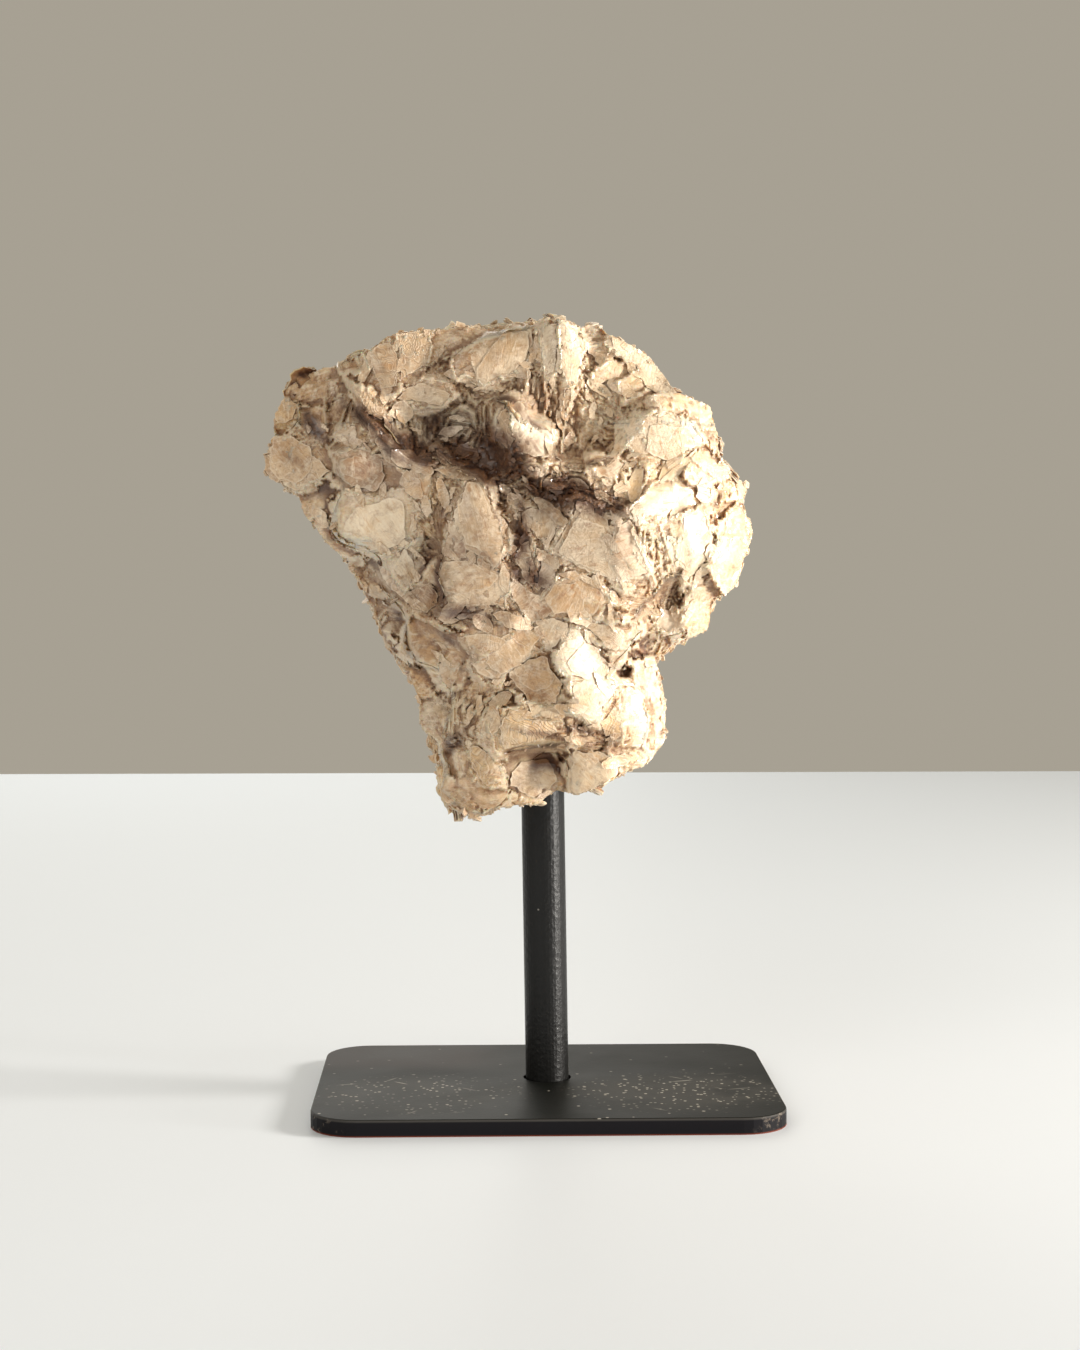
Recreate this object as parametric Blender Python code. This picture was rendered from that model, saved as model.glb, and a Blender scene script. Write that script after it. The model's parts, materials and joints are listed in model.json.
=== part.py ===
"""Mica cluster on a black metal display stand.

Three pieces: a flat rounded base plate, a round post that stands in a blind
socket of the plate and leans a little, and one cluster of mica crystals that
is drilled from below and sits on the post.

Blender 4.5, metres, +Z up.  The origin is the middle of the plate's underside,
the front of the display looks along -Y.
"""

import math
import random

import bmesh
import bpy
from mathutils import Matrix, Vector, noise

MM = 0.001

# ---- base plate -----------------------------------------------------------
PLATE_LENGTH = 100.0 * MM
PLATE_DEPTH = 70.0 * MM
PLATE_THICKNESS = 3.6 * MM
PLATE_CORNER_RADIUS = 10.0 * MM
PLATE_EDGE_SOFTENING = 0.4 * MM
SOCKET_RADIUS = 5.3 * MM
SOCKET_FLOOR = 2.1 * MM

# ---- post -----------------------------------------------------------------
POST_RADIUS = 4.75 * MM
POST_FOOT = Vector((0.5, 2.0, 0.0)) * MM
POST_LEAN = math.radians(0.9)
POST_TOP = 99.7 * MM
POST_SIDES = 40
TOUCH_GAP = 0.3 * MM

# ---- mica -----------------------------------------------------------------
CRYSTAL_SEED = 7
EYE = Vector((-14.8, -484.0, 119.0)) * MM
DRAWING_PLANE = -22.0 * MM
BODY_SIDES = 36
BODY_SQUARENESS = 0.86
BODY_BOTTOM = Vector((-14.0, -4.0, 61.8))
BODY_TOP = Vector((-3.0, 0.0, 170.6))
BODY_MIDDLE = Vector((-8.0, 2.0, 118.0))
LUMP_SIZE = 13.0
LUMP_HEIGHT = 2.2
LUMP_PLACE = Vector((3.1, 7.7, 1.9))
SKIN_INSET = 0.8
POST_HOLE_TOP = 100.0 * MM
CREVICE_LEFT = -4.4 * MM
CREVICE_RIGHT = 4.5 * MM
CREVICE_TOP = 78.0 * MM

# Height, then how far the mass reaches to the left, right, front and back.
BODY_LEVELS = (
    (62.5, -18.0, -11.0, -11.0, 5.0),
    (65.0, -22.6, -7.0, -16.0, 9.5),
    (67.0, -24.0, 6.5, -18.0, 12.0),
    (69.0, -24.8, 12.5, -19.5, 14.0),
    (74.0, -25.8, 20.5, -22.5, 17.5),
    (79.0, -27.0, 24.8, -24.0, 20.5),
    (85.0, -28.0, 25.6, -25.0, 22.5),
    (90.0, -29.2, 25.0, -25.5, 24.5),
    (95.0, -32.4, 24.0, -26.0, 26.0),
    (98.5, -34.6, 27.5, -26.5, 27.5),
    (102.5, -36.4, 33.5, -27.0, 28.5),
    (108.0, -39.2, 36.0, -28.0, 30.0),
    (114.0, -42.4, 40.0, -29.0, 31.5),
    (120.0, -46.0, 42.5, -30.0, 32.0),
    (125.0, -49.8, 43.6, -30.0, 32.5),
    (130.0, -53.4, 42.5, -30.0, 32.5),
    (134.0, -57.4, 42.8, -30.0, 32.0),
    (138.5, -60.2, 39.6, -30.0, 32.0),
    (145.0, -59.4, 37.4, -29.0, 30.0),
    (150.0, -58.0, 36.0, -27.5, 28.0),
    (154.5, -55.6, 30.0, -25.0, 25.0),
    (159.0, -49.0, 24.3, -22.0, 22.0),
    (163.5, -38.5, 19.5, -17.5, 17.5),
    (167.0, -29.0, 14.5, -13.0, 12.0),
    (169.5, -12.0, 8.0, -6.5, 5.0),
)

# Hollows in the mass: middle (x, y, z), reach and depth, in millimetres.
HOLLOWS = (
    ((-22.0, -32.0, 146.0), 9.0, 6.0),
    ((-14.0, -33.0, 142.0), 9.0, 6.5),
    ((-33.0, -32.0, 141.0), 8.0, 5.0),
    ((3.0, -31.0, 147.0), 7.0, 7.0),
    ((-7.5, -32.0, 117.0), 6.0, 4.0),
    ((8.0, -33.0, 133.0), 8.0, 4.0),
    ((-26.0, -29.0, 126.0), 5.0, 4.0),
    ((24.0, -28.0, 110.0), 6.0, 4.0),
    ((-18.0, -27.0, 87.0), 7.0, 4.0),
    ((11.0, -26.0, 81.0), 7.0, 5.0),
    ((-30.0, 31.0, 128.0), 12.0, 6.0),
    ((14.0, 34.0, 142.0), 13.0, 7.0),
    ((22.0, 30.0, 112.0), 10.0, 5.0),
    ((-8.0, 32.0, 101.0), 11.0, 5.0),
    ((41.0, 8.0, 120.0), 10.0, 4.0),
    ((-50.0, 12.0, 133.0), 10.0, 4.0),
    ((-10.0, 6.0, 168.0), 10.0, 4.0),
)

# Crystals seen on the front: name, how far the leaf stands proud of the mass,
# its facing as (turn to the right, tilt upwards) in degrees, its thickness,
# its number of ledges, and its outline as (x, z) on the drawing plane, in
# millimetres.
FRONT_CRYSTALS = (
    ("nose", 3.0, (-28, -8), 16, 2, (
        (-59.6, 138), (-58.6, 141.3), (-58.2, 144.2), (-54, 144.5), (-49, 142), (-46, 141),
        (-45.5, 136.5), (-49.5, 134.3), (-52.2, 132.3), (-56.5, 133.8), (-59, 135.4))),
    ("nose_edge", 1.5, (-35, 4), 16, 1, (
        (-58.2, 144), (-58, 147), (-57.2, 150), (-55.2, 151.6), (-52, 150.6), (-50, 146),
        (-52, 142.8))),
    ("oval", 4.0, (-20, 14), 8, 2, (
        (-52.8, 149), (-51.6, 150.3), (-48.2, 150), (-46.4, 147), (-46.2, 144.4), (-48.6, 144.5),
        (-51.8, 147))),
    ("shoulder", 2.5, (-25, 22), 16, 2, (
        (-55.2, 154.3), (-54.8, 156), (-53.5, 155.9), (-51, 157.2), (-48.4, 157.4), (-45.4, 156),
        (-45.2, 151), (-49, 149.6), (-53.6, 151.5), (-54.6, 152.6))),
    ("white_crest", 3.0, (-10, 30), 12, 1, (
        (-48.5, 158.2), (-46.4, 159.4), (-44.1, 158.6), (-43.8, 155.4), (-47.6, 155.6))),
    ("grey_pebble", 4.0, (-8, 0), 7, 1, (
        (-44.8, 151), (-43.4, 152.1), (-41.9, 151.3), (-41.8, 149.6), (-43.9, 149.1))),
    ("pale_spikes", 5.5, (22, 12), 9, 1, (
        (-41, 155.6), (-39.4, 155.3), (-37, 153), (-33.4, 149.6), (-33.5, 147.2), (-36.8, 148.8),
        (-38.2, 151.6))),
    ("lower_grey_leaf", 3.5, (-6, 12), 8, 1, (
        (-45.3, 143.9), (-43, 145.3), (-41, 146.5), (-39.7, 146), (-39.2, 142.4), (-40.5, 141.5))),
    ("fan_left", 4.0, (-24, 30), 14, 2, (
        (-44.3, 158.3), (-42, 160.6), (-39.4, 162.3), (-37.6, 161.8), (-36.5, 157), (-37.6, 153.6),
        (-41, 155.4))),
    ("fan_middle", 5.0, (-12, 26), 14, 2, (
        (-38, 161.8), (-35, 164), (-33.8, 165.3), (-31.5, 166.1), (-30.5, 160), (-31, 153.6),
        (-35, 152.4), (-37.5, 155))),
    ("fan_right", 4.6, (4, 26), 14, 2, (
        (-32, 166), (-29, 166.1), (-26.5, 166.6), (-25, 165), (-24.6, 161), (-25.6, 157.5),
        (-28, 155.3), (-31.5, 154.4))),
    ("cracked_grey_leaf", 2.2, (-4, 16), 9, 2, (
        (-31.8, 151.7), (-29.6, 153.9), (-26.8, 155), (-22, 155), (-20.3, 152.6), (-22.2, 150.3),
        (-26.6, 150.8))),
    ("diagonal_books", 4.5, (30, 22), 12, 3, (
        (-39.8, 149), (-37.6, 149), (-33, 145), (-28.6, 139), (-29, 137), (-32, 138.8),
        (-36.6, 142.6), (-39.2, 146.5))),
    ("brown_slope", 2.0, (10, -24), 10, 1, (
        (-44.6, 140), (-40, 141.4), (-34.6, 139.4), (-29.8, 136), (-30.4, 133.4), (-36, 131.8),
        (-41, 133.2), (-44.6, 136.6))),
    ("arch_leaf", 3.4, (-10, 4), 9, 1, (
        (-28.3, 135), (-27.4, 138), (-26, 139.3), (-24.6, 139), (-23.8, 135.4), (-25.2, 131.3),
        (-26.8, 132.6))),
    ("diagonal_grey_leaf", 4.0, (-14, 20), 8, 1, (
        (-24.9, 141), (-23.4, 141.5), (-20, 138.3), (-14.6, 135.4), (-16.2, 134.2), (-20, 136.2))),
    ("left_corner_leaf", 1.5, (-38, -6), 12, 1, (
        (-52.4, 131.7), (-50.5, 131.4), (-46.5, 134.2), (-44, 132.6), (-49.6, 126.4), (-50.9, 125.8),
        (-52.2, 128.9))),
    ("broad_left_leaf", 5.0, (-12, -4), 13, 2, (
        (-46.2, 124.8), (-45.2, 129), (-43.2, 132.3), (-40, 131.7), (-35.4, 131.6), (-30.6, 133.2),
        (-28.2, 131), (-27.9, 124), (-30.4, 121), (-38, 119.7), (-43.6, 121.6))),
    ("left_rim", 1.6, (-34, -22), 13, 1, (
        (-49.6, 126.8), (-46.6, 127.6), (-43.5, 122), (-38.6, 119.6), (-42.6, 118.6), (-45.4, 119.7),
        (-48.6, 123.2))),
    ("golden_column", 3.8, (8, 2), 9, 2, (
        (-24.8, 134.8), (-23, 134.6), (-21.6, 130), (-20.2, 125.6), (-21.5, 121.4), (-23, 122.2),
        (-25, 127.6))),
    ("tall_leaf", 5.2, (-6, 3), 12, 2, (
        (-17.3, 135.6), (-14.3, 135.2), (-12, 130), (-9.9, 125), (-8.8, 119.6), (-10.2, 116.7),
        (-12.6, 117.8), (-17.2, 120.2), (-20, 127.3), (-17.9, 130.7))),
    ("violet_leaf", 2.4, (-10, -6), 8, 1, (
        (-21.2, 124.2), (-19.8, 125.6), (-17.4, 122), (-16.9, 119.2), (-21, 118.3), (-22.2, 120))),
    ("lower_wide_leaf", 5.6, (-5, -7), 13, 2, (
        (-22.7, 118.5), (-23.6, 114.8), (-22.2, 111.4), (-19, 109.2), (-14, 108.8), (-10.6, 109.8),
        (-8.6, 112), (-9.2, 115.4), (-12.6, 117), (-17, 119.4))),
    ("upper_leaf", 5.0, (3, 16), 13, 2, (
        (-20.2, 160.4), (-18.4, 162.2), (-14, 165), (-8.6, 166.7), (-3, 167), (-3.2, 162.6),
        (-5.4, 158.2), (-9.4, 156.8), (-14, 154.8), (-19.2, 156.6))),
    ("top_ridge", 2.6, (-4, 42), 13, 1, (
        (-24.6, 164), (-23.4, 165.3), (-20.8, 166.8), (-18.4, 167.4), (-14, 167.2), (-11.6, 166.3),
        (-11.4, 163.6), (-18, 162), (-23, 162))),
    ("knob", 3.4, (10, 40), 10, 1, (
        (-8.9, 166.9), (-7.1, 168.9), (-5.4, 168.5), (-4.8, 166.5), (-7, 165.4))),
    ("folded_column_a", 5.5, (34, 12), 11, 1, (
        (-2.7, 167.3), (0, 169.3), (1.9, 168.6), (1.9, 162), (1.2, 157.4), (-0.8, 156.7),
        (-1.6, 161))),
    ("folded_column_b", 7.0, (38, 10), 12, 1, (
        (1.6, 169.4), (5, 168.6), (7, 167.2), (7.5, 161), (6.4, 154.4), (5.2, 153.8),
        (3.2, 157.2))),
    ("hollow_ribs", 1.2, (-6, 4), 8, 1, (
        (-7, 157.2), (-5, 158.3), (1, 156.6), (1.2, 150), (-0.6, 148.4), (-5.4, 151), (-7.2, 152.4))),
    ("white_wedge", 6.0, (30, -4), 12, 1, (
        (-8.2, 152.6), (-6.8, 152), (-4.6, 147.6), (-0.6, 146), (0.3, 143.6), (-0.6, 140.3),
        (-5, 140.8), (-7.8, 144))),
    ("wedge_flank", 4.6, (-22, 0), 10, 1, (
        (-10.6, 148.6), (-8.8, 150.2), (-8.1, 146), (-6.2, 142), (-8.6, 140.2), (-11, 144))),
    ("right_crest", 3.4, (24, 44), 12, 1, (
        (6.8, 167), (9.2, 168.4), (11.2, 167.4), (12.6, 165.6), (10, 162.4), (7.2, 162.8))),
    ("right_shoulder", 4.0, (42, 30), 16, 2, (
        (11.6, 166.3), (15, 164.2), (17.2, 163.2), (20.2, 161.2), (22.4, 159.2), (24.2, 156.3),
        (27, 153.5), (23.4, 152.4), (20.4, 154.4), (17.6, 159.8), (12.6, 161.8))),
    ("amber_facet_high", 3.0, (30, -14), 9, 1, (
        (8.6, 157), (12.6, 159.3), (19.2, 159), (15.4, 156), (10, 154.8))),
    ("amber_facet_low", 3.6, (24, 8), 9, 1, (
        (14.8, 155.7), (19.6, 158.4), (23.4, 154.2), (19.6, 151.6), (15.4, 152))),
    ("right_roof", 3.4, (48, 24), 15, 2, (
        (20.6, 152.6), (27.2, 153.8), (30, 152.4), (33, 151.6), (34.4, 150), (34.1, 147.6),
        (35.3, 146), (36, 142.2), (33.6, 142), (30.6, 147.2), (24.6, 149.4))),
    ("tan_dome", 5.6, (20, -14), 12, 2, (
        (18.2, 145.8), (20.2, 148), (25, 148.8), (30.4, 147), (32.6, 143), (29.4, 141.1),
        (24.4, 139), (18, 139.6), (16.4, 142.2))),
    ("pale_block", 6.0, (28, 4), 11, 1, (
        (9.2, 139), (14.6, 139.2), (16, 138.3), (13.8, 135.3), (10.4, 136), (9.2, 137.6))),
    ("fan_golden_leaf", 3.2, (-18, 6), 9, 1, (
        (17.8, 138), (20.2, 137.6), (19.6, 133), (17.2, 130.2), (16.4, 133.6))),
    ("fan_long_leaf", 5.2, (26, 20), 9, 1, (
        (21.8, 134.4), (28.4, 140), (31.9, 142.2), (29.8, 139), (24.6, 134.9), (19.6, 131.2))),
    ("white_plane", 5.4, (34, 12), 12, 2, (
        (19, 131.4), (23, 134.8), (27, 135.2), (33.4, 132), (30.8, 129.4), (26, 127.5),
        (20.4, 127.2), (17.2, 129.4))),
    ("right_upper_plane", 4.0, (46, 10), 14, 2, (
        (28.6, 138.6), (32.6, 142.2), (35.6, 139.4), (38.2, 138.5), (38.8, 136), (34, 134.2),
        (30, 134.4))),
    ("right_tip", 2.5, (52, 16), 15, 1, (
        (38.6, 136.3), (40.6, 135.8), (42.4, 134.3), (42.2, 132.7), (40.7, 130.5), (37.6, 131))),
    ("golden_curved_leaf", 3.4, (40, -10), 10, 2, (
        (33.7, 126.2), (36, 126.9), (38.6, 130), (39.8, 134), (37.6, 134.6), (34.6, 129.6))),
    ("right_lens", 3.4, (54, 0), 16, 2, (
        (40.6, 130.5), (41.6, 127.8), (42.6, 126.5), (43, 123.3), (41.8, 120.6), (40.2, 116.4),
        (40, 114), (38.6, 111.6), (37, 110.3), (34.4, 112.8), (34.2, 121), (36.2, 126.6))),
    ("right_flank", 3.4, (50, -14), 14, 1, (
        (31, 114), (36.8, 113.2), (37, 109.8), (34.4, 108), (34.6, 104.6), (33.6, 102.6),
        (31.8, 102), (29.6, 101), (27.6, 106))),
    ("spike_long", 5.6, (40, -6), 11, 1, (
        (17, 127.2), (19.4, 127), (21.8, 120), (23.9, 112.6), (23.6, 110.4), (20.6, 112.2),
        (17.4, 119.4))),
    ("spike_short", 5.2, (34, -4), 10, 1, (
        (21.4, 126.4), (24.8, 126.2), (25.6, 120.4), (27.6, 114), (25.6, 114.4), (23, 121))),
    ("amber_wedge", 4.6, (18, 0), 9, 1, (
        (25.8, 125.6), (27.3, 126.5), (29.2, 125.6), (28, 122.6), (26.6, 121.6))),
    ("middle_plane", 4.2, (36, -10), 12, 2, (
        (28, 128), (32.8, 127.8), (34, 123), (33, 117.4), (29, 114.2), (27.2, 119))),
    ("lilac_band", 6.4, (16, -8), 12, 1, (
        (14, 126.6), (16.8, 127.2), (18.8, 119.2), (20.6, 115.6), (16.4, 114.8), (12.8, 118.6))),
    ("streaky_face", 4.6, (2, -4), 11, 2, (
        (5.3, 131), (13.6, 127.6), (13.2, 119), (14.8, 113), (9.6, 114.6), (0.4, 119),
        (3.6, 125.4))),
    ("mid_books", 4.4, (16, 34), 10, 3, (
        (2.4, 133.4), (5.4, 134.8), (10.6, 132.6), (16.4, 130.6), (15.6, 128.2), (9.8, 128.9),
        (4, 131.4))),
    ("shelf", 4.0, (8, 36), 10, 2, (
        (-10, 139.6), (-6.6, 140.9), (0.4, 139.6), (4.4, 139.6), (0.4, 136.4), (-2.6, 135.6),
        (-6.8, 137.8))),
    ("heart_leaf", 4.6, (-4, 8), 9, 1, (
        (-6.6, 128.3), (-4.6, 129.2), (0, 128), (1.6, 126.6), (0.2, 123.4), (-2.4, 122.5),
        (-4.4, 125.2))),
    ("small_lens", 4.2, (-22, -4), 8, 1, (
        (-4.2, 123.2), (-6, 121.4), (-7.1, 118.4), (-4.8, 115.2), (-2.9, 116.4), (-3, 120.2))),
    ("lilac_lens", 4.6, (-12, -6), 8, 1, (
        (-1.3, 119), (0.2, 119.6), (1.6, 118), (1, 114.8), (-1.5, 111.2), (-3, 114.8))),
    ("tan_lower_leaf", 5.6, (2, -12), 11, 2, (
        (-1.8, 110.4), (1, 113.6), (7, 114.7), (11, 112), (12.2, 109.4), (9.4, 106.4),
        (1, 106.6))),
    ("under_leaf", 4.4, (-10, -16), 9, 1, (
        (-7.2, 109.6), (-5, 106.6), (-3, 105.4), (1.4, 107.6), (-1.6, 111), (-4.8, 113.4))),
    ("right_books", 4.4, (24, -6), 10, 3, (
        (11.6, 110), (16, 112.4), (21.6, 113.6), (19.6, 108), (16.8, 106), (13, 107.4))),
    ("small_pyramid", 6.2, (-10, 14), 8, 1, (
        (10.8, 106.6), (13, 110), (14.6, 105.2), (13.4, 104.3), (11.6, 104.4))),
    ("pale_fold", 4.4, (20, 6), 9, 1, (
        (22.6, 105.4), (24, 108), (28.2, 107), (29.6, 103.6), (26.4, 102.4), (23.6, 103.2))),
    ("grey_band", 4.2, (10, 8), 10, 2, (
        (5.6, 104.6), (8.4, 105.9), (15.2, 105.2), (19.6, 103.4), (15.4, 98), (12.6, 98.4),
        (9.8, 101.6))),
    ("white_plate_high", 6.2, (26, 6), 11, 2, (
        (1.2, 97), (3.4, 101.2), (6, 103.2), (10.8, 100.6), (12.9, 96), (11.4, 93.4),
        (4, 93.6))),
    ("white_plate_low", 7.0, (30, -8), 11, 2, (
        (4.4, 92.6), (8, 94.2), (12, 94), (15.2, 91.4), (12.6, 88.4), (10.3, 84.7),
        (4, 88))),
    ("grey_mid_leaf", 5.4, (-8, 10), 9, 1, (
        (-2.9, 105.3), (1, 107.4), (4.2, 104.6), (2, 100), (0, 99.6))),
    ("brown_face", 3.6, (-6, -10), 11, 1, (
        (-9, 95.6), (-5, 98.2), (0, 99), (2.8, 93), (1.2, 88.6), (-4, 89), (-7.4, 92.6))),
    ("two_sheets_dark", 5.2, (-4, -12), 9, 1, (
        (-15.8, 96.4), (-12.6, 99), (-6.6, 103.6), (-0.4, 103.4), (-3, 98.2), (-9, 94.4),
        (-10.2, 92.2), (-14.6, 94.4))),
    ("two_sheets_light", 7.4, (-10, -8), 10, 2, (
        (-18.9, 102.4), (-16.6, 104.6), (-10, 105.2), (-7, 104.4), (-7.6, 101), (-11, 98.8),
        (-15, 96.8), (-17.4, 99.4))),
    ("olive_leaf", 4.6, (-22, -4), 12, 2, (
        (-30.8, 103.6), (-28, 106.9), (-24, 105), (-21.6, 102.8), (-23.4, 95.8), (-29, 97.2),
        (-31, 100))),
    ("tan_leaf_behind", 3.2, (-12, -10), 9, 1, (
        (-22, 104.2), (-19.2, 104.6), (-16.6, 98.4), (-18.6, 92.8), (-21.6, 92), (-23, 96.6))),
    ("thin_ridge", 4.2, (-30, 34), 9, 1, (
        (-38.6, 118.6), (-34.4, 116.6), (-30, 111.4), (-25, 106.9), (-18, 103), (-22, 103.4),
        (-29.6, 107.4), (-35.6, 113.4))),
    ("pale_facets", 5.0, (22, 10), 9, 1, (
        (-32.7, 117), (-30.2, 120.9), (-27.7, 118.3), (-28.4, 114.6), (-30, 111.3), (-32.4, 114))),
    ("curved_lip", 3.8, (-14, 16), 8, 1, (
        (-23.9, 109.6), (-20, 107.6), (-14.6, 107.9), (-11, 108.2), (-12.6, 105.9), (-18.8, 105.9),
        (-22.6, 107))),
    ("small_pale_book", 5.6, (30, 26), 8, 2, (
        (-10.6, 110), (-9.2, 110.3), (-6.4, 106.2), (-7.9, 105.6), (-9.6, 107.4))),
    ("pale_fan", 5.6, (-16, -4), 10, 2, (
        (-20.2, 92.6), (-18.4, 92.4), (-18, 84), (-19.4, 79.8), (-23.3, 80.8), (-21.2, 87))),
    ("left_grey_lump", 3.0, (-36, -4), 13, 2, (
        (-27.6, 85.6), (-26.8, 89.4), (-22.2, 88.8), (-21.6, 85.2), (-23, 81.4), (-26.6, 82))),
    ("left_tan_lump", 2.6, (-38, 8), 13, 1, (
        (-30.4, 96), (-28.2, 96.8), (-24.4, 94.6), (-24.8, 90.4), (-28.2, 90), (-29.4, 93.2))),
    ("diagonal_low_books", 4.6, (-4, 20), 10, 3, (
        (-17.4, 87), (-13, 91), (-10, 91.2), (-11.4, 86.4), (-15, 82.6), (-17, 84))),
    ("left_low_leaf", 5.0, (-20, -12), 11, 1, (
        (-24.2, 77.6), (-22, 79.6), (-20, 77), (-18.4, 71.6), (-20.4, 72.4))),
    ("scallops_high", 6.2, (4, -12), 11, 3, (
        (-12.4, 84), (-10, 88), (-4.4, 86), (3.2, 86.6), (4.7, 82.6), (3.6, 79.2), (-2, 78.6),
        (-11, 77.6))),
    ("cream_band", 6.4, (6, 4), 9, 1, (
        (-5.6, 89), (-1, 87.6), (3.6, 88.4), (3.6, 86.2), (-3.6, 85.9))),
    ("scallops_low", 4.4, (-8, -10), 12, 3, (
        (-17, 79.4), (-14.6, 79.6), (-9.2, 74.4), (-8.4, 70.2), (-14, 70.6), (-16.4, 74.6))),
    ("bottom_leaf", 3.0, (-14, -26), 13, 2, (
        (-23.6, 70), (-21.6, 73.4), (-15, 72), (-9, 70.5), (-8.7, 68.2), (-12.2, 65.2),
        (-14.6, 64.2), (-20, 66.6))),
    ("bulge_outer", 3.6, (48, -10), 14, 2, (
        (18.6, 97), (23.6, 96.4), (24, 92.8), (25.2, 88), (24.8, 85), (25.1, 81), (23.8, 78.2),
        (20.4, 77.6), (20.4, 86), (18.4, 92.6))),
    ("bulge_inner", 6.0, (30, -8), 12, 2, (
        (14.4, 91), (17, 92.2), (19.6, 90.2), (21.4, 84), (20.2, 79), (16.6, 79.6),
        (14.8, 83.6))),
    ("amber_flank", 3.8, (-16, -10), 10, 1, (
        (10.8, 84), (14.2, 90.6), (14.8, 84.6), (16.4, 81.4), (12, 81.4))),
    ("curly_books", 3.2, (4, -20), 9, 3, (
        (4.6, 83.6), (9, 83.6), (13.6, 81.4), (15, 79.6), (9, 77.6), (4.2, 79.2))),
    ("tan_bottom_leaf", 4.6, (8, -14), 11, 1, (
        (4.5, 79.2), (9, 78.6), (15.2, 76), (14.2, 71.6), (11.5, 70.4), (4.4, 67.6), (3.7, 72))),
    ("bottom_rim", 3.6, (34, -20), 14, 2, (
        (14, 79.6), (20, 79), (24, 78.6), (21.4, 76), (19, 74.1), (16.4, 74), (14, 71.8),
        (12.6, 75))),
)

# The sheet that hangs in front of the post, clear of it.
FRONT_FLAKE_DEPTH = -9.5
FRONT_FLAKE_THICKNESS = 5.6
FRONT_FLAKE = (
    (-13, 76), (-11, 79.6), (-5, 81.6), (0.3, 80.4), (1, 76), (2, 74.4), (3, 71.8), (1.5, 70.6),
    (-1, 70), (-1.2, 67.2), (-3, 66.7), (-5.6, 68), (-9.8, 69.4),
)

# Crystals that no one side shows well, spread over the rest of the mass.
ROUND_CRYSTAL_COUNT = 66
ROUND_CRYSTAL_HEIGHTS = (69.0, 169.2)
ROUND_CRYSTAL_CROWDING = 0.72
CROWN_HEIGHT = 162.0
CROWN_TOP = 170.8
OUTLINE_MARGIN = 0.8
ROUND_CRYSTAL_SIZES = (7.0, 13.5)
ROUND_CRYSTAL_THICKNESS = 11.0
ROUND_CRYSTAL_TILT = 0.47
ROUND_CRYSTAL_STAND = (-0.8, 0.6)
SMALLEST_CRYSTAL = 4.0
HEART_HEIGHT = 0.75
GOLDEN_ANGLE = math.pi * (3.0 - math.sqrt(5.0))

LEDGE_RISE = 0.9
LEDGE_SLIDE = 1.0
LEDGE_INSET = 0.84
ROOT_TAPER = 0.93


def clear_scene():
    """Remove whatever the file holds."""
    for item in list(bpy.data.objects):
        bpy.data.objects.remove(item, do_unlink=True)


def new_collection(name):
    """Add a collection to the scene."""
    collection = bpy.data.collections.new(name)
    bpy.context.scene.collection.children.link(collection)
    return collection


def surface(name, colour, roughness, metallic=0.0):
    """One Principled material."""
    material = bpy.data.materials.new(name)
    material.use_nodes = True
    shader = material.node_tree.nodes["Principled BSDF"]
    shader.inputs["Base Color"].default_value = (*colour, 1.0)
    shader.inputs["Roughness"].default_value = roughness
    shader.inputs["Metallic"].default_value = metallic
    material.diffuse_color = (*colour, 1.0)
    return material


def mesh_object(name, shape, collection, material=None):
    """Turn a bmesh into an object of the collection."""
    bmesh.ops.recalc_face_normals(shape, faces=shape.faces)
    mesh = bpy.data.meshes.new(name)
    shape.to_mesh(mesh)
    shape.free()
    item = bpy.data.objects.new(name, mesh)
    collection.objects.link(item)
    if material:
        mesh.materials.append(material)
    return item


def as_cutter(item):
    """Mark an object that only shapes another."""
    item.display_type = "WIRE"
    item.hide_render = True
    return item


def boolean(item, cutter, operation):
    """Cut or join two objects with an exact Boolean."""
    step = item.modifiers.new(operation.title(), "BOOLEAN")
    step.solver = "EXACT"
    step.operation = operation
    if isinstance(cutter, bpy.types.Collection):
        step.operand_type = "COLLECTION"
        step.collection = cutter
    else:
        step.object = cutter
    return step


def leaning_frame():
    """Where the post's foot stands and how far it leans to the left."""
    return Matrix.Translation(POST_FOOT) @ Matrix.Rotation(-POST_LEAN, 4, "Y")


def rod(name, radius, low, high, collection, material=None):
    """A round rod along the leaning axis, from one height to another."""
    shape = bmesh.new()
    bmesh.ops.create_cone(
        shape, cap_ends=True, segments=POST_SIDES, radius1=radius, radius2=radius,
        depth=high - low, matrix=Matrix.Translation((0.0, 0.0, (low + high) / 2.0)))
    bmesh.ops.transform(shape, matrix=leaning_frame(), verts=shape.verts)
    return mesh_object(name, shape, collection, material)


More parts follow.
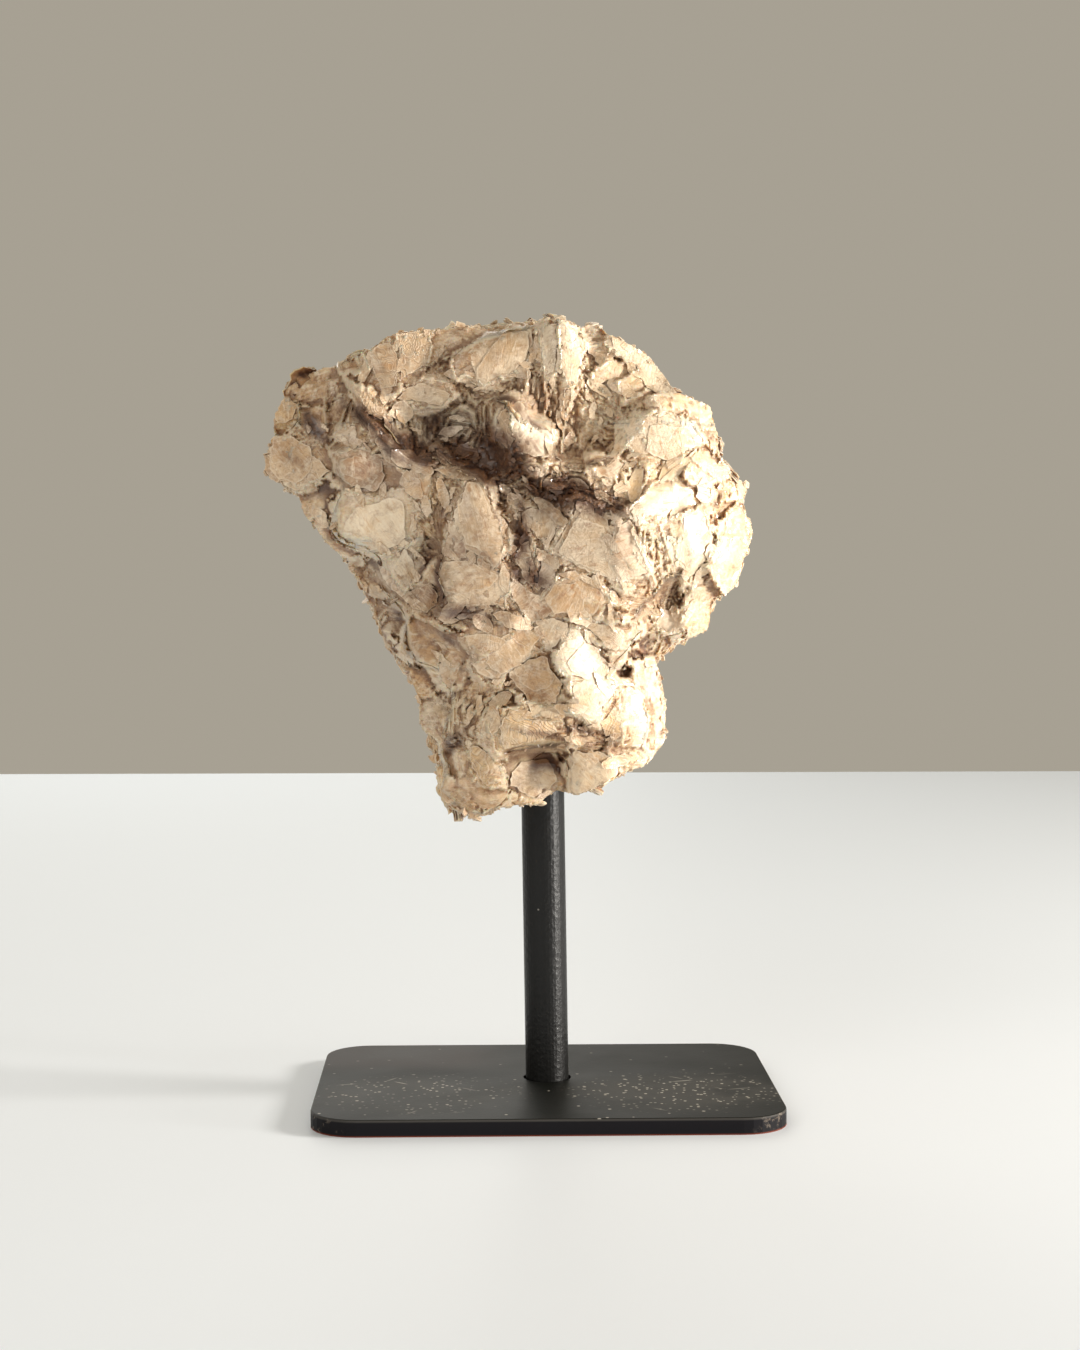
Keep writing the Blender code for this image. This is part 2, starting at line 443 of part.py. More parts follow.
def build_plate(parts, cutters):
    """The rounded plate, with the blind socket that takes the post."""
    shape = bmesh.new()
    bmesh.ops.create_cube(shape, size=1.0)
    scale = Matrix.Diagonal((PLATE_LENGTH, PLATE_DEPTH, PLATE_THICKNESS, 1.0))
    lift = Matrix.Translation((0.0, 0.0, PLATE_THICKNESS / 2.0))
    bmesh.ops.transform(shape, matrix=lift @ scale, verts=shape.verts)
    upright = [edge for edge in shape.edges
               if abs(edge.verts[0].co.z - edge.verts[1].co.z) > PLATE_THICKNESS / 2.0]
    bmesh.ops.bevel(shape, geom=upright, offset=PLATE_CORNER_RADIUS, segments=8,
                    profile=0.5, affect="EDGES")
    top = [face for face in shape.faces if face.normal.z > 0.9]
    rim = [edge for face in top for edge in face.edges]
    bmesh.ops.bevel(shape, geom=rim, offset=PLATE_EDGE_SOFTENING, segments=2,
                    profile=0.5, affect="EDGES")
    paint = surface("black_base_paint", (0.035, 0.034, 0.03), 0.6, 0.2)
    plate = mesh_object("base_plate", shape, parts, paint)
    socket = as_cutter(rod("socket_cutter", SOCKET_RADIUS, SOCKET_FLOOR, 12.0 * MM, cutters))
    boolean(plate, socket, "DIFFERENCE")
    return plate


def build_post(parts):
    """The round post, from the socket's floor up into the cluster."""
    paint = surface("black_post_paint", (0.03, 0.03, 0.03), 0.38, 0.2)
    post = rod("post", POST_RADIUS, SOCKET_FLOOR + TOUCH_GAP, POST_TOP, parts, paint)
    post.data.shade_smooth()
    post.data.set_sharp_from_angle(angle=math.radians(40.0))
    return post


def body_level(height):
    """Reach of the mass at a height in millimetres: left, right, front, back."""
    if height <= BODY_LEVELS[0][0]:
        return BODY_LEVELS[0][1:]
    for low, high in zip(BODY_LEVELS, BODY_LEVELS[1:]):
        if height <= high[0]:
            part = (height - low[0]) / (high[0] - low[0])
            return tuple(a + (b - a) * part for a, b in zip(low[1:], high[1:]))
    return BODY_LEVELS[-1][1:]


def body_point(height, angle):
    """A point of the mass's skin, in millimetres; the angle is from +X."""
    left, right, front, back = body_level(height)
    across = math.cos(angle)
    along = math.sin(angle)
    x = (left + right) / 2.0
    x += (right - left) / 2.0 * math.copysign(abs(across) ** BODY_SQUARENESS, across)
    reach = back if along > 0.0 else -front
    y = reach * math.copysign(abs(along) ** BODY_SQUARENESS, along)
    return Vector((x, y, height))


def body_front(x, height):
    """The mass's y at the front for a place seen from the front."""
    left, right, front, _ = body_level(height)
    share = min(abs(x - (left + right) / 2.0) / ((right - left) / 2.0), 1.0)
    angle = math.acos(share ** (1.0 / BODY_SQUARENESS))
    return front * math.sin(angle) ** BODY_SQUARENESS


def hollowed(point):
    """Move a point of the skin into the hollow that it lies in."""
    moved = point.copy()
    for centre, reach, depth in HOLLOWS:
        distance = (point - Vector(centre)).length
        if distance < reach:
            share = (1.0 - (distance / reach) ** 2) ** 2
            moved += (BODY_MIDDLE - point).normalized() * depth * share
    return moved


def build_mass(collection):
    """The lumpy mass that the crystals have grown on."""
    shape = bmesh.new()
    levels = len(BODY_LEVELS)
    bmesh.ops.create_uvsphere(shape, u_segments=BODY_SIDES, v_segments=levels + 1, radius=1.0)
    for vert in shape.verts:
        polar = math.acos(max(-1.0, min(1.0, vert.co.z)))
        row = levels - round(polar / math.pi * (levels + 1))
        if row < 0:
            vert.co = BODY_BOTTOM * MM
        elif row >= levels:
            vert.co = BODY_TOP * MM
        else:
            height = BODY_LEVELS[row][0]
            angle = math.atan2(vert.co.y, vert.co.x)
            point = body_point(height, angle)
            away = Vector((math.cos(angle), math.sin(angle), 0.0))
            lump = noise.noise(point / LUMP_SIZE + LUMP_PLACE)
            point += away * (lump * LUMP_HEIGHT - SKIN_INSET)
            vert.co = hollowed(point) * MM
    return mesh_object("mica_mass", shape, collection)


def facing(turn, tilt):
    """The way a leaf's face looks."""
    turn, tilt = math.radians(turn), math.radians(tilt)
    return Vector((math.sin(turn) * math.cos(tilt), -math.cos(turn) * math.cos(tilt),
                   math.sin(tilt)))


def slid_to_plane(x, z, middle, out):
    """Slide a drawn point along the line of sight onto a leaf's plane."""
    drawn = Vector((x * MM, DRAWING_PLANE, z * MM))
    sight = drawn - EYE
    return EYE + sight * ((middle - EYE).dot(out) / sight.dot(out))


def crystal(name, outline, out, thickness, ledges, collection):
    """A book of mica: a flat outline, grown inwards, with ledges on its face."""
    shape = bmesh.new()
    verts = [shape.verts.new(point) for point in outline]
    face = shape.faces.new(verts)
    face.normal_update()
    if face.normal.dot(out) < 0.0:
        face.normal_flip()
    middle = sum(outline, Vector()) / len(outline)
    grown = bmesh.ops.extrude_face_region(shape, geom=[face], use_keep_orig=True)
    roots = [item for item in grown["geom"] if isinstance(item, bmesh.types.BMVert)]
    for vert in roots:
        vert.co = middle + (vert.co - middle) * ROOT_TAPER - out * thickness * MM
    front = face
    chance = random.Random(name)
    for _ in range(1, ledges):
        front = bmesh.ops.extrude_discrete_faces(shape, faces=[front])["faces"][0]
        slide = Vector([chance.uniform(-LEDGE_SLIDE, LEDGE_SLIDE) for _ in range(3)])
        slide -= out * (slide.dot(out) - LEDGE_RISE)
        for vert in front.verts:
            vert.co = middle + (vert.co - middle) * LEDGE_INSET + slide * MM
    return mesh_object(name, shape, collection)


def front_crystal(name, proud, turn_and_tilt, thickness, ledges, drawn, collection):
    """A crystal of the front, placed by its drawn outline."""
    x = sum(point[0] for point in drawn) / len(drawn)
    z = sum(point[1] for point in drawn) / len(drawn)
    out = facing(*turn_and_tilt)
    middle = Vector((x * MM, DRAWING_PLANE, z * MM))
    depth = (body_front(x, z) - proud) * MM
    middle = EYE + (middle - EYE) * ((depth - EYE.y) / (DRAWING_PLANE - EYE.y))
    outline = [slid_to_plane(*point, middle, out) for point in drawn]
    return crystal(name, outline, out, thickness, ledges, collection)


def build_front_crystals(collection):
    """Every drawn crystal of the front."""
    for name, proud, turn_and_tilt, thickness, ledges, drawn in FRONT_CRYSTALS:
        front_crystal(name, proud, turn_and_tilt, thickness, ledges, drawn, collection)


def round_crystal_outline(chance, middle, out, size):
    """An uneven flat outline of six to eight corners round a middle."""
    right = out.orthogonal().normalized()
    up = out.cross(right)
    corners = chance.randint(6, 8)
    start = chance.uniform(0.0, math.tau)
    stretch = chance.uniform(0.62, 1.0)
    outline = []
    for corner in range(corners):
        angle = math.tau * (corner + chance.uniform(-0.25, 0.25)) / corners
        radius = size * chance.uniform(0.82, 1.08) * MM
        across = Vector((math.cos(angle) * radius, math.sin(angle) * radius * stretch))
        turned = Matrix.Rotation(start, 2) @ across
        outline.append(middle + right * turned.x + up * turned.y)
    return outline


def inside_front_view(point):
    """Whether a point stays behind the outline that the mass shows in front."""
    height = point.z / MM
    left, right, _, _ = body_level(height)
    reach = left - OUTLINE_MARGIN <= point.x / MM <= right + OUTLINE_MARGIN
    return reach and BODY_LEVELS[0][0] <= height <= CROWN_TOP


def build_round_crystals(collection):
    """Crystals over the sides, the back, the top and the underside."""
    chance = random.Random(CRYSTAL_SEED)
    low, high = ROUND_CRYSTAL_HEIGHTS
    for index in range(ROUND_CRYSTAL_COUNT):
        share = ((index + 0.5) / ROUND_CRYSTAL_COUNT) ** ROUND_CRYSTAL_CROWDING
        height = low + (high - low) * share
        turn = (index * GOLDEN_ANGLE / math.tau) % 1.0
        angle = math.pi * (-0.06 + 1.12 * turn)
        if height > CROWN_HEIGHT:
            angle = math.tau * turn
        point = body_point(height, angle)
        heart = BODY_MIDDLE.copy()
        heart.z = BODY_BOTTOM.z + (height - BODY_BOTTOM.z) * HEART_HEIGHT
        away = (point - heart).normalized()
        tilt = Vector([chance.uniform(-1.0, 1.0) for _ in range(3)])
        out = (away + tilt * ROUND_CRYSTAL_TILT).normalized()
        size = chance.uniform(*ROUND_CRYSTAL_SIZES)
        middle = (point + away * chance.uniform(*ROUND_CRYSTAL_STAND)) * MM
        outline = round_crystal_outline(chance, middle, out, size)
        while not all(inside_front_view(corner) for corner in outline) and size > SMALLEST_CRYSTAL:
            outline = [middle + (corner - middle) * 0.9 for corner in outline]
            size *= 0.9
        ledges = chance.randint(1, 2)
        if size > SMALLEST_CRYSTAL:
            crystal(f"round_crystal_{index:02d}", outline, out, ROUND_CRYSTAL_THICKNESS,
                    ledges, collection)


def box(name, low, high, collection):
    """A plain block between two corners."""
    low, high = Vector(low), Vector(high)
    shape = bmesh.new()
    bmesh.ops.create_cube(shape, size=1.0)
    place = Matrix.Translation((low + high) / 2.0) @ Matrix.Diagonal((*(high - low), 1.0))
    bmesh.ops.transform(shape, matrix=place, verts=shape.verts)
    return mesh_object(name, shape, collection)


def build_cluster(parts, cutters):
    """The whole mica cluster as one grown solid, drilled for the post."""
    crystals = new_collection("mica_crystals")
    build_front_crystals(crystals)
    build_round_crystals(crystals)
    cluster = build_mass(parts)
    cluster.name = cluster.data.name = "mica_cluster"
    cluster.data.materials.append(surface("mica", (0.62, 0.53, 0.42), 0.32))
    boolean(cluster, crystals, "UNION")
    crevice = box("crevice_cutter", (CREVICE_LEFT, -45.0 * MM, 55.0 * MM),
                  (CREVICE_RIGHT, POST_FOOT.y, CREVICE_TOP), cutters)
    boolean(cluster, as_cutter(crevice), "DIFFERENCE")
    hole = rod("post_hole_cutter", POST_RADIUS + TOUCH_GAP, 40.0 * MM, POST_HOLE_TOP, cutters)
    boolean(cluster, as_cutter(hole), "DIFFERENCE")
    out = facing(0.0, 0.0)
    middle = Vector((0.0, FRONT_FLAKE_DEPTH * MM, 74.0 * MM))
    outline = [slid_to_plane(*point, middle, out) for point in FRONT_FLAKE]
    flake = crystal("front_flake", outline, out, -FRONT_FLAKE_THICKNESS, 1, cutters)
    boolean(cluster, as_cutter(flake), "UNION")
    for item in crystals.objects:
        as_cutter(item)
    return cluster


def build():
    """Model the whole display."""
    clear_scene()
    parts = new_collection("mica_display")
    cutters = new_collection("cutters")
    build_plate(parts, cutters)
    build_post(parts)
    build_cluster(parts, cutters)


build()
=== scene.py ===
"""Mica cluster on a black metal display stand: the detailed model.

The cluster is a crumbly heart of broken cleavage. Its front carries drawn books
of mica and, between them, books on their edges, as a relief with thin leaves
laid over it. Whole books are strewn over the sides, the back and the top.
Lengths in the tables are millimetres, in the stand's frame.
"""

import json
import math

import bmesh
import bpy
import numpy as np
from bpy.props import (
    FloatProperty, FloatVectorProperty, IntProperty, PointerProperty)
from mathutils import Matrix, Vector, noise
from mathutils.bvhtree import BVHTree
from mathutils.kdtree import KDTree

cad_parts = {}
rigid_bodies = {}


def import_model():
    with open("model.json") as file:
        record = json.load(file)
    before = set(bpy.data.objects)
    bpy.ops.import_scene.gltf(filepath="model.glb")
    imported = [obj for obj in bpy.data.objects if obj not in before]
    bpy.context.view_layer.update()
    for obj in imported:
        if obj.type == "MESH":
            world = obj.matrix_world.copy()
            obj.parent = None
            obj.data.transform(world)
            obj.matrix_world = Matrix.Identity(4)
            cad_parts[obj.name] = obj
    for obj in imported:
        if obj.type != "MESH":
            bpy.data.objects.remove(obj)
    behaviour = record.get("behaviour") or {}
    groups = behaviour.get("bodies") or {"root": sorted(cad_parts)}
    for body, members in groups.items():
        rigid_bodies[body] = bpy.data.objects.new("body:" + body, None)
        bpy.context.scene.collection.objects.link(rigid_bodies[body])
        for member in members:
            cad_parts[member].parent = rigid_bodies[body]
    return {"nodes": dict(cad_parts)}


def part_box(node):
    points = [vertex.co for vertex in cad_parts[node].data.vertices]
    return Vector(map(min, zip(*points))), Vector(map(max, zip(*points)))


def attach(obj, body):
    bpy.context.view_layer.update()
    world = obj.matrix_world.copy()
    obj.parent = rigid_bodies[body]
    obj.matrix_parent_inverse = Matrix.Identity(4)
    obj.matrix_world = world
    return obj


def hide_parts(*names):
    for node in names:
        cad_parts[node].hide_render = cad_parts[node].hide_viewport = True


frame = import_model()

bl_info = {
    "name": "Mica Cluster on Stand",
    "version": (1, 0, 0),
    "blender": (4, 5, 0),
    "location": "View3D > Sidebar > Mica",
    "description": "Builds a mica cluster on a black metal display stand",
    "category": "Object",
}

MM = 0.001
CLUSTER = "mica_cluster"
# How near the heart and the chips may come to the post's axis.
HOLE_RADIUS = 5.05
CHIP_CLEARANCE = 7.5
# How far apart the patterns of two books start, at most, each way.
SHEET_SHIFT = 40.0

# Where the drawn outlines are looked at from, and the plane they are drawn on.
EYE = np.array((-14.8, -484.0, 119.0))
DRAWING_PLANE = -22.0

# Books of the front: name, tint, surface, facing (turn to the right, tilt up) in
# degrees, ledges, and outline as (x, z) on the drawing plane, in millimetres.
FRONT_BOOKS = (
    ("nose", "tan", "rough", (-28, -8), 2, (
        (-59.6, 138), (-58.6, 141.3), (-58.2, 144.2), (-54, 144.5), (-49, 142), (-46, 141),
        (-45.5, 136.5), (-49.5, 134.3), (-52.2, 132.3), (-56.5, 133.8), (-59, 135.4))),
    ("nose_edge", "golden", "rough", (-35, 4), 1, (
        (-58.2, 144), (-58, 147), (-57.2, 150), (-55.2, 151.6), (-52, 150.6), (-50, 146),
        (-52, 142.8))),
    ("oval", "golden", "smooth", (-20, 14), 2, (
        (-52.8, 149), (-51.6, 150.3), (-48.2, 150), (-46.4, 147), (-46.2, 144.4), (-48.6, 144.5),
        (-51.8, 147))),
    ("shoulder", "tan", "rough", (-25, 22), 2, (
        (-55.2, 154.3), (-54.8, 156), (-53.5, 155.9), (-51, 157.2), (-48.4, 157.4), (-45.4, 156),
        (-45.2, 151), (-49, 149.6), (-53.6, 151.5), (-54.6, 152.6))),
    ("white_crest", "white", "rough", (-10, 30), 1, (
        (-48.5, 158.2), (-46.4, 159.4), (-44.1, 158.6), (-43.8, 155.4), (-47.6, 155.6))),
    ("grey_pebble", "grey", "smooth", (-8, 0), 1, (
        (-44.8, 151), (-43.4, 152.1), (-41.9, 151.3), (-41.8, 149.6), (-43.9, 149.1))),
    ("pale_spikes", "cream", "streaky", (22, 12), 1, (
        (-40.8, 155.5), (-39.5, 155.2), (-37.7, 153.5), (-36.5, 152), (-34, 150.3), (-33, 148.5),
        (-33.8, 147.2), (-35.5, 148.5), (-37.2, 149), (-38, 151.5), (-39.3, 152.8))),
    ("lower_grey_leaf", "grey", "smooth", (-6, 12), 1, (
        (-45.3, 143.9), (-43, 145.3), (-41, 146.5), (-39.7, 146), (-39.2, 142.4),
        (-40.5, 141.5))),
    ("fan_left", "tan", "streaky", (-24, 30), 2, (
        (-44.3, 158.3), (-42, 160.6), (-39.4, 162.3), (-37.6, 161.8), (-36.5, 157),
        (-37.6, 153.6), (-41, 155.4))),
    ("fan_middle", "tan", "streaky", (-12, 26), 2, (
        (-38, 161.8), (-35, 164), (-33.8, 165.3), (-31.5, 166.1), (-30.5, 160), (-31, 153.6),
        (-35, 152.4), (-37.5, 155))),
    ("fan_right", "tan", "streaky", (4, 26), 2, (
        (-32, 166), (-29, 166.1), (-26.5, 166.6), (-25, 165), (-24.6, 161), (-25.6, 157.5),
        (-28, 155.3), (-31.5, 154.4))),
    ("cracked_grey_leaf", "grey", "cracked", (-4, 16), 2, (
        (-31.8, 151.7), (-29.6, 153.9), (-26.8, 155), (-22, 155), (-20.3, 152.6), (-22.2, 150.3),
        (-26.6, 150.8))),
    ("brown_slope", "brown", "smooth", (10, -24), 1, (
        (-44.6, 140), (-40, 141.4), (-34.6, 139.4), (-29.8, 136), (-30.4, 133.4), (-36, 131.8),
        (-41, 133.2), (-44.6, 136.6))),
    ("arch_leaf", "tan", "smooth", (-10, 4), 1, (
        (-28.3, 135), (-27.4, 138), (-26, 139.3), (-24.6, 139), (-23.8, 135.4), (-25.2, 131.3),
        (-26.8, 132.6))),
    ("diagonal_grey_leaf", "grey", "streaky", (-14, 20), 1, (
        (-24.9, 141), (-23.4, 141.5), (-20, 138.3), (-14.6, 135.4), (-16.2, 134.2),
        (-20, 136.2))),
    ("left_corner_leaf", "tan", "smooth", (-38, -6), 1, (
        (-52.4, 131.7), (-50.5, 131.4), (-46.5, 134.2), (-44, 132.6), (-49.6, 126.4),
        (-50.9, 125.8), (-52.2, 128.9))),
    ("broad_left_leaf", "cream", "smooth", (-12, -4), 2, (
        (-46, 125), (-45, 129), (-43.5, 132), (-41, 132.3), (-38, 131), (-35, 131.5),
        (-32.5, 133), (-30.5, 133.2), (-28.5, 131.5), (-27.8, 128), (-28, 124.5), (-27.5, 123.3),
        (-30, 121), (-33, 120), (-38, 119.8), (-41, 120.5), (-44, 122))),
    ("left_rim", "rose", "streaky", (-34, -22), 1, (
        (-49.6, 126.8), (-46.6, 127.6), (-43.5, 122), (-38.6, 119.6), (-42.6, 118.6),
        (-45.4, 119.7), (-48.6, 123.2))),
    ("tall_leaf", "cream", "smooth", (-6, 3), 2, (
        (-17.2, 135.5), (-14.5, 135), (-13, 133), (-12, 130), (-10.5, 128), (-9.8, 125),
        (-9, 122), (-8.8, 120), (-9.5, 117.5), (-10, 116.8), (-11.5, 116), (-12.5, 118),
        (-15, 119.5), (-17, 120.5), (-17.8, 122.5), (-19, 125), (-20, 127.5), (-19.5, 129),
        (-18, 130.5), (-17.5, 133))),
    ("violet_leaf", "lilac", "smooth", (-10, -6), 1, (
        (-21.2, 124.2), (-19.8, 125.6), (-17.4, 122), (-16.9, 119.2), (-21, 118.3),
        (-22.2, 120))),
    ("lower_wide_leaf", "cream", "smooth", (-5, -7), 2, (
        (-22.7, 118.5), (-23.6, 114.8), (-22.2, 111.4), (-19, 109.2), (-14, 108.8),
        (-10.6, 109.8), (-8.6, 112), (-9.2, 115.4), (-12.6, 117), (-17, 119.4))),
    ("upper_leaf", "cream", "smooth", (3, 16), 2, (
        (-20, 160.5), (-18.5, 162), (-16.5, 163.5), (-14, 164.8), (-11, 165.3), (-9, 166.5),
        (-7.5, 167), (-5, 167), (-3, 166.8), (-2.8, 164), (-3.5, 162), (-4.5, 160), (-5.5, 158.3),
        (-7.5, 157.3), (-9.5, 157), (-11.5, 156), (-13.5, 155), (-15.5, 156), (-17.5, 157.5),
        (-19, 156.5), (-19.5, 158.5))),
    ("top_ridge", "white", "rough", (-4, 42), 1, (
        (-24.6, 164), (-23.4, 165.3), (-20.8, 166.8), (-18.4, 167.4), (-14, 167.2),
        (-11.6, 166.3), (-11.4, 163.6), (-18, 162), (-23, 162))),
    ("knob", "white", "smooth", (10, 40), 1, (
        (-8.9, 166.9), (-7.1, 168.9), (-5.4, 168.5), (-4.8, 166.5), (-7, 165.4))),
    ("folded_column_a", "white", "streaky", (34, 12), 1, (
        (-2.7, 167.3), (0, 169.3), (1.9, 168.6), (1.9, 162), (1.2, 157.4), (-0.8, 156.7),
        (-1.6, 161))),
    ("folded_column_b", "cream", "streaky", (38, 10), 1, (
        (1.6, 169.4), (5, 168.6), (7, 167.2), (7.5, 161), (6.4, 154.4), (5.2, 153.8),
        (3.2, 157.2))),
    ("white_wedge", "white", "smooth", (30, -4), 1, (
        (-8, 152), (-7, 152), (-5.5, 150.5), (-5, 148), (-3.5, 145.5), (-2, 146), (-0.5, 146),
        (0.3, 144), (0.2, 141), (-0.5, 140.2), (-3, 140), (-5, 140.8), (-7, 142.5), (-8, 145),
        (-8, 149))),
    ("wedge_flank", "tan", "streaky", (-22, 0), 1, (
        (-10.6, 148.6), (-8.8, 150.2), (-8.1, 146), (-6.2, 142), (-8.6, 140.2), (-11, 144))),
    ("right_crest", "white", "rough", (24, 44), 1, (
        (6.8, 167), (9.2, 168.4), (11.2, 167.4), (12.6, 165.6), (10, 162.4), (7.2, 162.8))),
    ("right_shoulder", "white", "rough", (42, 30), 2, (
        (11.6, 166.3), (15, 164.2), (17.2, 163.2), (20.2, 161.2), (22.4, 159.2), (24.2, 156.3),
        (27, 153.5), (23.4, 152.4), (20.4, 154.4), (17.6, 159.8), (12.6, 161.8))),
    ("amber_facet_high", "golden", "smooth", (30, -14), 1, (
        (8.6, 157), (12.6, 159.3), (19.2, 159), (15.4, 156), (10, 154.8))),
    ("amber_facet_low", "golden", "smooth", (24, 8), 1, (
        (14.8, 155.7), (19.6, 158.4), (23.4, 154.2), (19.6, 151.6), (15.4, 152))),
    ("right_roof", "white", "rough", (48, 24), 2, (
        (20.6, 152.6), (27.2, 153.8), (30, 152.4), (33, 151.6), (34.4, 150), (34.1, 147.6),
        (35.3, 146), (36, 142.2), (33.6, 142), (30.6, 147.2), (24.6, 149.4))),
    ("tan_dome", "grey", "rough", (20, -14), 2, (
        (18.2, 145.8), (20.2, 148), (25, 148.8), (30.4, 147), (32.6, 143), (29.4, 141.1),
        (24.4, 139), (18, 139.6), (16.4, 142.2))),
    ("pale_block", "white", "smooth", (28, 4), 1, (
        (9.2, 139), (14.6, 139.2), (16, 138.3), (13.8, 135.3), (10.4, 136), (9.2, 137.6))),
    ("fan_golden_leaf", "golden", "smooth", (-18, 6), 1, (
        (17.8, 138), (20.2, 137.6), (19.6, 133), (17.2, 130.2), (16.4, 133.6))),
    ("fan_long_leaf", "white", "smooth", (26, 20), 1, (
        (21.8, 134.4), (28.4, 140), (31.9, 142.2), (29.8, 139), (24.6, 134.9), (19.6, 131.2))),
    ("white_plane", "white", "smooth", (34, 12), 2, (
        (19, 131.4), (23, 134.8), (27, 135.2), (33.4, 132), (30.8, 129.4), (26, 127.5),
        (20.4, 127.2), (17.2, 129.4))),
    ("right_upper_plane", "white", "rough", (46, 10), 2, (
        (28.6, 138.6), (32.6, 142.2), (35.6, 139.4), (38.2, 138.5), (38.8, 136), (34, 134.2),
        (30, 134.4))),
    ("right_tip", "cream", "smooth", (52, 16), 1, (
        (38.6, 136.3), (40.6, 135.8), (42.4, 134.3), (42.2, 132.7), (40.7, 130.5), (37.6, 131))),
    ("golden_curved_leaf", "golden", "streaky", (40, -10), 2, (
        (33.7, 126.2), (36, 126.9), (38.6, 130), (39.8, 134), (37.6, 134.6), (34.6, 129.6))),
    ("right_lens", "cream", "smooth", (54, 0), 2, (
        (40.6, 130.5), (41.6, 127.8), (42.6, 126.5), (43, 123.3), (41.8, 120.6), (40.2, 116.4),
        (40, 114), (38.6, 111.6), (37, 110.3), (35, 113), (34.2, 116.5), (35, 120), (36, 124),
        (38, 128.5))),
    ("right_flank", "cream", "rough", (50, -14), 1, (
        (31, 114), (36.8, 113.2), (37, 109.8), (34.4, 108), (34.6, 104.6), (33.6, 102.6),
        (31.8, 102), (29.6, 101), (27.6, 106))),
    ("amber_wedge", "golden", "smooth", (18, 0), 1, (
        (25.8, 125.6), (27.3, 126.5), (29.2, 125.6), (28, 122.6), (26.6, 121.6))),
    ("middle_plane", "cream", "smooth", (36, -10), 2, (
        (28, 128), (32.8, 127.8), (34, 123), (33, 117.4), (29, 114.2), (27.2, 119))),
    ("lilac_band", "rose", "smooth", (16, -8), 1, (
        (14, 126.6), (16.8, 127.2), (18.8, 119.2), (20.6, 115.6), (16.4, 114.8), (12.8, 118.6))),
    ("streaky_face", "grey", "rough", (2, -4), 2, (
        (5.3, 131), (13.6, 127.6), (13.2, 119), (14.8, 113), (9.6, 114.6), (0.4, 119),
        (3.6, 125.4))),
    ("heart_leaf", "grey", "smooth", (-4, 8), 1, (
        (-6.6, 128.3), (-4.6, 129.2), (0, 128), (1.6, 126.6), (0.2, 123.4), (-2.4, 122.5),
        (-4.4, 125.2))),
    ("small_lens", "grey", "streaky", (-22, -4), 1, (
        (-4.2, 123.2), (-6, 121.4), (-7.1, 118.4), (-4.8, 115.2), (-2.9, 116.4), (-3, 120.2))),
    ("lilac_lens", "lilac", "smooth", (-12, -6), 1, (
        (-1.3, 119), (0.2, 119.6), (1.6, 118), (1, 114.8), (-1.5, 111.2), (-3, 114.8))),
    ("tan_lower_leaf", "tan", "smooth", (2, -12), 2, (
        (-1.8, 110.4), (1, 113.6), (7, 114.7), (11, 112), (12.2, 109.4), (9.4, 106.4),
        (1, 106.6))),
    ("under_leaf", "brown", "smooth", (-10, -16), 1, (
        (-7.2, 109.6), (-5, 106.6), (-3, 105.4), (1.4, 107.6), (-1.6, 111), (-4.8, 113.4))),
    ("small_pyramid", "white", "smooth", (-10, 14), 1, (
        (10.8, 106.6), (13, 110), (14.6, 105.2), (13.4, 104.3), (11.6, 104.4))),
    ("pale_fold", "lilac", "smooth", (20, 6), 1, (
        (22.6, 105.4), (24, 108), (28.2, 107), (29.6, 103.6), (26.4, 102.4), (23.6, 103.2))),
    ("grey_band", "grey", "rough", (10, 8), 2, (
        (5.6, 104.6), (8.4, 105.9), (15.2, 105.2), (19.6, 103.4), (15.4, 98), (12.6, 98.4),
        (9.8, 101.6))),
    ("white_plate_high", "white", "smooth", (26, 6), 2, (
        (1.3, 97), (1.8, 99), (3.5, 101), (6, 103), (8, 102), (10.5, 100.5), (12, 98.8),
        (12.8, 96), (11.5, 94.5), (12.3, 93.5), (8, 93), (4, 93.8), (2, 95.5))),
    ("white_plate_low", "white", "smooth", (30, -8), 2, (
        (4.5, 93), (8, 94), (12, 93.8), (15, 91.5), (14, 90.5), (12.5, 88.5), (11, 87),
        (10.5, 86.8), (11, 85.5), (10.3, 84.8), (8, 85.5), (6, 86.5), (4, 88), (5.2, 90))),
    ("grey_mid_leaf", "grey", "smooth", (-8, 10), 1, (
        (-2.9, 105.3), (1, 107.4), (4.2, 104.6), (2, 100), (0, 99.6))),
    ("brown_face", "tan", "rough", (-6, -10), 1, (
        (-9, 95.6), (-5, 98.2), (0, 99), (2.8, 93), (1.2, 88.6), (-4, 89), (-7.4, 92.6))),
    ("two_sheets_dark", "tan", "smooth", (-4, -12), 1, (
        (-15.8, 96.4), (-12.6, 99), (-6.6, 103.6), (-0.4, 103.4), (-3, 98.2), (-9, 94.4),
        (-10.2, 92.2), (-14.6, 94.4))),
    ("two_sheets_light", "cream", "cracked", (-10, -8), 2, (
        (-18.9, 102.4), (-16.6, 104.6), (-10, 105.2), (-7, 104.4), (-7.6, 101), (-11, 98.8),
        (-15, 96.8), (-17.4, 99.4))),
    ("olive_leaf", "golden", "smooth", (-22, -4), 2, (
        (-30.8, 103.6), (-28, 106.9), (-24, 105), (-21.6, 102.8), (-23.4, 95.8), (-29, 97.2),
        (-31, 100))),
    ("tan_leaf_behind", "tan", "smooth", (-12, -10), 1, (
        (-22, 104.2), (-19.2, 104.6), (-16.6, 98.4), (-18.6, 92.8), (-21.6, 92), (-23, 96.6))),
    ("thin_ridge", "tan", "streaky", (-30, 34), 1, (
        (-38.6, 118.6), (-34.4, 116.6), (-30, 111.4), (-25, 106.9), (-18, 103), (-22, 103.4),
        (-29.6, 107.4), (-35.6, 113.4))),
    ("pale_facets", "white", "smooth", (22, 10), 1, (
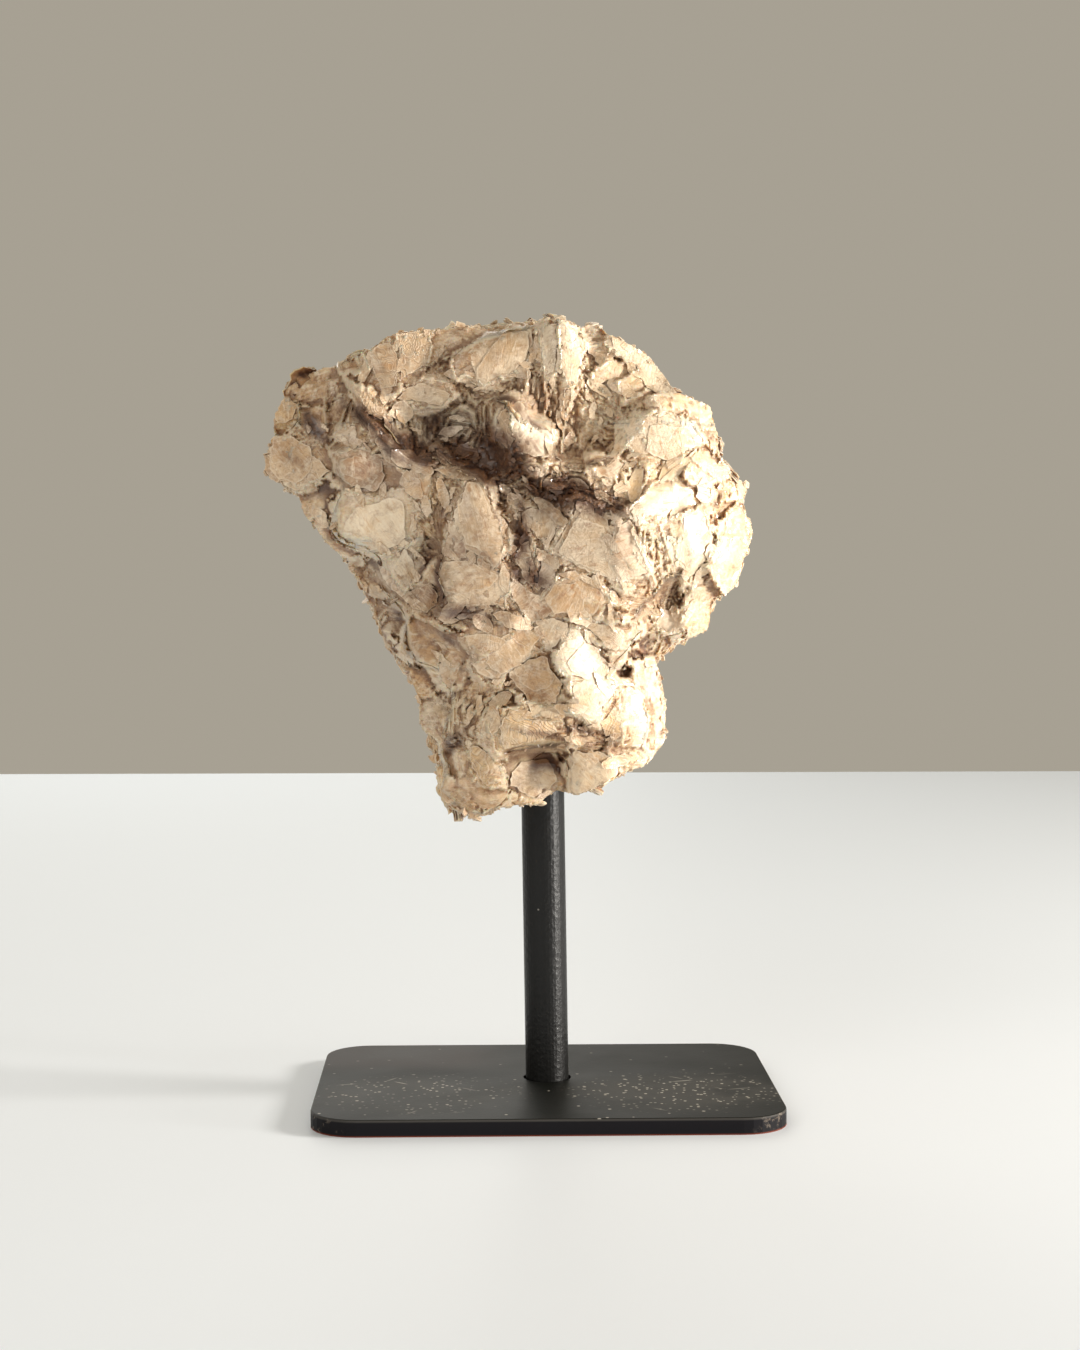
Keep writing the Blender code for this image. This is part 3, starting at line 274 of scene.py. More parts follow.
        (-32.7, 117), (-30.2, 120.9), (-27.7, 118.3), (-28.4, 114.6), (-30, 111.3),
        (-32.4, 114))),
    ("curved_lip", "grey", "smooth", (-14, 16), 1, (
        (-23.9, 109.6), (-20, 107.6), (-14.6, 107.9), (-11, 108.2), (-12.6, 105.9),
        (-18.8, 105.9), (-22.6, 107))),
    ("left_grey_lump", "grey", "rough", (-36, -4), 2, (
        (-27.6, 85.6), (-26.8, 89.4), (-22.2, 88.8), (-21.6, 85.2), (-23, 81.4), (-26.6, 82))),
    ("left_tan_lump", "tan", "rough", (-38, 8), 1, (
        (-30.4, 96), (-28.2, 96.8), (-24.4, 94.6), (-24.8, 90.4), (-28.2, 90), (-29.4, 93.2))),
    ("left_low_leaf", "white", "smooth", (-20, -12), 1, (
        (-24.2, 77.6), (-22, 79.6), (-20, 77), (-18.4, 71.6), (-20.4, 72.4))),
    ("scallops_high", "golden", "streaky", (4, -12), 3, (
        (-12.4, 84), (-10, 88), (-4.4, 86), (3.2, 86.6), (4.7, 82.6), (3.6, 79.2), (-2, 78.6),
        (-11, 77.6))),
    ("cream_band", "cream", "smooth", (6, 4), 1, (
        (-5.6, 89), (-1, 87.6), (3.6, 88.4), (3.6, 86.2), (-3.6, 85.9))),
    ("scallops_low", "golden", "streaky", (-8, -10), 3, (
        (-17, 79.4), (-14.6, 79.6), (-9.2, 74.4), (-8.4, 70.2), (-14, 70.6), (-16.4, 74.6))),
    ("bottom_leaf", "rose", "smooth", (-14, -26), 2, (
        (-23.6, 70), (-21.6, 73.4), (-15, 72), (-9, 70.5), (-8.7, 68.2), (-12.2, 65.2),
        (-14.6, 64.2), (-20, 66.6))),
    ("bulge_outer", "white", "rough", (48, -10), 2, (
        (18.6, 97), (23.6, 96.4), (24, 92.8), (25.2, 88), (24.8, 85), (25.1, 81), (23.8, 78.2),
        (20.4, 77.6), (20.4, 86), (18.4, 92.6))),
    ("bulge_inner", "white", "smooth", (30, -8), 2, (
        (14.4, 91), (17, 92.2), (19.6, 90.2), (21.4, 84), (20.2, 79), (16.6, 79.6),
        (14.8, 83.6))),
    ("amber_flank", "golden", "streaky", (-16, -10), 1, (
        (10.8, 84), (14.2, 90.6), (14.8, 84.6), (16.4, 81.4), (12, 81.4))),
    ("tan_bottom_leaf", "cream", "smooth", (8, -14), 1, (
        (4.5, 79.2), (9, 78.6), (15.2, 76), (14.2, 71.6), (11.5, 70.4), (4.4, 67.6), (3.7, 72))),
    ("bottom_rim", "white", "rough", (34, -20), 2, (
        (14, 79.6), (20, 79), (24, 78.6), (21.4, 76), (19, 74.1), (16.4, 74), (14, 71.8),
        (12.6, 75))),
    ("golden_chip", "golden", "smooth", (-40, 0), 1, (
        (-52.5, 131.5), (-51.5, 132), (-50.5, 131), (-51.3, 128.8), (-52.3, 128.8))),
    ("nose_lump", "tan", "rough", (-30, -10), 1, (
        (-59.5, 138), (-58.5, 141), (-56, 141.5), (-54.5, 139.5), (-54.5, 136), (-56.5, 134),
        (-59, 135.5))),
    ("nose_streaks", "cream", "streaky", (-16, -14), 2, (
        (-54.5, 141), (-51, 143), (-46, 141.5), (-45, 137), (-47, 135), (-50, 134.5), (-53, 134),
        (-54.5, 136.5))),
    ("amber_edge", "golden", "rough", (-36, 10), 1, (
        (-58, 146.5), (-57.5, 149.5), (-56.5, 151), (-55, 151.8), (-53.5, 151.5), (-50.5, 150.2),
        (-52.5, 149.5), (-53, 148), (-54, 147), (-55, 147), (-57, 145.5))),
    ("nose_top", "cream", "streaky", (-20, 10), 1, (
        (-58, 146), (-57, 145.3), (-55, 144), (-52.5, 142.7), (-54, 142), (-57, 143),
        (-58.3, 144.5))),
    ("white_rag", "white", "rough", (-6, 20), 1, (
        (-45, 137), (-43, 136), (-40, 133.3), (-43, 133), (-45, 134.5))),
    ("pocket_plate", "grey", "smooth", (10, 10), 1, (
        (-44.5, 155.3), (-42.5, 155), (-41.5, 153), (-43.5, 152.5))),
    ("small_white_wedge", "white", "smooth", (10, 20), 1, (
        (-33, 143.8), (-32, 144.8), (-30.7, 144.5), (-31, 143), (-31.8, 142.8))),
    ("thin_pale_rim", "cream", "smooth", (30, 26), 1, (
        (-31.5, 143.2), (-30.5, 142.5), (-28.3, 138.8), (-29.3, 139))),
    ("tall_strip", "tan", "streaky", (36, 0), 1, (
        (-10.5, 129), (-9, 126), (-8.2, 121), (-9.2, 118), (-9.8, 122), (-10.4, 126))),
    ("wide_lip", "cream", "smooth", (-2, -30), 1, (
        (-22, 111.3), (-19, 109), (-15, 108.5), (-11, 109.3), (-10.8, 110.2), (-15, 110),
        (-19, 110.6))),
    ("sliver", "grey", "smooth", (20, 6), 1, (
        (-9, 128), (-8, 128.3), (-6.5, 127), (-7, 124.5), (-8, 124))),
    ("shelf_light", "white", "smooth", (10, 30), 1, (
        (-4.3, 138.4), (-2.5, 138.7), (-1, 138), (-2.6, 137.4))),
    ("white_cup", "white", "smooth", (14, 34), 1, (
        (0.5, 134.8), (1.5, 134), (3, 134.2), (4.8, 134.5), (3.5, 135), (2, 135))),
    ("wedge_brown", "brown", "smooth", (-24, 4), 1, (
        (-10.3, 148.5), (-9, 150), (-8, 149.3), (-8.2, 147), (-10, 146.7))),
    ("fold_golden", "golden", "streaky", (-30, 10), 1, (
        (-4, 160.5), (-2.5, 165.5), (-1.2, 166), (-1.3, 160), (-0.8, 157))),
    ("amber_hollow", "brown", "rough", (20, -30), 1, (
        (7.5, 164), (9.5, 163.5), (11, 163), (12.5, 161.8), (14, 163), (14, 161), (15, 160),
        (12, 160), (9, 160.3), (8, 161))),
    ("amber_low", "golden", "smooth", (26, 10), 1, (
        (16, 151.5), (20, 154.5), (23.5, 154), (20, 152), (17.5, 150.8))),
    ("white_fold", "white", "smooth", (20, 20), 1, (
        (7, 149.3), (9, 149.8), (10.5, 149.3), (11.5, 147.5), (10.3, 146.7), (8.5, 147.5))),
    ("dome_gold", "golden", "rough", (34, -10), 1, (
        (25, 140.4), (26, 146.4), (30, 146.6), (32, 143), (29.4, 141.2))),
    ("v_pink", "rose", "smooth", (-10, 10), 1, (
        (13.8, 134.5), (14.8, 135.7), (15.5, 134.5), (17.2, 130.8), (16.3, 130.5))),
    ("v_white", "white", "smooth", (24, 16), 1, (
        (19, 133), (21, 136), (22.8, 137.5), (23.8, 138), (22, 135.5), (21, 134), (19.5, 131))),
    ("v_amber", "golden", "smooth", (-6, 10), 1, (
        (23, 138), (26, 139.5), (28, 140), (28.5, 139), (26, 137), (23, 134.8), (21.5, 134.5))),
    ("lens_mark", "cream", "smooth", (50, 0), 1, (
        (31.8, 122.2), (32.4, 123.7), (33.6, 124), (34.8, 123.4), (35.1, 122), (34.6, 120.8),
        (33.3, 120.4), (32.2, 120.9))),
    ("low_amber", "golden", "rough", (44, -16), 1, (
        (29.5, 108), (33, 108.5), (34.5, 105.5), (34.2, 104), (33.5, 102.8), (32, 102.3),
        (30.5, 102.5), (29.5, 101))),
    ("small_amber", "golden", "smooth", (24, 0), 1, (
        (26.5, 101.8), (28.5, 103), (29.5, 104.8), (29.5, 102.5), (28, 101.5))),
    ("low_brown_leaf", "brown", "smooth", (-14, -8), 1, (
        (-19, 78.5), (-17.5, 78), (-16.3, 76), (-17, 73.5), (-18.8, 73.8), (-19.3, 76))),
    ("low_rose_leaf", "rose", "smooth", (-10, -24), 1, (
        (-17, 70.5), (-14, 71.5), (-9, 70.3), (-8.5, 69), (-9.5, 67.5), (-12, 65.5), (-14, 66.5),
        (-16, 68.5))),
    ("facet_high", "white", "smooth", (20, 12), 1, (
        (-32.5, 117.5), (-32, 119.5), (-30, 120.8), (-28.5, 120.3), (-27.8, 118.3), (-30, 116.8),
        (-32, 116.5))),
    ("facet_low", "white", "smooth", (16, -4), 1, (
        (-32.5, 116.3), (-30.5, 116.9), (-29, 116), (-28.3, 114.5), (-30, 111.5), (-31.5, 113.5),
        (-32.7, 115))),
    ("brown_dart", "brown", "smooth", (6, -10), 1, (
        (-29.5, 117), (-27.5, 117.8), (-25.7, 117.9), (-26.3, 116.3), (-27.5, 115.5),
        (-28.5, 115.7))),
    ("low_slope", "brown", "rough", (-4, -20), 1, (
        (-29.8, 111), (-28, 112.3), (-25, 113.5), (-23.5, 112), (-21, 110.5), (-21, 109.5),
        (-24, 108.5), (-26, 108), (-28.5, 109.5))),
    ("curved_grey", "grey", "smooth", (-10, 14), 1, (
        (-23.8, 109.5), (-22, 109.3), (-20, 107.5), (-19, 106.7), (-21, 106.6), (-22.5, 107.3))),
    ("nodule_left", "white", "smooth", (0, 10), 1, (
        (-4, 104.5), (-3.2, 105.6), (-2.2, 105.4), (-2.4, 104.4))),
    ("nodule_right", "white", "smooth", (8, 10), 1, (
        (-1.8, 105.2), (-1, 106.2), (0, 105.6), (-0.6, 104.8))),
    ("front_flake", "cream", "smooth", (4, 8), 1, (
        (-10, 75), (-8, 77.5), (-5, 78.5), (-1, 78.3), (0.3, 78), (2, 74.5), (3, 72), (1.5, 70.7),
        (1, 69.2), (-1, 70), (-1.2, 67.2), (-3, 66.8), (-5.5, 68), (-8, 70), (-9.8, 70.5))),
    ("fold_left", "white", "smooth", (-16, 20), 1, (
        (-1.2, 166), (-0.5, 167.5), (1, 167.3), (1.8, 165), (1.5, 160), (1.2, 157.5),
        (-0.5, 156.8), (-1.3, 159))),
    ("fold_right", "cream", "smooth", (12, 20), 1, (
        (2, 169), (5, 168.5), (6.8, 167.3), (7.5, 163), (7, 159), (6.3, 154), (4, 155.5),
        (3.2, 157.5), (3.3, 162), (2.3, 165))),
    ("fan_gold", "golden", "streaky", (20, 10), 1, (
        (17.8, 137.8), (20, 137.5), (20.5, 136.5), (19.5, 133), (18.8, 131), (17.3, 130.8),
        (16.8, 133), (17.5, 136))),
    ("fan_tip", "white", "smooth", (24, 16), 1, (
        (28.5, 139.8), (31, 141.5), (32, 142), (30, 139.3), (27, 136), (25.5, 135),
        (24, 135.3))),
    ("golden_curve", "golden", "smooth", (30, 6), 1, (
        (33.8, 126.3), (36, 127), (38, 129.5), (39.5, 133), (39.6, 135), (38.7, 135.5),
        (38, 132.5), (36.8, 130), (35, 127.8))),
    ("lip_shelf", "white", "smooth", (-10, 30), 1, (
        (-20, 107), (-15, 107.3), (-12, 108.8), (-11, 108), (-12.5, 106), (-15, 106.3),
        (-18.5, 106.2))),
    ("ridge_high", "white", "streaky", (-20, 20), 0, (
        (-50.8, 126.6), (-47, 130.2), (-43.5, 133), (-43, 132.2), (-46.6, 128.8),
        (-50, 125.6))),
    ("ridge_low", "white", "streaky", (-20, 20), 0, (
        (-38.4, 119.4), (-35, 116.6), (-31.5, 112.6), (-27, 107.8), (-22, 105.6), (-17.8, 103.4),
        (-18, 102.4), (-22.4, 104.4), (-27.6, 106.4), (-32, 111.2), (-36, 115.6))),
    ("lilac_patch", "lilac", "smooth", (-14, -6), 1, (
        (-23.2, 97), (-22, 97.2), (-20, 97), (-18.7, 96.5), (-18.5, 93), (-20.3, 91.5),
        (-21.5, 92), (-22.8, 93.8))),
)

# Books seen on their edges: name, tint, the leaves' slope in degrees or the point
# that they fan out from, spacing and outline.
EDGE_BOOKS = (
    ("pleats", "tan", 90, 0.53, (
        (-48, 156), (-45.5, 155.8), (-45, 153), (-45.3, 149), (-45.8, 146), (-47, 146.5),
        (-47.8, 150), (-48, 153))),
    ("nose_books", "cream", -42, 0.53, (
        (-54.5, 147), (-52, 147), (-50.5, 145), (-47, 143), (-45, 142), (-48, 141.5), (-52, 143),
        (-54, 144.5))),
    ("diagonal_books", "brown", -47, 0.63, (
        (-39.8, 149), (-37.6, 149), (-33, 145), (-28.6, 139), (-29, 137), (-32, 138.8),
        (-36.6, 142.6), (-39.2, 146.5))),
    ("fan_ribs", "cream", (-33, 147), 0.99, (
        (-44, 158.3), (-39.5, 161.8), (-36, 163.6), (-33.5, 165), (-30, 165.8), (-26.5, 166.2),
        (-25.5, 164), (-29, 161), (-34, 159.4), (-38, 157), (-42, 156))),
    ("hollow_ribs", "brown", 86, 0.53, (
        (-7, 157), (-5, 158.3), (-3.5, 157), (-0.5, 156.5), (1, 156.5), (1.2, 150), (0, 146),
        (-1, 149), (-3, 150.5), (-4, 149.5), (-5.5, 151.5), (-7, 152))),
    ("dark_gap", "brown", 80, 0.59, (
        (1.5, 157), (3, 157.5), (5, 154), (6, 151), (6.5, 148), (6, 144), (5, 141.5), (3, 140.5),
        (1, 141), (0.5, 146), (1, 151))),
    ("column_ribs", "golden", 84, 0.59, (
        (-24.8, 134.8), (-23, 134.6), (-21.6, 130), (-20.2, 125.6), (-21.5, 121.4), (-23, 122.2),
        (-25, 127.6))),
    ("shelf_books", "tan", -12, 0.53, (
        (-10, 139.6), (-6.6, 140.9), (0.4, 139.6), (4.4, 139.6), (0.4, 136.4), (-2.6, 135.6),
        (-6.8, 137.8))),
    ("mid_books", "brown", -22, 0.49, (
        (2.4, 133.4), (5.4, 134.8), (10.6, 132.6), (16.4, 130.6), (15.6, 128.2), (9.8, 128.9),
        (4, 131.4))),
    ("right_books", "tan", -20, 0.49, (
        (11.6, 110), (16, 112.4), (21.6, 113.6), (19.6, 108), (16.8, 106), (13, 107.4))),
    ("spikes_long", "cream", -68, 0.66, (
        (17, 127.2), (19.4, 127), (21.8, 120), (23.9, 112.6), (23.6, 110.4), (20.6, 112.2),
        (17.4, 119.4))),
    ("spikes_short", "cream", -72, 0.66, (
        (21.4, 126.4), (24.8, 126.2), (25.6, 120.4), (27.6, 114), (25.6, 114.4), (23, 121))),
    ("curved_ribs", "golden", 60, 0.53, (
        (34.5, 128), (36, 129), (37.5, 132), (37.8, 134), (36.5, 134), (35, 131))),
    ("small_books", "cream", -50, 0.46, (
        (-10.6, 110), (-9.2, 110.3), (-6.4, 106.2), (-7.9, 105.6), (-9.6, 107.4))),
    ("low_diagonal", "tan", 45, 0.53, (
        (-17.4, 87), (-13, 91), (-10, 91.2), (-11.4, 86.4), (-15, 82.6), (-17, 84))),
    ("pale_fan", "cream", (-19.3, 95), 0.56, (
        (-20.2, 92.6), (-18.4, 92.4), (-18, 84), (-19.4, 79.8), (-23.3, 80.8), (-21.2, 87))),
    ("scallops_high", "golden", -5, 0.63, (
        (-12.4, 84), (-10, 88), (-4.4, 86), (3.2, 86.6), (4.7, 82.6), (3.6, 79.2), (-2, 78.6),
        (-11, 77.6))),
    ("curly_books", "tan", -6, 0.46, (
        (4.6, 83.6), (9, 83.6), (13.6, 81.4), (15, 79.6), (9, 77.6), (4.2, 79.2))),
    ("bottom_left", "tan", -45, 0.49, (
        (-22, 73.5), (-20, 71.5), (-17, 69.5), (-15, 67), (-13.5, 65), (-16, 64.5), (-18, 66),
        (-20.5, 67), (-23.5, 70))),
)

# Which way the leaves between the books run: a place on the front and the slope
# in degrees.
FLOWS = (
    ((-52, 147), -42), ((-36, 140), -42), ((-30, 158), 74), ((-24, 147), -30), ((-9, 162), 8),
    ((-1, 151), 84), ((-12, 141), -24), ((14, 157), -36), ((6, 145), 76), ((24, 141), 32),
    ((8, 131), -18), ((36, 129), 62), ((23, 119), -70), ((-22, 128), 84), ((-6, 122), 84),
    ((2, 113), -40), ((-48, 128), -52), ((-34, 110), -46), ((-26, 101), -50), ((-18, 107), -14),
    ((0, 96), -30), ((16, 97), -42), ((33, 113), 64), ((-18, 87), 68), ((-5, 90), 10),
    ((-3, 80), -4), ((11, 80), -8), ((21, 88), -74), ((-14, 71), -40), ((14, 74), 20),
)

# Stained spots of the front, with spots of painted shade and of painted highlight
# among them: name, tint, middle, reach along and across, turn in degrees, how deep a
# hollow of painted shade it is coloured as (below 0, how much of that shade it takes
# away, with a higher relief), and how far its tint covers the mica.
STAINS_SHADE_AND_LIGHT = (
    # Painted shade of the valley and its pocket, in brown and umber.
    ("valley_left", "brown", (-35.0, 145.0), (6.5, 2.4), -50, 0.7, 0.85),
    ("valley_bend", "umber", (-27.5, 141.0), (6.0, 2.6), -30, 0.8, 0.85),
    ("valley_mid", "umber", (-13.0, 139.0), (11.0, 3.0), -12, 0.95, 0.9),
    ("valley_wall", "smoke", (-9.0, 142.5), (9.0, 3.0), -14, 0.6, 0.8),
    ("valley_right", "umber", (4.0, 131.8), (11.0, 2.6), -16, 0.9, 0.85),
    ("pocket", "umber", (-23.0, 146.5), (2.6, 2.2), 0, 0.6, 0.7),
    ("smoke_high", "smoke", (-22.5, 146.0), (5.0, 4.0), 0, 0.45, 0.7),
    ("smoke_mid", "smoke", (-15.0, 148.0), (6.5, 5.0), -20, 0.25, 0.5),
    ("smoke_right", "smoke", (0.5, 129.0), (5.0, 3.0), -10, 0.45, 0.5),
    # Painted shade on the slope.
    ("silky_slope", "brown", (-36.0, 137.5), (7.0, 3.6), -28, 0.35, 0.6),
    ("column", "golden", (-22.6, 127.5), (7.0, 2.2), 84, 0.35, 0.7),
    # Painted shade in the clefts and under the leaf.
    ("cleft_mid", "umber", (-6.2, 122.0), (8.0, 1.5), 84, 0.7, 0.7),
    ("cleft_low", "brown", (-3.0, 115.5), (4.0, 2.0), -50, 0.6, 0.6),
    ("under_leaf", "brown", (-18.0, 107.5), (9.0, 1.8), -10, 0.55, 0.6),
    ("hollow_fibres", "amber", (-1.0, 151.0), (7.0, 4.5), 80, 0.4, 0.8),
    ("amber_high", "amber", (14.5, 156.0), (7.0, 4.0), -30, 0.05, 0.6),
    ("amber_mid", "amber", (7.5, 144.0), (6.0, 4.5), 70, 0.2, 0.6),
    ("amber_dome", "golden", (21.0, 143.0), (7.0, 5.0), 0, 0.05, 0.55),
    ("amber_fan", "amber", (27.0, 138.0), (9.0, 3.5), 30, 0.1, 0.6),
    ("amber_edge", "amber", (34.5, 131.0), (6.0, 4.5), 60, 0.1, 0.6),
    ("right_books", "golden", (24.0, 119.0), (8.0, 4.0), -70, 0.1, 0.5),
    ("right_low", "amber", (23.5, 109.0), (6.0, 4.0), 0, 0.3, 0.7),
    ("right_rim", "golden", (34.0, 112.0), (8.0, 4.5), 60, 0.0, 0.5),
    ("notch", "tan", (15.0, 96.0), (6.0, 2.6), -40, 0.0, 0.6),
    ("curls", "amber", (9.5, 80.5), (7.0, 3.5), -8, 0.4, 0.8),
    ("low_golden", "golden", (-6.0, 80.0), (10.0, 6.0), 0, 0.15, 0.7),
    ("foot_golden", "golden", (-12.0, 72.0), (9.0, 5.0), -20, 0.1, 0.5),
    ("left_crust", "smoke", (-34.5, 110.0), (9.0, 4.5), -55, 0.25, 0.45),
    ("left_golden", "golden", (-26.5, 101.0), (7.0, 4.0), -45, 0.25, 0.6),
    ("left_edge", "amber", (-37.5, 112.0), (6.0, 1.6), -60, 0.1, 0.5),
    ("nose_golden", "golden", (-50.5, 147.0), (6.0, 4.0), -40, 0.2, 0.55),
    ("nose_stain", "brown", (-52.5, 139.0), (3.5, 2.0), -60, 0.35, 0.5),
    ("fan_rose", "rose", (-29.5, 158.0), (8.0, 5.0), 20, 0.05, 0.6),
    # Painted shade over the roof, the nose, the centre and the fan.
    ("roof_shade", "brown", (-13.5, 161.0), (13.0, 5.5), 10, 0.05, 0.75),
    ("nose_shade", "brown", (-47.5, 145.5), (9.0, 8.0), 0, 0.2, 0.5),
    ("centre_shade", "brown", (-15.0, 122.0), (15.0, 9.0), 84, 0.28, 0.8),
    ("fan_shade", "brown", (8.0, 118.0), (9.0, 9.0), 0, 0.06, 0.45),
    # Painted shade in the gaps between books.
    ("nose_gap", "umber", (-49.0, 146.5), (6.5, 1.2), -40, 0.6, 0.75),
    ("nose_fold", "brown", (-54.0, 139.5), (3.0, 1.0), -50, 0.4, 0.6),
    ("book_gap_high", "umber", (-37.0, 146.0), (7.0, 1.2), -45, 0.65, 0.8),
    ("book_gap_low", "umber", (-34.0, 142.5), (6.0, 1.0), -45, 0.7, 0.8),
    ("foot_gap", "umber", (-20.0, 78.5), (6.0, 1.1), 62, 0.5, 0.7),
    ("scallop_gap", "brown", (-3.0, 82.0), (9.0, 1.0), -5, 0.5, 0.6),
    ("curl_gap", "brown", (8.0, 82.5), (7.0, 1.2), -10, 0.5, 0.6),
    # Painted highlights and light, in white and cream; those below 0 depth lessen the painted
    # shade.
    ("left_plate", "white", (-37.5, 126.5), (7.5, 5.5), 0, 0.0, 0.75),
    ("left_tip", "white", (-29.0, 118.0), (4.0, 3.0), -40, 0.0, 0.7),
    ("valley_lip", "white", (-3.0, 145.0), (4.5, 6.0), 20, 0.0, 0.85),
    ("low_light", "cream", (-6.0, 77.0), (11.0, 7.0), 0, 0.0, 0.5),
    ("right_light", "white", (29.0, 123.0), (12.0, 12.0), 0, -0.2, 0.5),
    ("high_light", "white", (19.0, 150.0), (11.0, 7.0), -30, -0.3, 0.5),
    ("crown_light", "white", (3.0, 162.0), (4.5, 6.0), 0, 0.0, 0.6),
    # Painted shade over the low left.
    ("low_shade", "brown", (-16.0, 99.0), (15.0, 7.0), -10, 0.16, 0.5),
)

# How much of each kind of marking a surface shows: streaks and crumbs.
SURFACES = {
    "smooth": (0.15, 0.1),
    "streaky": (0.9, 0.25),
    "rough": (0.3, 0.9),
    "cracked": (0.35, 0.4),
}

# Tints that the strewn books and the heart take, with how often each comes.
STREWN_TINTS = (
    ("cream", 0.34), ("tan", 0.26), ("white", 0.12), ("golden", 0.12), ("grey", 0.1),
    ("brown", 0.06),
)


# ---- settings --------------------------------------------------------------
def linear(red, green, blue):
    """A colour from its usual display values to linear light."""
    return tuple(((c + 0.055) / 1.055) ** 2.4 if c > 0.04045 else c / 12.92
                 for c in (red, green, blue))


def colour(name, description, value):
    """A colour setting."""
    return FloatVectorProperty(name=name, description=description, default=linear(*value),
                               subtype="COLOR", size=3, min=0.0, max=1.0)


def length(name, description, value):
    """A length setting, in metres."""
    return FloatProperty(name=name, description=description, default=value * MM,
                         subtype="DISTANCE", unit="LENGTH", min=0.0, precision=4)


class MicaTints(bpy.types.PropertyGroup):
    """Colours of the mica."""

    white: colour("White", "Fresh bright leaves", (0.97, 0.95, 0.92))
    cream: colour("Cream", "Most of the broad leaves", (0.92, 0.87, 0.8))
    tan: colour("Tan", "Weathered leaves", (0.85, 0.74, 0.61))
    golden: colour("Golden", "Iron-stained leaves", (0.88, 0.76, 0.58))
    # Brown also tints the spots of painted shade.
    brown: colour("Brown", "Leaves deep in the hollows", (0.66, 0.52, 0.39))
    grey: colour("Grey", "Silvery leaves", (0.86, 0.82, 0.77))
    lilac: colour("Lilac", "Faintly violet leaves", (0.83, 0.79, 0.77))
    rose: colour("Rose", "Faintly pink leaves", (0.91, 0.82, 0.75))
    amber: colour("Amber", "Honey-coloured leaves", (0.88, 0.72, 0.51))
    # Umber is also painted shade, on the steep walls and in the valley's spots.
    umber: colour("Umber", "Dark stain of the deep hollows", (0.5, 0.39, 0.31))
    smoke: colour("Smoke", "Smoky grey leaves", (0.62, 0.58, 0.55))
    # The broken-edge stain is also laid on as painted shade, where the relief mark is low.
    edge: colour("Broken edge", "Stain between the leaves of a book", (0.66, 0.49, 0.32))
    shade: colour("Shade", "Clouded patches within the leaves", (0.74, 0.64, 0.575))
    warmth: colour("Warmth", "Cast over all of the mica", (1.0, 0.955, 0.875))
    # Painted shade with a brown stain, multiplied over the mica by how shut in each point lies.
    hollow: colour("Hollow", "Stain in the hollows", (0.5, 0.37, 0.26))


class MicaSizes(bpy.types.PropertyGroup):
    """Sizes of the mica's crystals."""

    grain: length("Grain", "Distance between the cleavage blocks of the heart", 5.4)
    mesh_step: length("Mesh step", "Edge length of the heart's mesh", 0.43)
    filling: length("Filling", "How wide a gap between crystals the heart fills", 2.4)
    sink: length("Sink", "How far the heart lies below the solid's skin", 0.7)
    leaf: length("Leaf", "Thickness of one leaf of a book", 0.34)
    strewn_least: length("Smallest strewn book", "Radius of the smallest strewn book", 2.2)
    strewn_most: length("Largest strewn book", "Radius of the largest strewn book", 6.4)
    strewn_count: IntProperty(name="Strewn books", description="Books over the sides and back",
                              default=150, min=0, max=600)
    seed: IntProperty(name="Seed", description="Start of every random draw", default=5, min=0)


class FlakeSizes(bpy.types.PropertyGroup):
    """Sizes of the small flakes."""

    book_gap: length("Small book gap", "Least distance between two small books", 3.2)
    book_least: FloatProperty(name="Smallest small book", default=0.7, min=0.0,
                              description="Radius of the smallest small book, in millimetres")
    book_most: FloatProperty(name="Largest small book", default=1.9, min=0.0,
                             description="Radius of the largest small book, in millimetres")
    crumb_gap: length("Crumb gap", "Least distance between two crumbs", 2.1)
    crumb_least: FloatProperty(name="Smallest crumb", description="Scale of the smallest crumb",
                               default=0.3, min=0.0)
    crumb_most: FloatProperty(name="Largest crumb", description="Scale of the largest crumb",
                              default=0.95, min=0.0)


class PaintFinish(bpy.types.PropertyGroup):
    """Black paint of the plate and the post."""

    # Painted reflection: the top's olive cast and the sides' lighter violet cast stand for
    # reflections on the one black paint.
    plate: colour("Plate", "Matt paint of the plate", (0.058, 0.062, 0.052))
    edge: colour("Plate edge", "Paint of the plate's sides", (0.085, 0.08, 0.095))
    post: colour("Post", "Satin paint of the post", (0.07, 0.07, 0.07))
    smear: colour("Smear", "Dusty smear at the back of the plate", (0.5, 0.43, 0.42))
    rust: colour("Rust", "Line along the plate's lower edge", (0.62, 0.3, 0.2))
    dust: colour("Dust", "Dust lying on the plate", (0.72, 0.7, 0.66))
    worn: colour("Worn edge", "Primer that shows where the paint is worn", (0.55, 0.5, 0.45))


class StageSettings(bpy.types.PropertyGroup):
    """Floor, light and camera."""

    floor: colour("Floor", "Pale floor", (0.9, 0.925, 0.955))
    backdrop: colour("Backdrop", "Plain light all round", (0.76, 0.73, 0.67))
    backdrop_strength: FloatProperty(name="Backdrop strength", default=0.72, min=0.0,
                                     description="Strength of the light all round")
    key_power: FloatProperty(name="Key light", default=8.5, min=0.0, unit="POWER",
                             description="Power of the low light on the right")
    strip_power: FloatProperty(name="Strip light", default=2.3, min=0.0, unit="POWER",
                               description="Power of the tall narrow light on the right")
    fill_power: FloatProperty(name="Fill light", default=3.0, min=0.0, unit="POWER",
                              description="Power of the soft light from the front left")
    rim_power: FloatProperty(name="Back light", default=3.0, min=0.0, unit="POWER",
                             description="Power of the light behind the cluster")


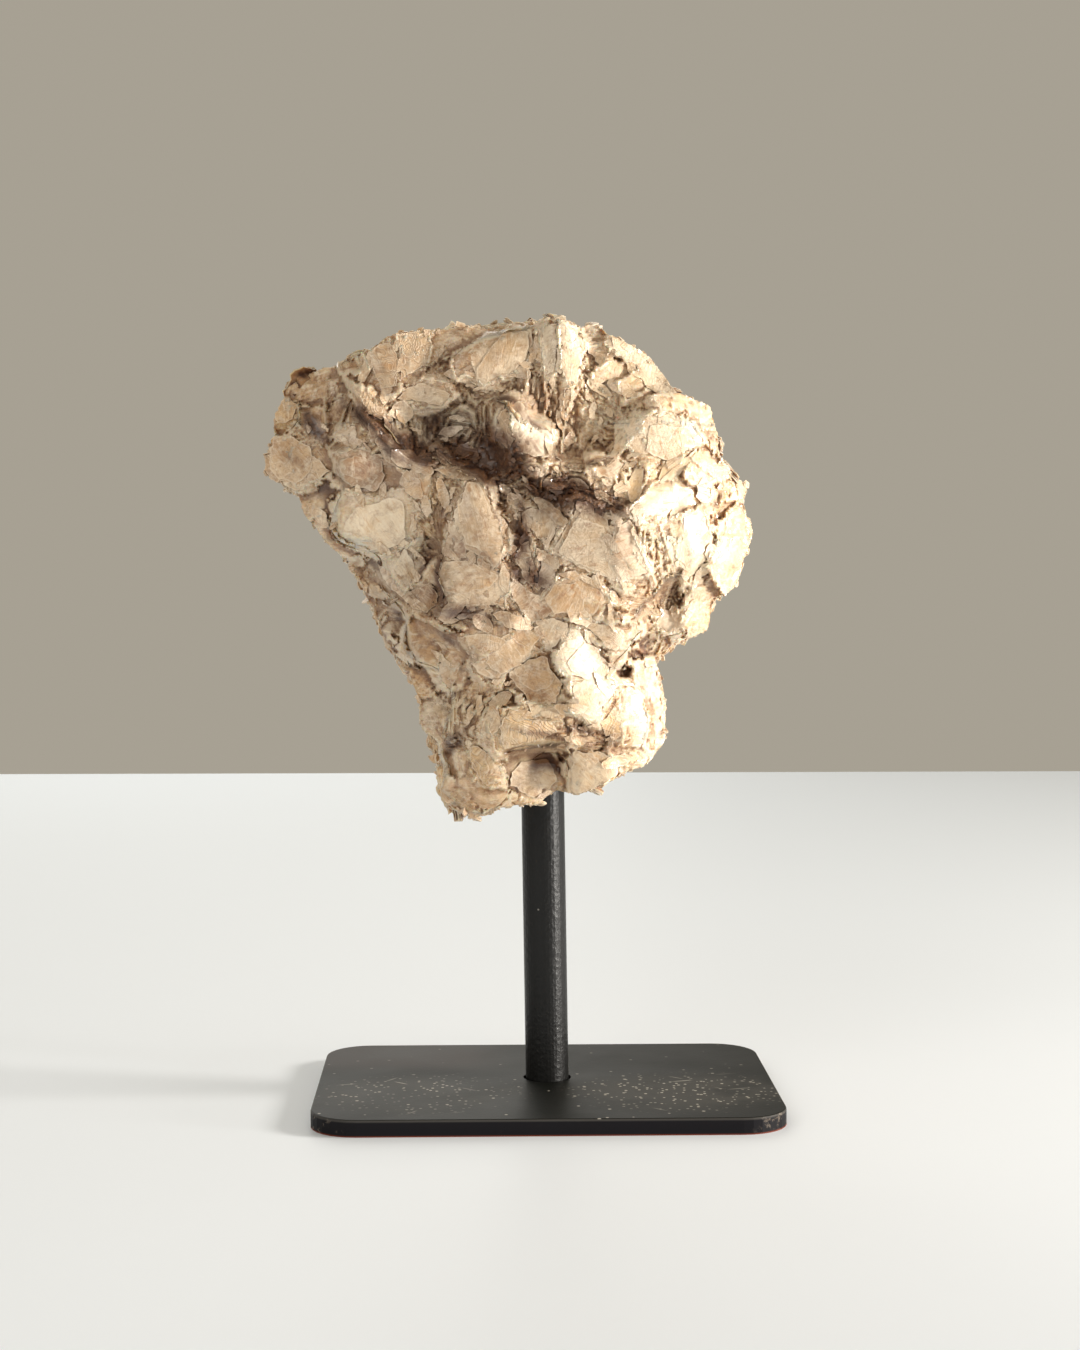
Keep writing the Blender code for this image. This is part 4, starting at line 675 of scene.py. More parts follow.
# ---- a mesh that grows -------------------------------------------------------
class Growth:
    """Points, faces and their attributes, gathered before they become one mesh."""

    def __init__(self):
        self.points = []
        self.sheet = []
        self.tint = []
        self.look = []
        self.faces = []
        self.wall = []
        # How shut in each point lies, painted as shade by the material.
        self.shut = []
        self.count = 0

    def add(self, points, sheet, tint, look):
        """Add points; gives the number of the first."""
        first = self.count
        self.points.append(points)
        self.sheet.append(sheet)
        self.tint.append(np.broadcast_to(tint, points.shape))
        self.look.append(np.broadcast_to(look, points.shape))
        self.count += len(points)
        return first

    def join(self, faces, wall):
        """Add faces, all of them broken edge (1) or leaf (0)."""
        self.faces.extend(faces)
        self.wall.extend([wall] * len(faces))

    def fan(self, tip, first, count, wall):
        """Close a ring of points with a fan that looks along the growth."""
        self.join([(tip, first + a, first + (a + 1) % count) for a in range(count)], wall)

    def foot(self, tip, first, count, wall):
        """Close a ring of points with a fan that looks the other way."""
        self.join([(first + a, tip, first + (a + 1) % count) for a in range(count)], wall)

    def band(self, above, below, count, wall):
        """Join two rings of points, the one over the other."""
        pairs = [(a, (a + 1) % count) for a in range(count)]
        self.join([(above + a, below + a, below + b, above + b) for a, b in pairs], wall)

    def mesh(self, name, box):
        """The gathered mesh, kept inside the solid's box."""
        low, high = box
        points = np.clip(np.concatenate(self.points) * MM, low, high)
        mesh = bpy.data.meshes.new(name)
        mesh.from_pydata(points.tolist(), [], self.faces)
        paint(mesh, "sheet", "FLOAT_VECTOR", "POINT", np.concatenate(self.sheet))
        paint(mesh, "look", "FLOAT_VECTOR", "POINT", np.concatenate(self.look))
        paint(mesh, "tint", "FLOAT_VECTOR", "POINT", np.concatenate(self.tint))
        paint(mesh, "wall", "FLOAT", "FACE", np.array(self.wall))
        if self.shut:
            paint(mesh, "hollow", "FLOAT", "POINT", np.concatenate(self.shut))
        return mesh


def paint(mesh, name, kind, domain, values):
    """Store an attribute."""
    attribute = mesh.attributes.new(name, kind, domain)
    field = "vector" if kind == "FLOAT_VECTOR" else "value"
    attribute.data.foreach_set(field, np.ascontiguousarray(values, np.float32).ravel())


def placed(name, mesh, material):
    """Put a finished mica mesh into the scene, riding on the stand."""
    mesh.materials.clear()
    mesh.materials.append(material)
    item = bpy.data.objects.new(name, mesh)
    bpy.context.scene.collection.objects.link(item)
    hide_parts(CLUSTER)
    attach(item, "root")
    return item


def crisp(mesh, degrees=38.0):
    """Smooth shading with sharp breaks."""
    mesh.shade_smooth()
    mesh.set_sharp_from_angle(angle=math.radians(degrees))


# ---- the solid's skin --------------------------------------------------------
def skin_of_cluster():
    """A search tree of the cluster's solid, in millimetres."""
    mesh = frame["nodes"][CLUSTER].data
    points = np.zeros(len(mesh.vertices) * 3, np.float32)
    mesh.vertices.foreach_get("co", points)
    faces = [tuple(face.vertices) for face in mesh.polygons]
    return BVHTree.FromPolygons((points.reshape(-1, 3) / MM).tolist(), faces)


def box_of_cluster():
    """Lowest and highest corner of the cluster's solid, in metres."""
    low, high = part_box(CLUSTER)
    return np.array(low), np.array(high)


# ---- books -------------------------------------------------------------------
SAMPLE_STEP = 0.72
FEWEST_SAMPLES, MOST_SAMPLES = 16, 72
TOP_RINGS = (0.22, 0.45, 0.68, 0.88)
# How far a book is bent, in millimetres over its reach, and how its sheets ripple.
BEND = (-0.45, 0.75)
RIPPLE_WAVES = 3
RIPPLE_PITCH = (0.5, 1.1)
RIPPLE_HEIGHT = (0.04, 0.11)
# How far the sheets of a book gape at its rim, and how thick and far apart they are
# as parts of a whole leaf.
OPENING = (0.1, 0.55)
SHEET_THICKNESS = (0.5, 1.5)
LEDGE_THICKNESS = 0.55
SHEET_GAP = (0.03, 0.16)
# Leaves of a strewn book, how much further each lower one reaches, and how deep the
# book is rooted.
BOOK_LEAVES = 5
OVERHANG = 0.3
BOOK_ROOT = 2.0


def facing(turn, tilt):
    """The way a leaf's face looks."""
    turn, tilt = math.radians(turn), math.radians(tilt)
    return np.array((math.sin(turn) * math.cos(tilt), -math.cos(turn) * math.cos(tilt),
                     math.sin(tilt)))


def spun(angle):
    """A matrix that turns flat points, given as rows."""
    return np.array(((math.cos(angle), math.sin(angle)), (-math.sin(angle), math.cos(angle))))


def unit(vector):
    """A vector of length one."""
    return vector / max(np.linalg.norm(vector), 1e-9)


def across(out):
    """Two directions in the plane that faces out: right and up."""
    right = np.cross((0.0, 0.0, 1.0), out)
    if np.linalg.norm(right) < 0.1:
        right = np.cross((0.0, 1.0, 0.0), out)
    right = unit(right)
    return right, np.cross(out, right)


def loop_noise(draw, count, waves):
    """Smooth noise from -1 to 1 round a closed loop."""
    knots = draw.uniform(-1.0, 1.0, max(3, waves))
    place = np.arange(count) / count * len(knots)
    low = np.floor(place).astype(int)
    part = place - low
    part = part * part * (3.0 - 2.0 * part)
    return knots[low % len(knots)] * (1.0 - part) + knots[(low + 1) % len(knots)] * part


def ragged(outline, draw, chips=0.3):
    """The outline with points at even steps and a broken edge, anticlockwise."""
    outline = np.asarray(outline, float)
    nxt = np.roll(outline, -1, 0)
    if np.sum(outline[:, 0] * nxt[:, 1] - nxt[:, 0] * outline[:, 1]) < 0.0:
        outline = outline[::-1]
    closed = np.vstack((outline, outline[:1]))
    steps = np.linalg.norm(np.diff(closed, axis=0), axis=1)
    along = np.concatenate(((0.0,), np.cumsum(steps)))
    count = int(np.clip(along[-1] / SAMPLE_STEP, FEWEST_SAMPLES, MOST_SAMPLES))
    place = np.arange(count) / count * along[-1]
    line = np.stack([np.interp(place, along, closed[:, k]) for k in (0, 1)], 1)
    tangent = np.roll(line, -1, 0) - np.roll(line, 1, 0)
    normal = np.stack((tangent[:, 1], -tangent[:, 0]), 1)
    normal /= np.maximum(np.linalg.norm(normal, axis=1, keepdims=True), 1e-6)
    chip = loop_noise(draw, count, count // 3) * chips
    chip += draw.uniform(-1.0, 1.0, count) * chips * 0.7
    return line + normal * chip[:, None], normal


def cut_back(line, direction, reach):
    """Draw the points that lie past a break back onto it."""
    past = line @ direction
    factor = np.where(past > reach, reach / np.maximum(past, 1e-6), 1.0)
    return line * factor[:, None]


def turned_sheet(places, spin):
    """Places within a sheet, turned about the way it faces."""
    return np.column_stack((places[:, 0] * math.cos(spin) - places[:, 1] * math.sin(spin),
                            places[:, 0] * math.sin(spin) + places[:, 1] * math.cos(spin),
                            places[:, 2]))


def book(growth, middle, out, outline, tint, surface, ledges, draw, leaf):
    """A book of mica: leaves over each other, the top ones broken away in ledges.

    Each lower leaf reaches further out, by up to one and a half times OVERHANG.
    """
    right, up = across(out)
    rim, normal = ragged(outline, draw)
    count = len(rim)
    reach = np.linalg.norm(rim, axis=1).max()
    bend = draw.uniform(*BEND) / max(reach, 3.0) / 3.0
    bend_way = unit(draw.normal(size=2))
    ripple = [(unit(draw.normal(size=2)) * draw.uniform(*RIPPLE_PITCH),
               draw.uniform(0.0, 6.28), draw.uniform(*RIPPLE_HEIGHT))
              for _ in range(RIPPLE_WAVES)]
    opening = np.maximum(loop_noise(draw, count, 7), 0.0) * draw.uniform(*OPENING)
    streak, crumb = SURFACES[surface]

    def height(flat):
        level = bend * (flat @ bend_way) ** 2
        for way, phase, size in ripple:
            level = level + size * np.sin(flat @ way + phase)
        return level

    rings, marks = [], []

    # A ring's edge value is its relief mark: the material paints rims, marked high, as highlight
    # and undersides, marked low, as shade.
    def ring(flat, level, edge, lift, wall):
        rings.append((flat, level + height(flat) + opening * lift, level, edge))
        marks.append(wall)

    broken = unit(draw.normal(size=2))
    second = unit(broken + draw.normal(size=2) * 0.9)
    level = 0.0
    inner = None
    grown = np.zeros(count)
    for sheet in range(BOOK_LEAVES):
        line = rim + normal * (loop_noise(draw, count, count // 4) * 0.22)[:, None]
        line = line + draw.uniform(-0.15, 0.15, 2)
        if sheet > ledges:
            wider = np.maximum(loop_noise(draw, count, count // 4) + 0.55, 0.0)
            grown = grown + wider * OVERHANG
            line = line + normal * grown[:, None]
        if sheet < ledges:
            further = (0.1 + 0.8 * (sheet + 0.6) / (ledges + 0.4),
                       0.45 + 0.5 * (sheet + 0.5) / (ledges + 0.5))
            for way, part, wobble in zip((broken, second), further, (0.1, 0.06)):
                far = np.max(rim @ way) * part
                edge = far * (1.0 + wobble * loop_noise(draw, count, count // 2))
                line = cut_back(line, way, edge)
        lift = 1.0 - sheet / BOOK_LEAVES
        thick = leaf * draw.uniform(*SHEET_THICKNESS)
        thick *= LEDGE_THICKNESS if sheet < ledges else 1.0
        if sheet == 0:
            for share in TOP_RINGS:
                ring(line * share, 0.0, 0.55, lift * share ** 4, 0.0)
        elif sheet <= ledges:
            ring(inner * 0.45 + line * 0.55, level, 0.5, lift * 0.8, 0.0)
        ring(line, level - 0.02, 0.95, lift, 0.0)
        level -= thick
        ring(line * 0.995, level, 0.7, lift, 1.0)
        under = draw.uniform(0.04, 0.12) if sheet < ledges else draw.uniform(0.12, 0.4)
        inner = line * (1.0 - min(0.3, under / max(reach, 1.0)))
        ring(inner, level - 0.01, 0.15, lift * 0.8, 1.0)
        level -= leaf * draw.uniform(*SHEET_GAP)
    ring(rim * 0.9, level, 0.0, 0.0, 0.0)
    ring(rim * 0.82, level - BOOK_ROOT, 0.0, 0.0, 1.0)

    flats = np.concatenate([item[0] for item in rings])
    raised = np.concatenate([item[1] for item in rings])
    levels = np.repeat([item[2] for item in rings], count)
    edges = np.repeat([item[3] for item in rings], count)
    points = middle + flats[:, :1] * right + flats[:, 1:] * up + raised[:, None] * out
    sheet_place = np.column_stack((flats, levels)) + draw.uniform(-SHEET_SHIFT, SHEET_SHIFT, 3)
    turned = turned_sheet(sheet_place, draw.uniform(0.0, 6.28))
    look = np.column_stack((np.full(len(points), streak), np.full(len(points), crumb), edges))
    shade = tint * (1.0 + draw.normal(0.0, 0.05))
    first = growth.add(points, turned, shade, look)
    crown = growth.add((middle + height(np.zeros((1, 2))) * out).reshape(1, 3),
                       turned[:count].mean(0).reshape(1, 3), shade, look[:1])
    base = growth.add((middle + (level - BOOK_ROOT) * out).reshape(1, 3), turned[-1:], shade,
                      look[-1:])
    growth.fan(crown, first, count, 0.0)
    for index in range(1, len(rings)):
        growth.band(first + (index - 1) * count, first + index * count, count, marks[index])
    growth.foot(base, first + (len(rings) - 1) * count, count, 1.0)


# ---- the heart ---------------------------------------------------------------
def clouds(points, size, shift):
    """Smooth noise at points."""
    places = points / size + shift
    return np.array([noise.noise(place) for place in places.tolist()])


def write(mesh, points):
    """Set the places of a mesh's vertices."""
    mesh.vertices.foreach_set("co", points.astype(np.float32).ravel())
    mesh.update()


def corner_numbers(mesh):
    """The vertex at each face corner of a mesh."""
    corners = np.zeros(len(mesh.loops), np.int32)
    mesh.loops.foreach_get("vertex_index", corners)
    return corners


def evened(mesh, step):
    """The mesh as an even, closed one; the old one is removed."""
    item = bpy.data.objects.new("heart_work", mesh)
    bpy.context.scene.collection.objects.link(item)
    remesh = item.modifiers.new("Remesh", "REMESH")
    remesh.mode = "VOXEL"
    remesh.voxel_size = step
    seen = item.evaluated_get(bpy.context.evaluated_depsgraph_get())
    even = bpy.data.meshes.new_from_object(seen)
    bpy.data.objects.remove(item)
    bpy.data.meshes.remove(mesh)
    return even


def swollen(mesh, by):
    """Move every point of a mesh outwards."""
    write(mesh, read(mesh) + read(mesh, "normal") * by)


# Mesh step of the rough work on the heart.
COARSE_STEP = 0.8


def heart_mesh(step, filling):
    """The cluster's solid as an even, closed mesh, its narrow gaps filled."""
    mesh = frame["nodes"][CLUSTER].data.copy()
    work = bmesh.new()
    work.from_mesh(mesh)
    bmesh.ops.remove_doubles(work, verts=work.verts, dist=1e-6)
    work.to_mesh(mesh)
    work.free()
    coarse = COARSE_STEP * MM
    mesh = evened(mesh, coarse)
    for _ in range(2):
        swollen(mesh, filling / 2.0)
        mesh = evened(mesh, coarse)
    for _ in range(2):
        swollen(mesh, -filling / 2.0)
        mesh = evened(mesh, coarse)
    return evened(mesh, step)


def read(mesh, what="co"):
    """Points or normals of a mesh's vertices."""
    values = np.zeros(len(mesh.vertices) * 3, np.float32)
    source = mesh.vertices if what == "co" else mesh.vertex_normals
    source.foreach_get("co" if what == "co" else "vector", values)
    return values.reshape(-1, 3).astype(float)


def spread(points, gap, draw):
    """Numbers of points that lie no closer than a gap."""
    chosen, cells = [], {}
    for index in draw.permutation(len(points)).tolist():
        point = points[index]
        cell = tuple((point // gap).astype(int))
        near = [other for i in (-1, 0, 1) for j in (-1, 0, 1) for k in (-1, 0, 1)
                for other in cells.get((cell[0] + i, cell[1] + j, cell[2] + k), ())]
        if all(np.sum((points[other] - point) ** 2) >= gap * gap for other in near):
            cells.setdefault(cell, []).append(index)
            chosen.append(index)
    return np.array(chosen)


# The heart's blocks: how many lie flat, how high their steps are, how far they stand
# out, how far their borders wander, and how the cracks between them are cut.
FLAT_SHARE = 0.35
STAIR = (1.0, 2.1)
BLOCK_PROUD = (-0.6, 0.5)
BLOCK_WANDER = 1.8
WANDER_SIZE = 3.4
CRACK_DEPTH = 0.5
CRACK_WIDTH = 0.6


def cleave(points, normals, grain, sink, draw):
    """Break a smooth skin into blocks of stepped leaves and of leaves on edge."""
    seeds = spread(points, grain, draw)
    count = len(seeds)
    tilt = unit_rows(draw.normal(size=(count, 3)))
    flat = draw.random(count) < FLAT_SHARE
    ways = np.where(flat[:, None], unit_rows(normals[seeds] + tilt * 0.4),
                    unit_rows(tilt + normals[seeds] * 0.25))
    step = draw.uniform(*STAIR, count)
    raise_by = draw.uniform(*BLOCK_PROUD, count)
    tree = seed_tree(points[seeds])
    warp = np.column_stack([clouds(points, WANDER_SIZE, shift) for shift in (3.1, 11.7, 23.9)])
    warp = warp * BLOCK_WANDER
    found = [tree.find_n(place, 2) for place in (points + warp).tolist()]
    owner = np.array([pair[0][1] for pair in found])
    gap = np.array([pair[1][2] - pair[0][2] for pair in found])
    way, centre = ways[owner], points[seeds][owner]
    depth = np.sum((points - centre) * way, axis=1)
    slow, rough = clouds(points, 3.1, 7.7), clouds(points, 1.15, 41.3)
    steps = step[owner]
    place = (depth + slow * 0.9 + rough * 0.3) / steps
    whole = np.floor(place)
    part = place - whole
    sharp = np.clip((part - 0.36) / 0.28, 0.0, 1.0)
    stair = steps * (whole + sharp * sharp * (3.0 - 2.0 * sharp) - place)
    shingle = np.where(part < 0.82, part / 0.82, (1.0 - part) / 0.18)
    is_flat = flat[owner]
    along = way * np.where(is_flat, stair * 0.85, 0.0)[:, None]
    crack = CRACK_DEPTH * np.clip(1.0 - gap / CRACK_WIDTH, 0.0, 1.0)
    ridge = np.where(is_flat, 0.0, (shingle - 0.6) * steps * 0.5)
    moved = points + along
    moved += normals * (raise_by[owner] - sink - crack + ridge + rough * 0.16)[:, None]
    # The relief mark, painted by the material as highlight on ridges and as shade in the cracks.
    relief = np.where(is_flat, 0.5 + 0.3 * (1.0 - 2.0 * np.abs(part - 0.5)), shingle)
    relief = np.clip(relief - crack * 0.8 + rough * 0.2, 0.0, 1.0)
    return moved, owner, ways, points[seeds], relief


def seed_tree(seeds):
    """A search tree of points."""
    tree = KDTree(len(seeds))
    for index, seed in enumerate(seeds.tolist()):
        tree.insert(seed, index)
    tree.balance()
    return tree


def nearest_seed(seeds, points):
    """The number of the seed nearest to each point."""
    tree = seed_tree(seeds)
    return np.array([tree.find(place)[1] for place in points.tolist()])


def unit_rows(rows):
    """Every row with length one."""
    return rows / np.maximum(np.linalg.norm(rows, axis=1, keepdims=True), 1e-9)


def off_the_post(points):
    """Keep points clear of the post's hole."""
    foot, top = post_axis()
    share = (points[:, 2] - foot[2]) / (top[2] - foot[2])
    centre = foot[:2] + (top[:2] - foot[:2]) * share[:, None]
    arm = points[:, :2] - centre
    reach = np.linalg.norm(arm, axis=1)
    inside = (reach < HOLE_RADIUS) & (points[:, 2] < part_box("post")[1].z / MM + 0.3)
    points[inside, :2] = centre[inside] + arm[inside] / reach[inside][:, None] * HOLE_RADIUS
    return points


def clear_of_post(points):
    """Whether points are far enough from the post for a chip."""
    foot, top = post_axis()
    share = (points[:, 2] - foot[2]) / (top[2] - foot[2])
    axis = foot[:2] + (top - foot)[:2] * share[:, None]
    far = np.linalg.norm(points[:, :2] - axis, axis=1) > CHIP_CLEARANCE
    return far | (points[:, 2] > top[2] + 3.0)


def post_axis():
    """Middle of the post at its foot and at its top, in millimetres."""
    points = read(frame["nodes"]["post"].data) / MM
    low, high = points[:, 2].min(), points[:, 2].max()
    foot = points[points[:, 2] < low + 1.0].mean(0)
    top = points[points[:, 2] > high - 1.0].mean(0)
    return foot, top


# ---- the front's relief --------------------------------------------------------
MAP_STEP = 0.3
MAP_LOW = np.array((-64.0, 58.0))
MAP_HIGH = np.array((54.0, 175.0))
SHARD = 3.4
SKIRT_PITCH = 0.85
SKIRT_SLOPE = 0.6
SHARD_ROW = 4096
STAIN_WIDER = 1.25
# The slope from which the front counts as steep, in millimetres of depth for each.
STEEP = 2.4
# How far behind the first skin that is met a point still belongs to the front.
FRONT_REACH = 5.0
# How deep the grooves of a face are, by its surface, and the most that a skirt of
# lower leaves reaches out.
GROOVES = {"smooth": 0.1, "cracked": 0.16, "streaky": 0.24, "rough": 0.3}
SKIRT_MOST = 3.8
FACE_SEED = 1000


def hashed(i, j, salt):
    """A random number from 0 to 1 for each pair of whole numbers."""
    mixed = (i * 374761393 + j * 668265263 + salt * 974634777) & 0xFFFFFFFF
    mixed = ((mixed ^ (mixed >> 13)) * 1274126177) & 0xFFFFFFFF
    return ((mixed ^ (mixed >> 16)) & 0xFFFFFF) / 16777216.0


def wash(x, z, size, salt):
    """Smooth noise from -1 to 1 over the drawing plane."""
    turn = salt * 1.7
    x, z = ((x * math.cos(turn) + z * math.sin(turn)) / size,
            (z * math.cos(turn) - x * math.sin(turn)) / size)
    i, j = np.floor(x).astype(np.int64), np.floor(z).astype(np.int64)
    u, v = x - i, z - j
    u, v = u * u * (3.0 - 2.0 * u), v * v * (3.0 - 2.0 * v)
    low = hashed(i, j, salt) * (1.0 - u) + hashed(i + 1, j, salt) * u
    high = hashed(i, j + 1, salt) * (1.0 - u) + hashed(i + 1, j + 1, salt) * u
    return (low * (1.0 - v) + high * v) * 2.0 - 1.0


def shards(x, z, size, salt):
    """Broken cells: each point's cell, the cell's middle, and how far off its rim is."""
    x, z = x / size, z / size
    i0, j0 = np.floor(x).astype(np.int64), np.floor(z).astype(np.int64)
    nearest, second = np.full(x.shape, 9.0), np.full(x.shape, 9.0)
    own = [np.zeros(x.shape, np.int64), np.zeros(x.shape, np.int64)]
    middle = [np.zeros(x.shape), np.zeros(x.shape)]
    for di in (-1, 0, 1):
        for dj in (-1, 0, 1):
            i, j = i0 + di, j0 + dj
            px, pz = i + hashed(i, j, salt), j + hashed(i, j, salt + 1)
            far = np.hypot(x - px, z - pz)
            better = far < nearest
            second = np.where(better, nearest, np.minimum(second, far))
            nearest = np.where(better, far, nearest)
            own = [np.where(better, a, b) for a, b in zip((i, j), own)]
            middle = [np.where(better, a, b) for a, b in zip((px, pz), middle)]
    return own, (middle[0] * size, middle[1] * size), (second - nearest) * size


def blurred(values, reach):
    """Values over the map, made soft over a reach in millimetres."""
    rows, columns = np.fft.fftfreq(values.shape[0], MAP_STEP), np.fft.rfftfreq(
        values.shape[1], MAP_STEP)
    soft = np.exp(-2.0 * (math.pi * reach) ** 2 * (rows[:, None] ** 2 + columns ** 2))
    return np.fft.irfft2(np.fft.rfft2(values) * soft, s=values.shape)


def step_at(value, edge, soft=0.14):
    """0 below an edge, 1 above it, smooth between."""
    part = np.clip((value - edge) / (2.0 * soft) + 0.5, 0.0, 1.0)
    return part * part * (3.0 - 2.0 * part)


def inside_by(polygon, x, z):
    """How far points lie inside a polygon, below 0 outside it."""
    nearest, inside = np.full(x.shape, 1e9), np.zeros(x.shape, bool)
    for (ax, az), (bx, bz) in zip(polygon, np.roll(polygon, -1, 0)):
        ex, ez = bx - ax, bz - az
        part = np.clip(((x - ax) * ex + (z - az) * ez) / (ex * ex + ez * ez + 1e-9), 0.0, 1.0)
        nearest = np.minimum(nearest, np.hypot(x - ax - part * ex, z - az - part * ez))
        crosses = (az > z) != (bz > z)
        inside ^= crosses & (x < ax + (z - az) * ex / (ez if abs(ez) > 1e-9 else 1e-9))
    return np.where(inside, nearest, -nearest)


def blended(values, row, column, part):
    """Map values between their four nearest spots."""
    u, v = part[:, 0], part[:, 1]
    if values.ndim == 3:
        u, v = u[:, None], v[:, None]
    return ((values[row, column] * (1.0 - u) + values[row, column + 1] * u) * (1.0 - v)
            + (values[row + 1, column] * (1.0 - u) + values[row + 1, column + 1] * u) * v)


class Relief:
    """The front as a depth, a tint and a surface for every line of sight."""

    def __init__(self, tree, tints):
        xs = np.arange(MAP_LOW[0], MAP_HIGH[0], MAP_STEP)
        zs = np.arange(MAP_LOW[1], MAP_HIGH[1], MAP_STEP)
        self.x, self.z = np.meshgrid(xs, zs)
        eye = Vector(EYE)
        hits = [tree.ray_cast(eye, Vector((x, DRAWING_PLANE, z)) - eye)[0]
                for x, z in zip(self.x.ravel().tolist(), self.z.ravel().tolist())]
        depth = np.array([np.nan if hit is None else hit.y for hit in hits])
        depth = depth.reshape(self.x.shape)
        self.solid = np.isfinite(depth)
        self.base = np.where(self.solid, depth, 0.0)
        self.smooth = self.softened(self.base, 1.9)
        self.jag = ((hashed(*shards(self.x, self.z, 1.5, 31)[0], 5) - 0.5) * 1.1
                    + (hashed(*shards(self.x, self.z, 0.7, 41)[0], 6) - 0.5) * 0.5)
        self.waver = wash(self.x, self.z, 3.4, 51)
        self.tints = tints
        self.ways, self.middles = [], []
        self.taken = np.zeros(self.x.shape, bool)
        self.deepest = np.full(self.x.shape, -9.0)
        self.fill()
        for index, entry in enumerate(EDGE_BOOKS):
            self.ribs(index, entry)
        for skirt in (True, False):
            for index, entry in enumerate(FRONT_BOOKS):
                self.face(index, entry, skirt)
        self.stain()

    def softened(self, values, reach):
        """Values made soft without the empty part of the map."""
        return blurred(values * self.solid, reach) / np.maximum(
            blurred(self.solid * 1.0, reach), 1e-3)

    def owned(self, way, middle):
        """The number of a new block, with the way its leaves face."""
        self.ways.append(unit(np.asarray(way, float)))
        self.middles.append(middle)
        return len(self.ways) - 1

    def fill(self):
        """Rubble of small leaves that fills all the rest."""
        x, z = self.x + self.waver * 0.6, self.z + wash(self.x, self.z, 3.4, 52) * 0.6
        self.flow = self.flows()
        longer = np.cos(self.flow) * x + np.sin(self.flow) * z
        own, _, rim = shards(x - np.cos(self.flow) * longer * 0.5,
                                  z - np.sin(self.flow) * longer * 0.5, SHARD, 11)
        small, small_middle, small_rim = shards(x, z, 1.5, 13)
        chance = [hashed(*own, salt) for salt in range(61, 67)]
        fine = [hashed(*small, salt) for salt in range(71, 74)]
        tilt = (chance[0] - 0.3) * 1.3 * (rim - 0.6)
        sx, sz = x - small_middle[0], z - small_middle[1]
        chips = (fine[0] - 0.5) * 0.7 * sx + (fine[1] - 0.5) * 0.7 * sz + (fine[2] - 0.5) * 0.55
        flow = self.flow + (chance[2] - 0.5) * 0.5
        across_leaves = -np.sin(flow) * x + np.cos(flow) * z
        pitch = 0.55 + chance[3] * 0.35
        place = across_leaves / pitch
        leaf = np.floor(place)
        part = place - leaf
        leaf = leaf.astype(np.int64)
        ribs = (np.minimum(part / 0.75, (1.0 - part) / 0.25) - 0.5) * 0.34
        ribs += (hashed(leaf, own[0] * 31 + own[1], 82) - 0.5) * 0.6
        ribbed = chance[4] < 0.7
        height = (chance[5] - 0.5) * 0.8 + tilt * 0.8 + np.where(ribbed, ribs, chips)
        height -= 0.25 * np.clip(1.0 - rim / 0.4, 0.0, 1.0)
        height -= np.where(ribbed, 0.0, 0.15 * np.clip(1.0 - small_rim / 0.3, 0.0, 1.0))
        self.depth = self.smooth + 0.55 - height
        numbers = (own[0] + 64) * SHARD_ROW + own[1] + 64
        _, first, flat = np.unique(numbers, return_index=True, return_inverse=True)
        owners = []
        for place in first.tolist():
            if ribbed.ravel()[place]:
                angle = flow.ravel()[place]
                way = (-math.sin(angle), -0.25, math.cos(angle))
            else:
                way = (chance[0].ravel()[place] - 0.5, -1.0, chance[1].ravel()[place] - 0.5)
            owners.append(self.owned(way, (self.x.ravel()[place], 0.0,
                                           self.z.ravel()[place])))
        self.owner = np.array(owners)[flat.reshape(self.x.shape)]
        self.level = self.softened(self.depth, 0.9)
        names = [name for name, _ in STREWN_TINTS]
        odds = np.cumsum([odd for _, odd in STREWN_TINTS])
        table = np.array([self.tints[name] for name in names])
        pick = np.searchsorted(odds / odds[-1], hashed(*own, 91).clip(0.0, 0.999))
        self.tint = table[pick] * (0.85 + 0.25 * hashed(*small, 92))[..., None]
        self.streak = np.where(ribbed, 0.9, 0.3)
        self.crumb = np.where(ribbed, 0.3, 0.6)

    def flows(self):
        """The leaves' slope over the map, in radians."""
        double = np.zeros(self.x.shape, complex)
        for (x, z), slope in FLOWS:
            near = 1.0 / ((self.x - x) ** 2 + (self.z - z) ** 2 + 9.0) ** 1.5
            double += near * np.exp(2j * math.radians(slope))
        return np.angle(double) / 2.0 + wash(self.x, self.z, 9.0, 81) * 0.35

    def window(self, outline):
        """The part of the map round an outline."""
        low = ((outline.min(0) - 2.5 - MAP_LOW) / MAP_STEP).astype(int).clip(0)
        high = ((outline.max(0) + 2.5 - MAP_LOW) / MAP_STEP).astype(int) + 1
        return slice(low[1], high[1]), slice(low[0], high[0])

    def lay(self, part, within, depth, owner, tint, marks, top):
        """Put a block on the map where it is nearer than the blocks laid before."""
        free = within & (~self.taken[part] | (depth < self.depth[part]))
        if top:
            self.taken[part] |= within
        self.depth[part][free] = depth[free]
        self.owner[part][free] = owner
        self.tint[part][free] = tint if tint.ndim == 1 else tint[free]
        self.streak[part][free], self.crumb[part][free] = marks

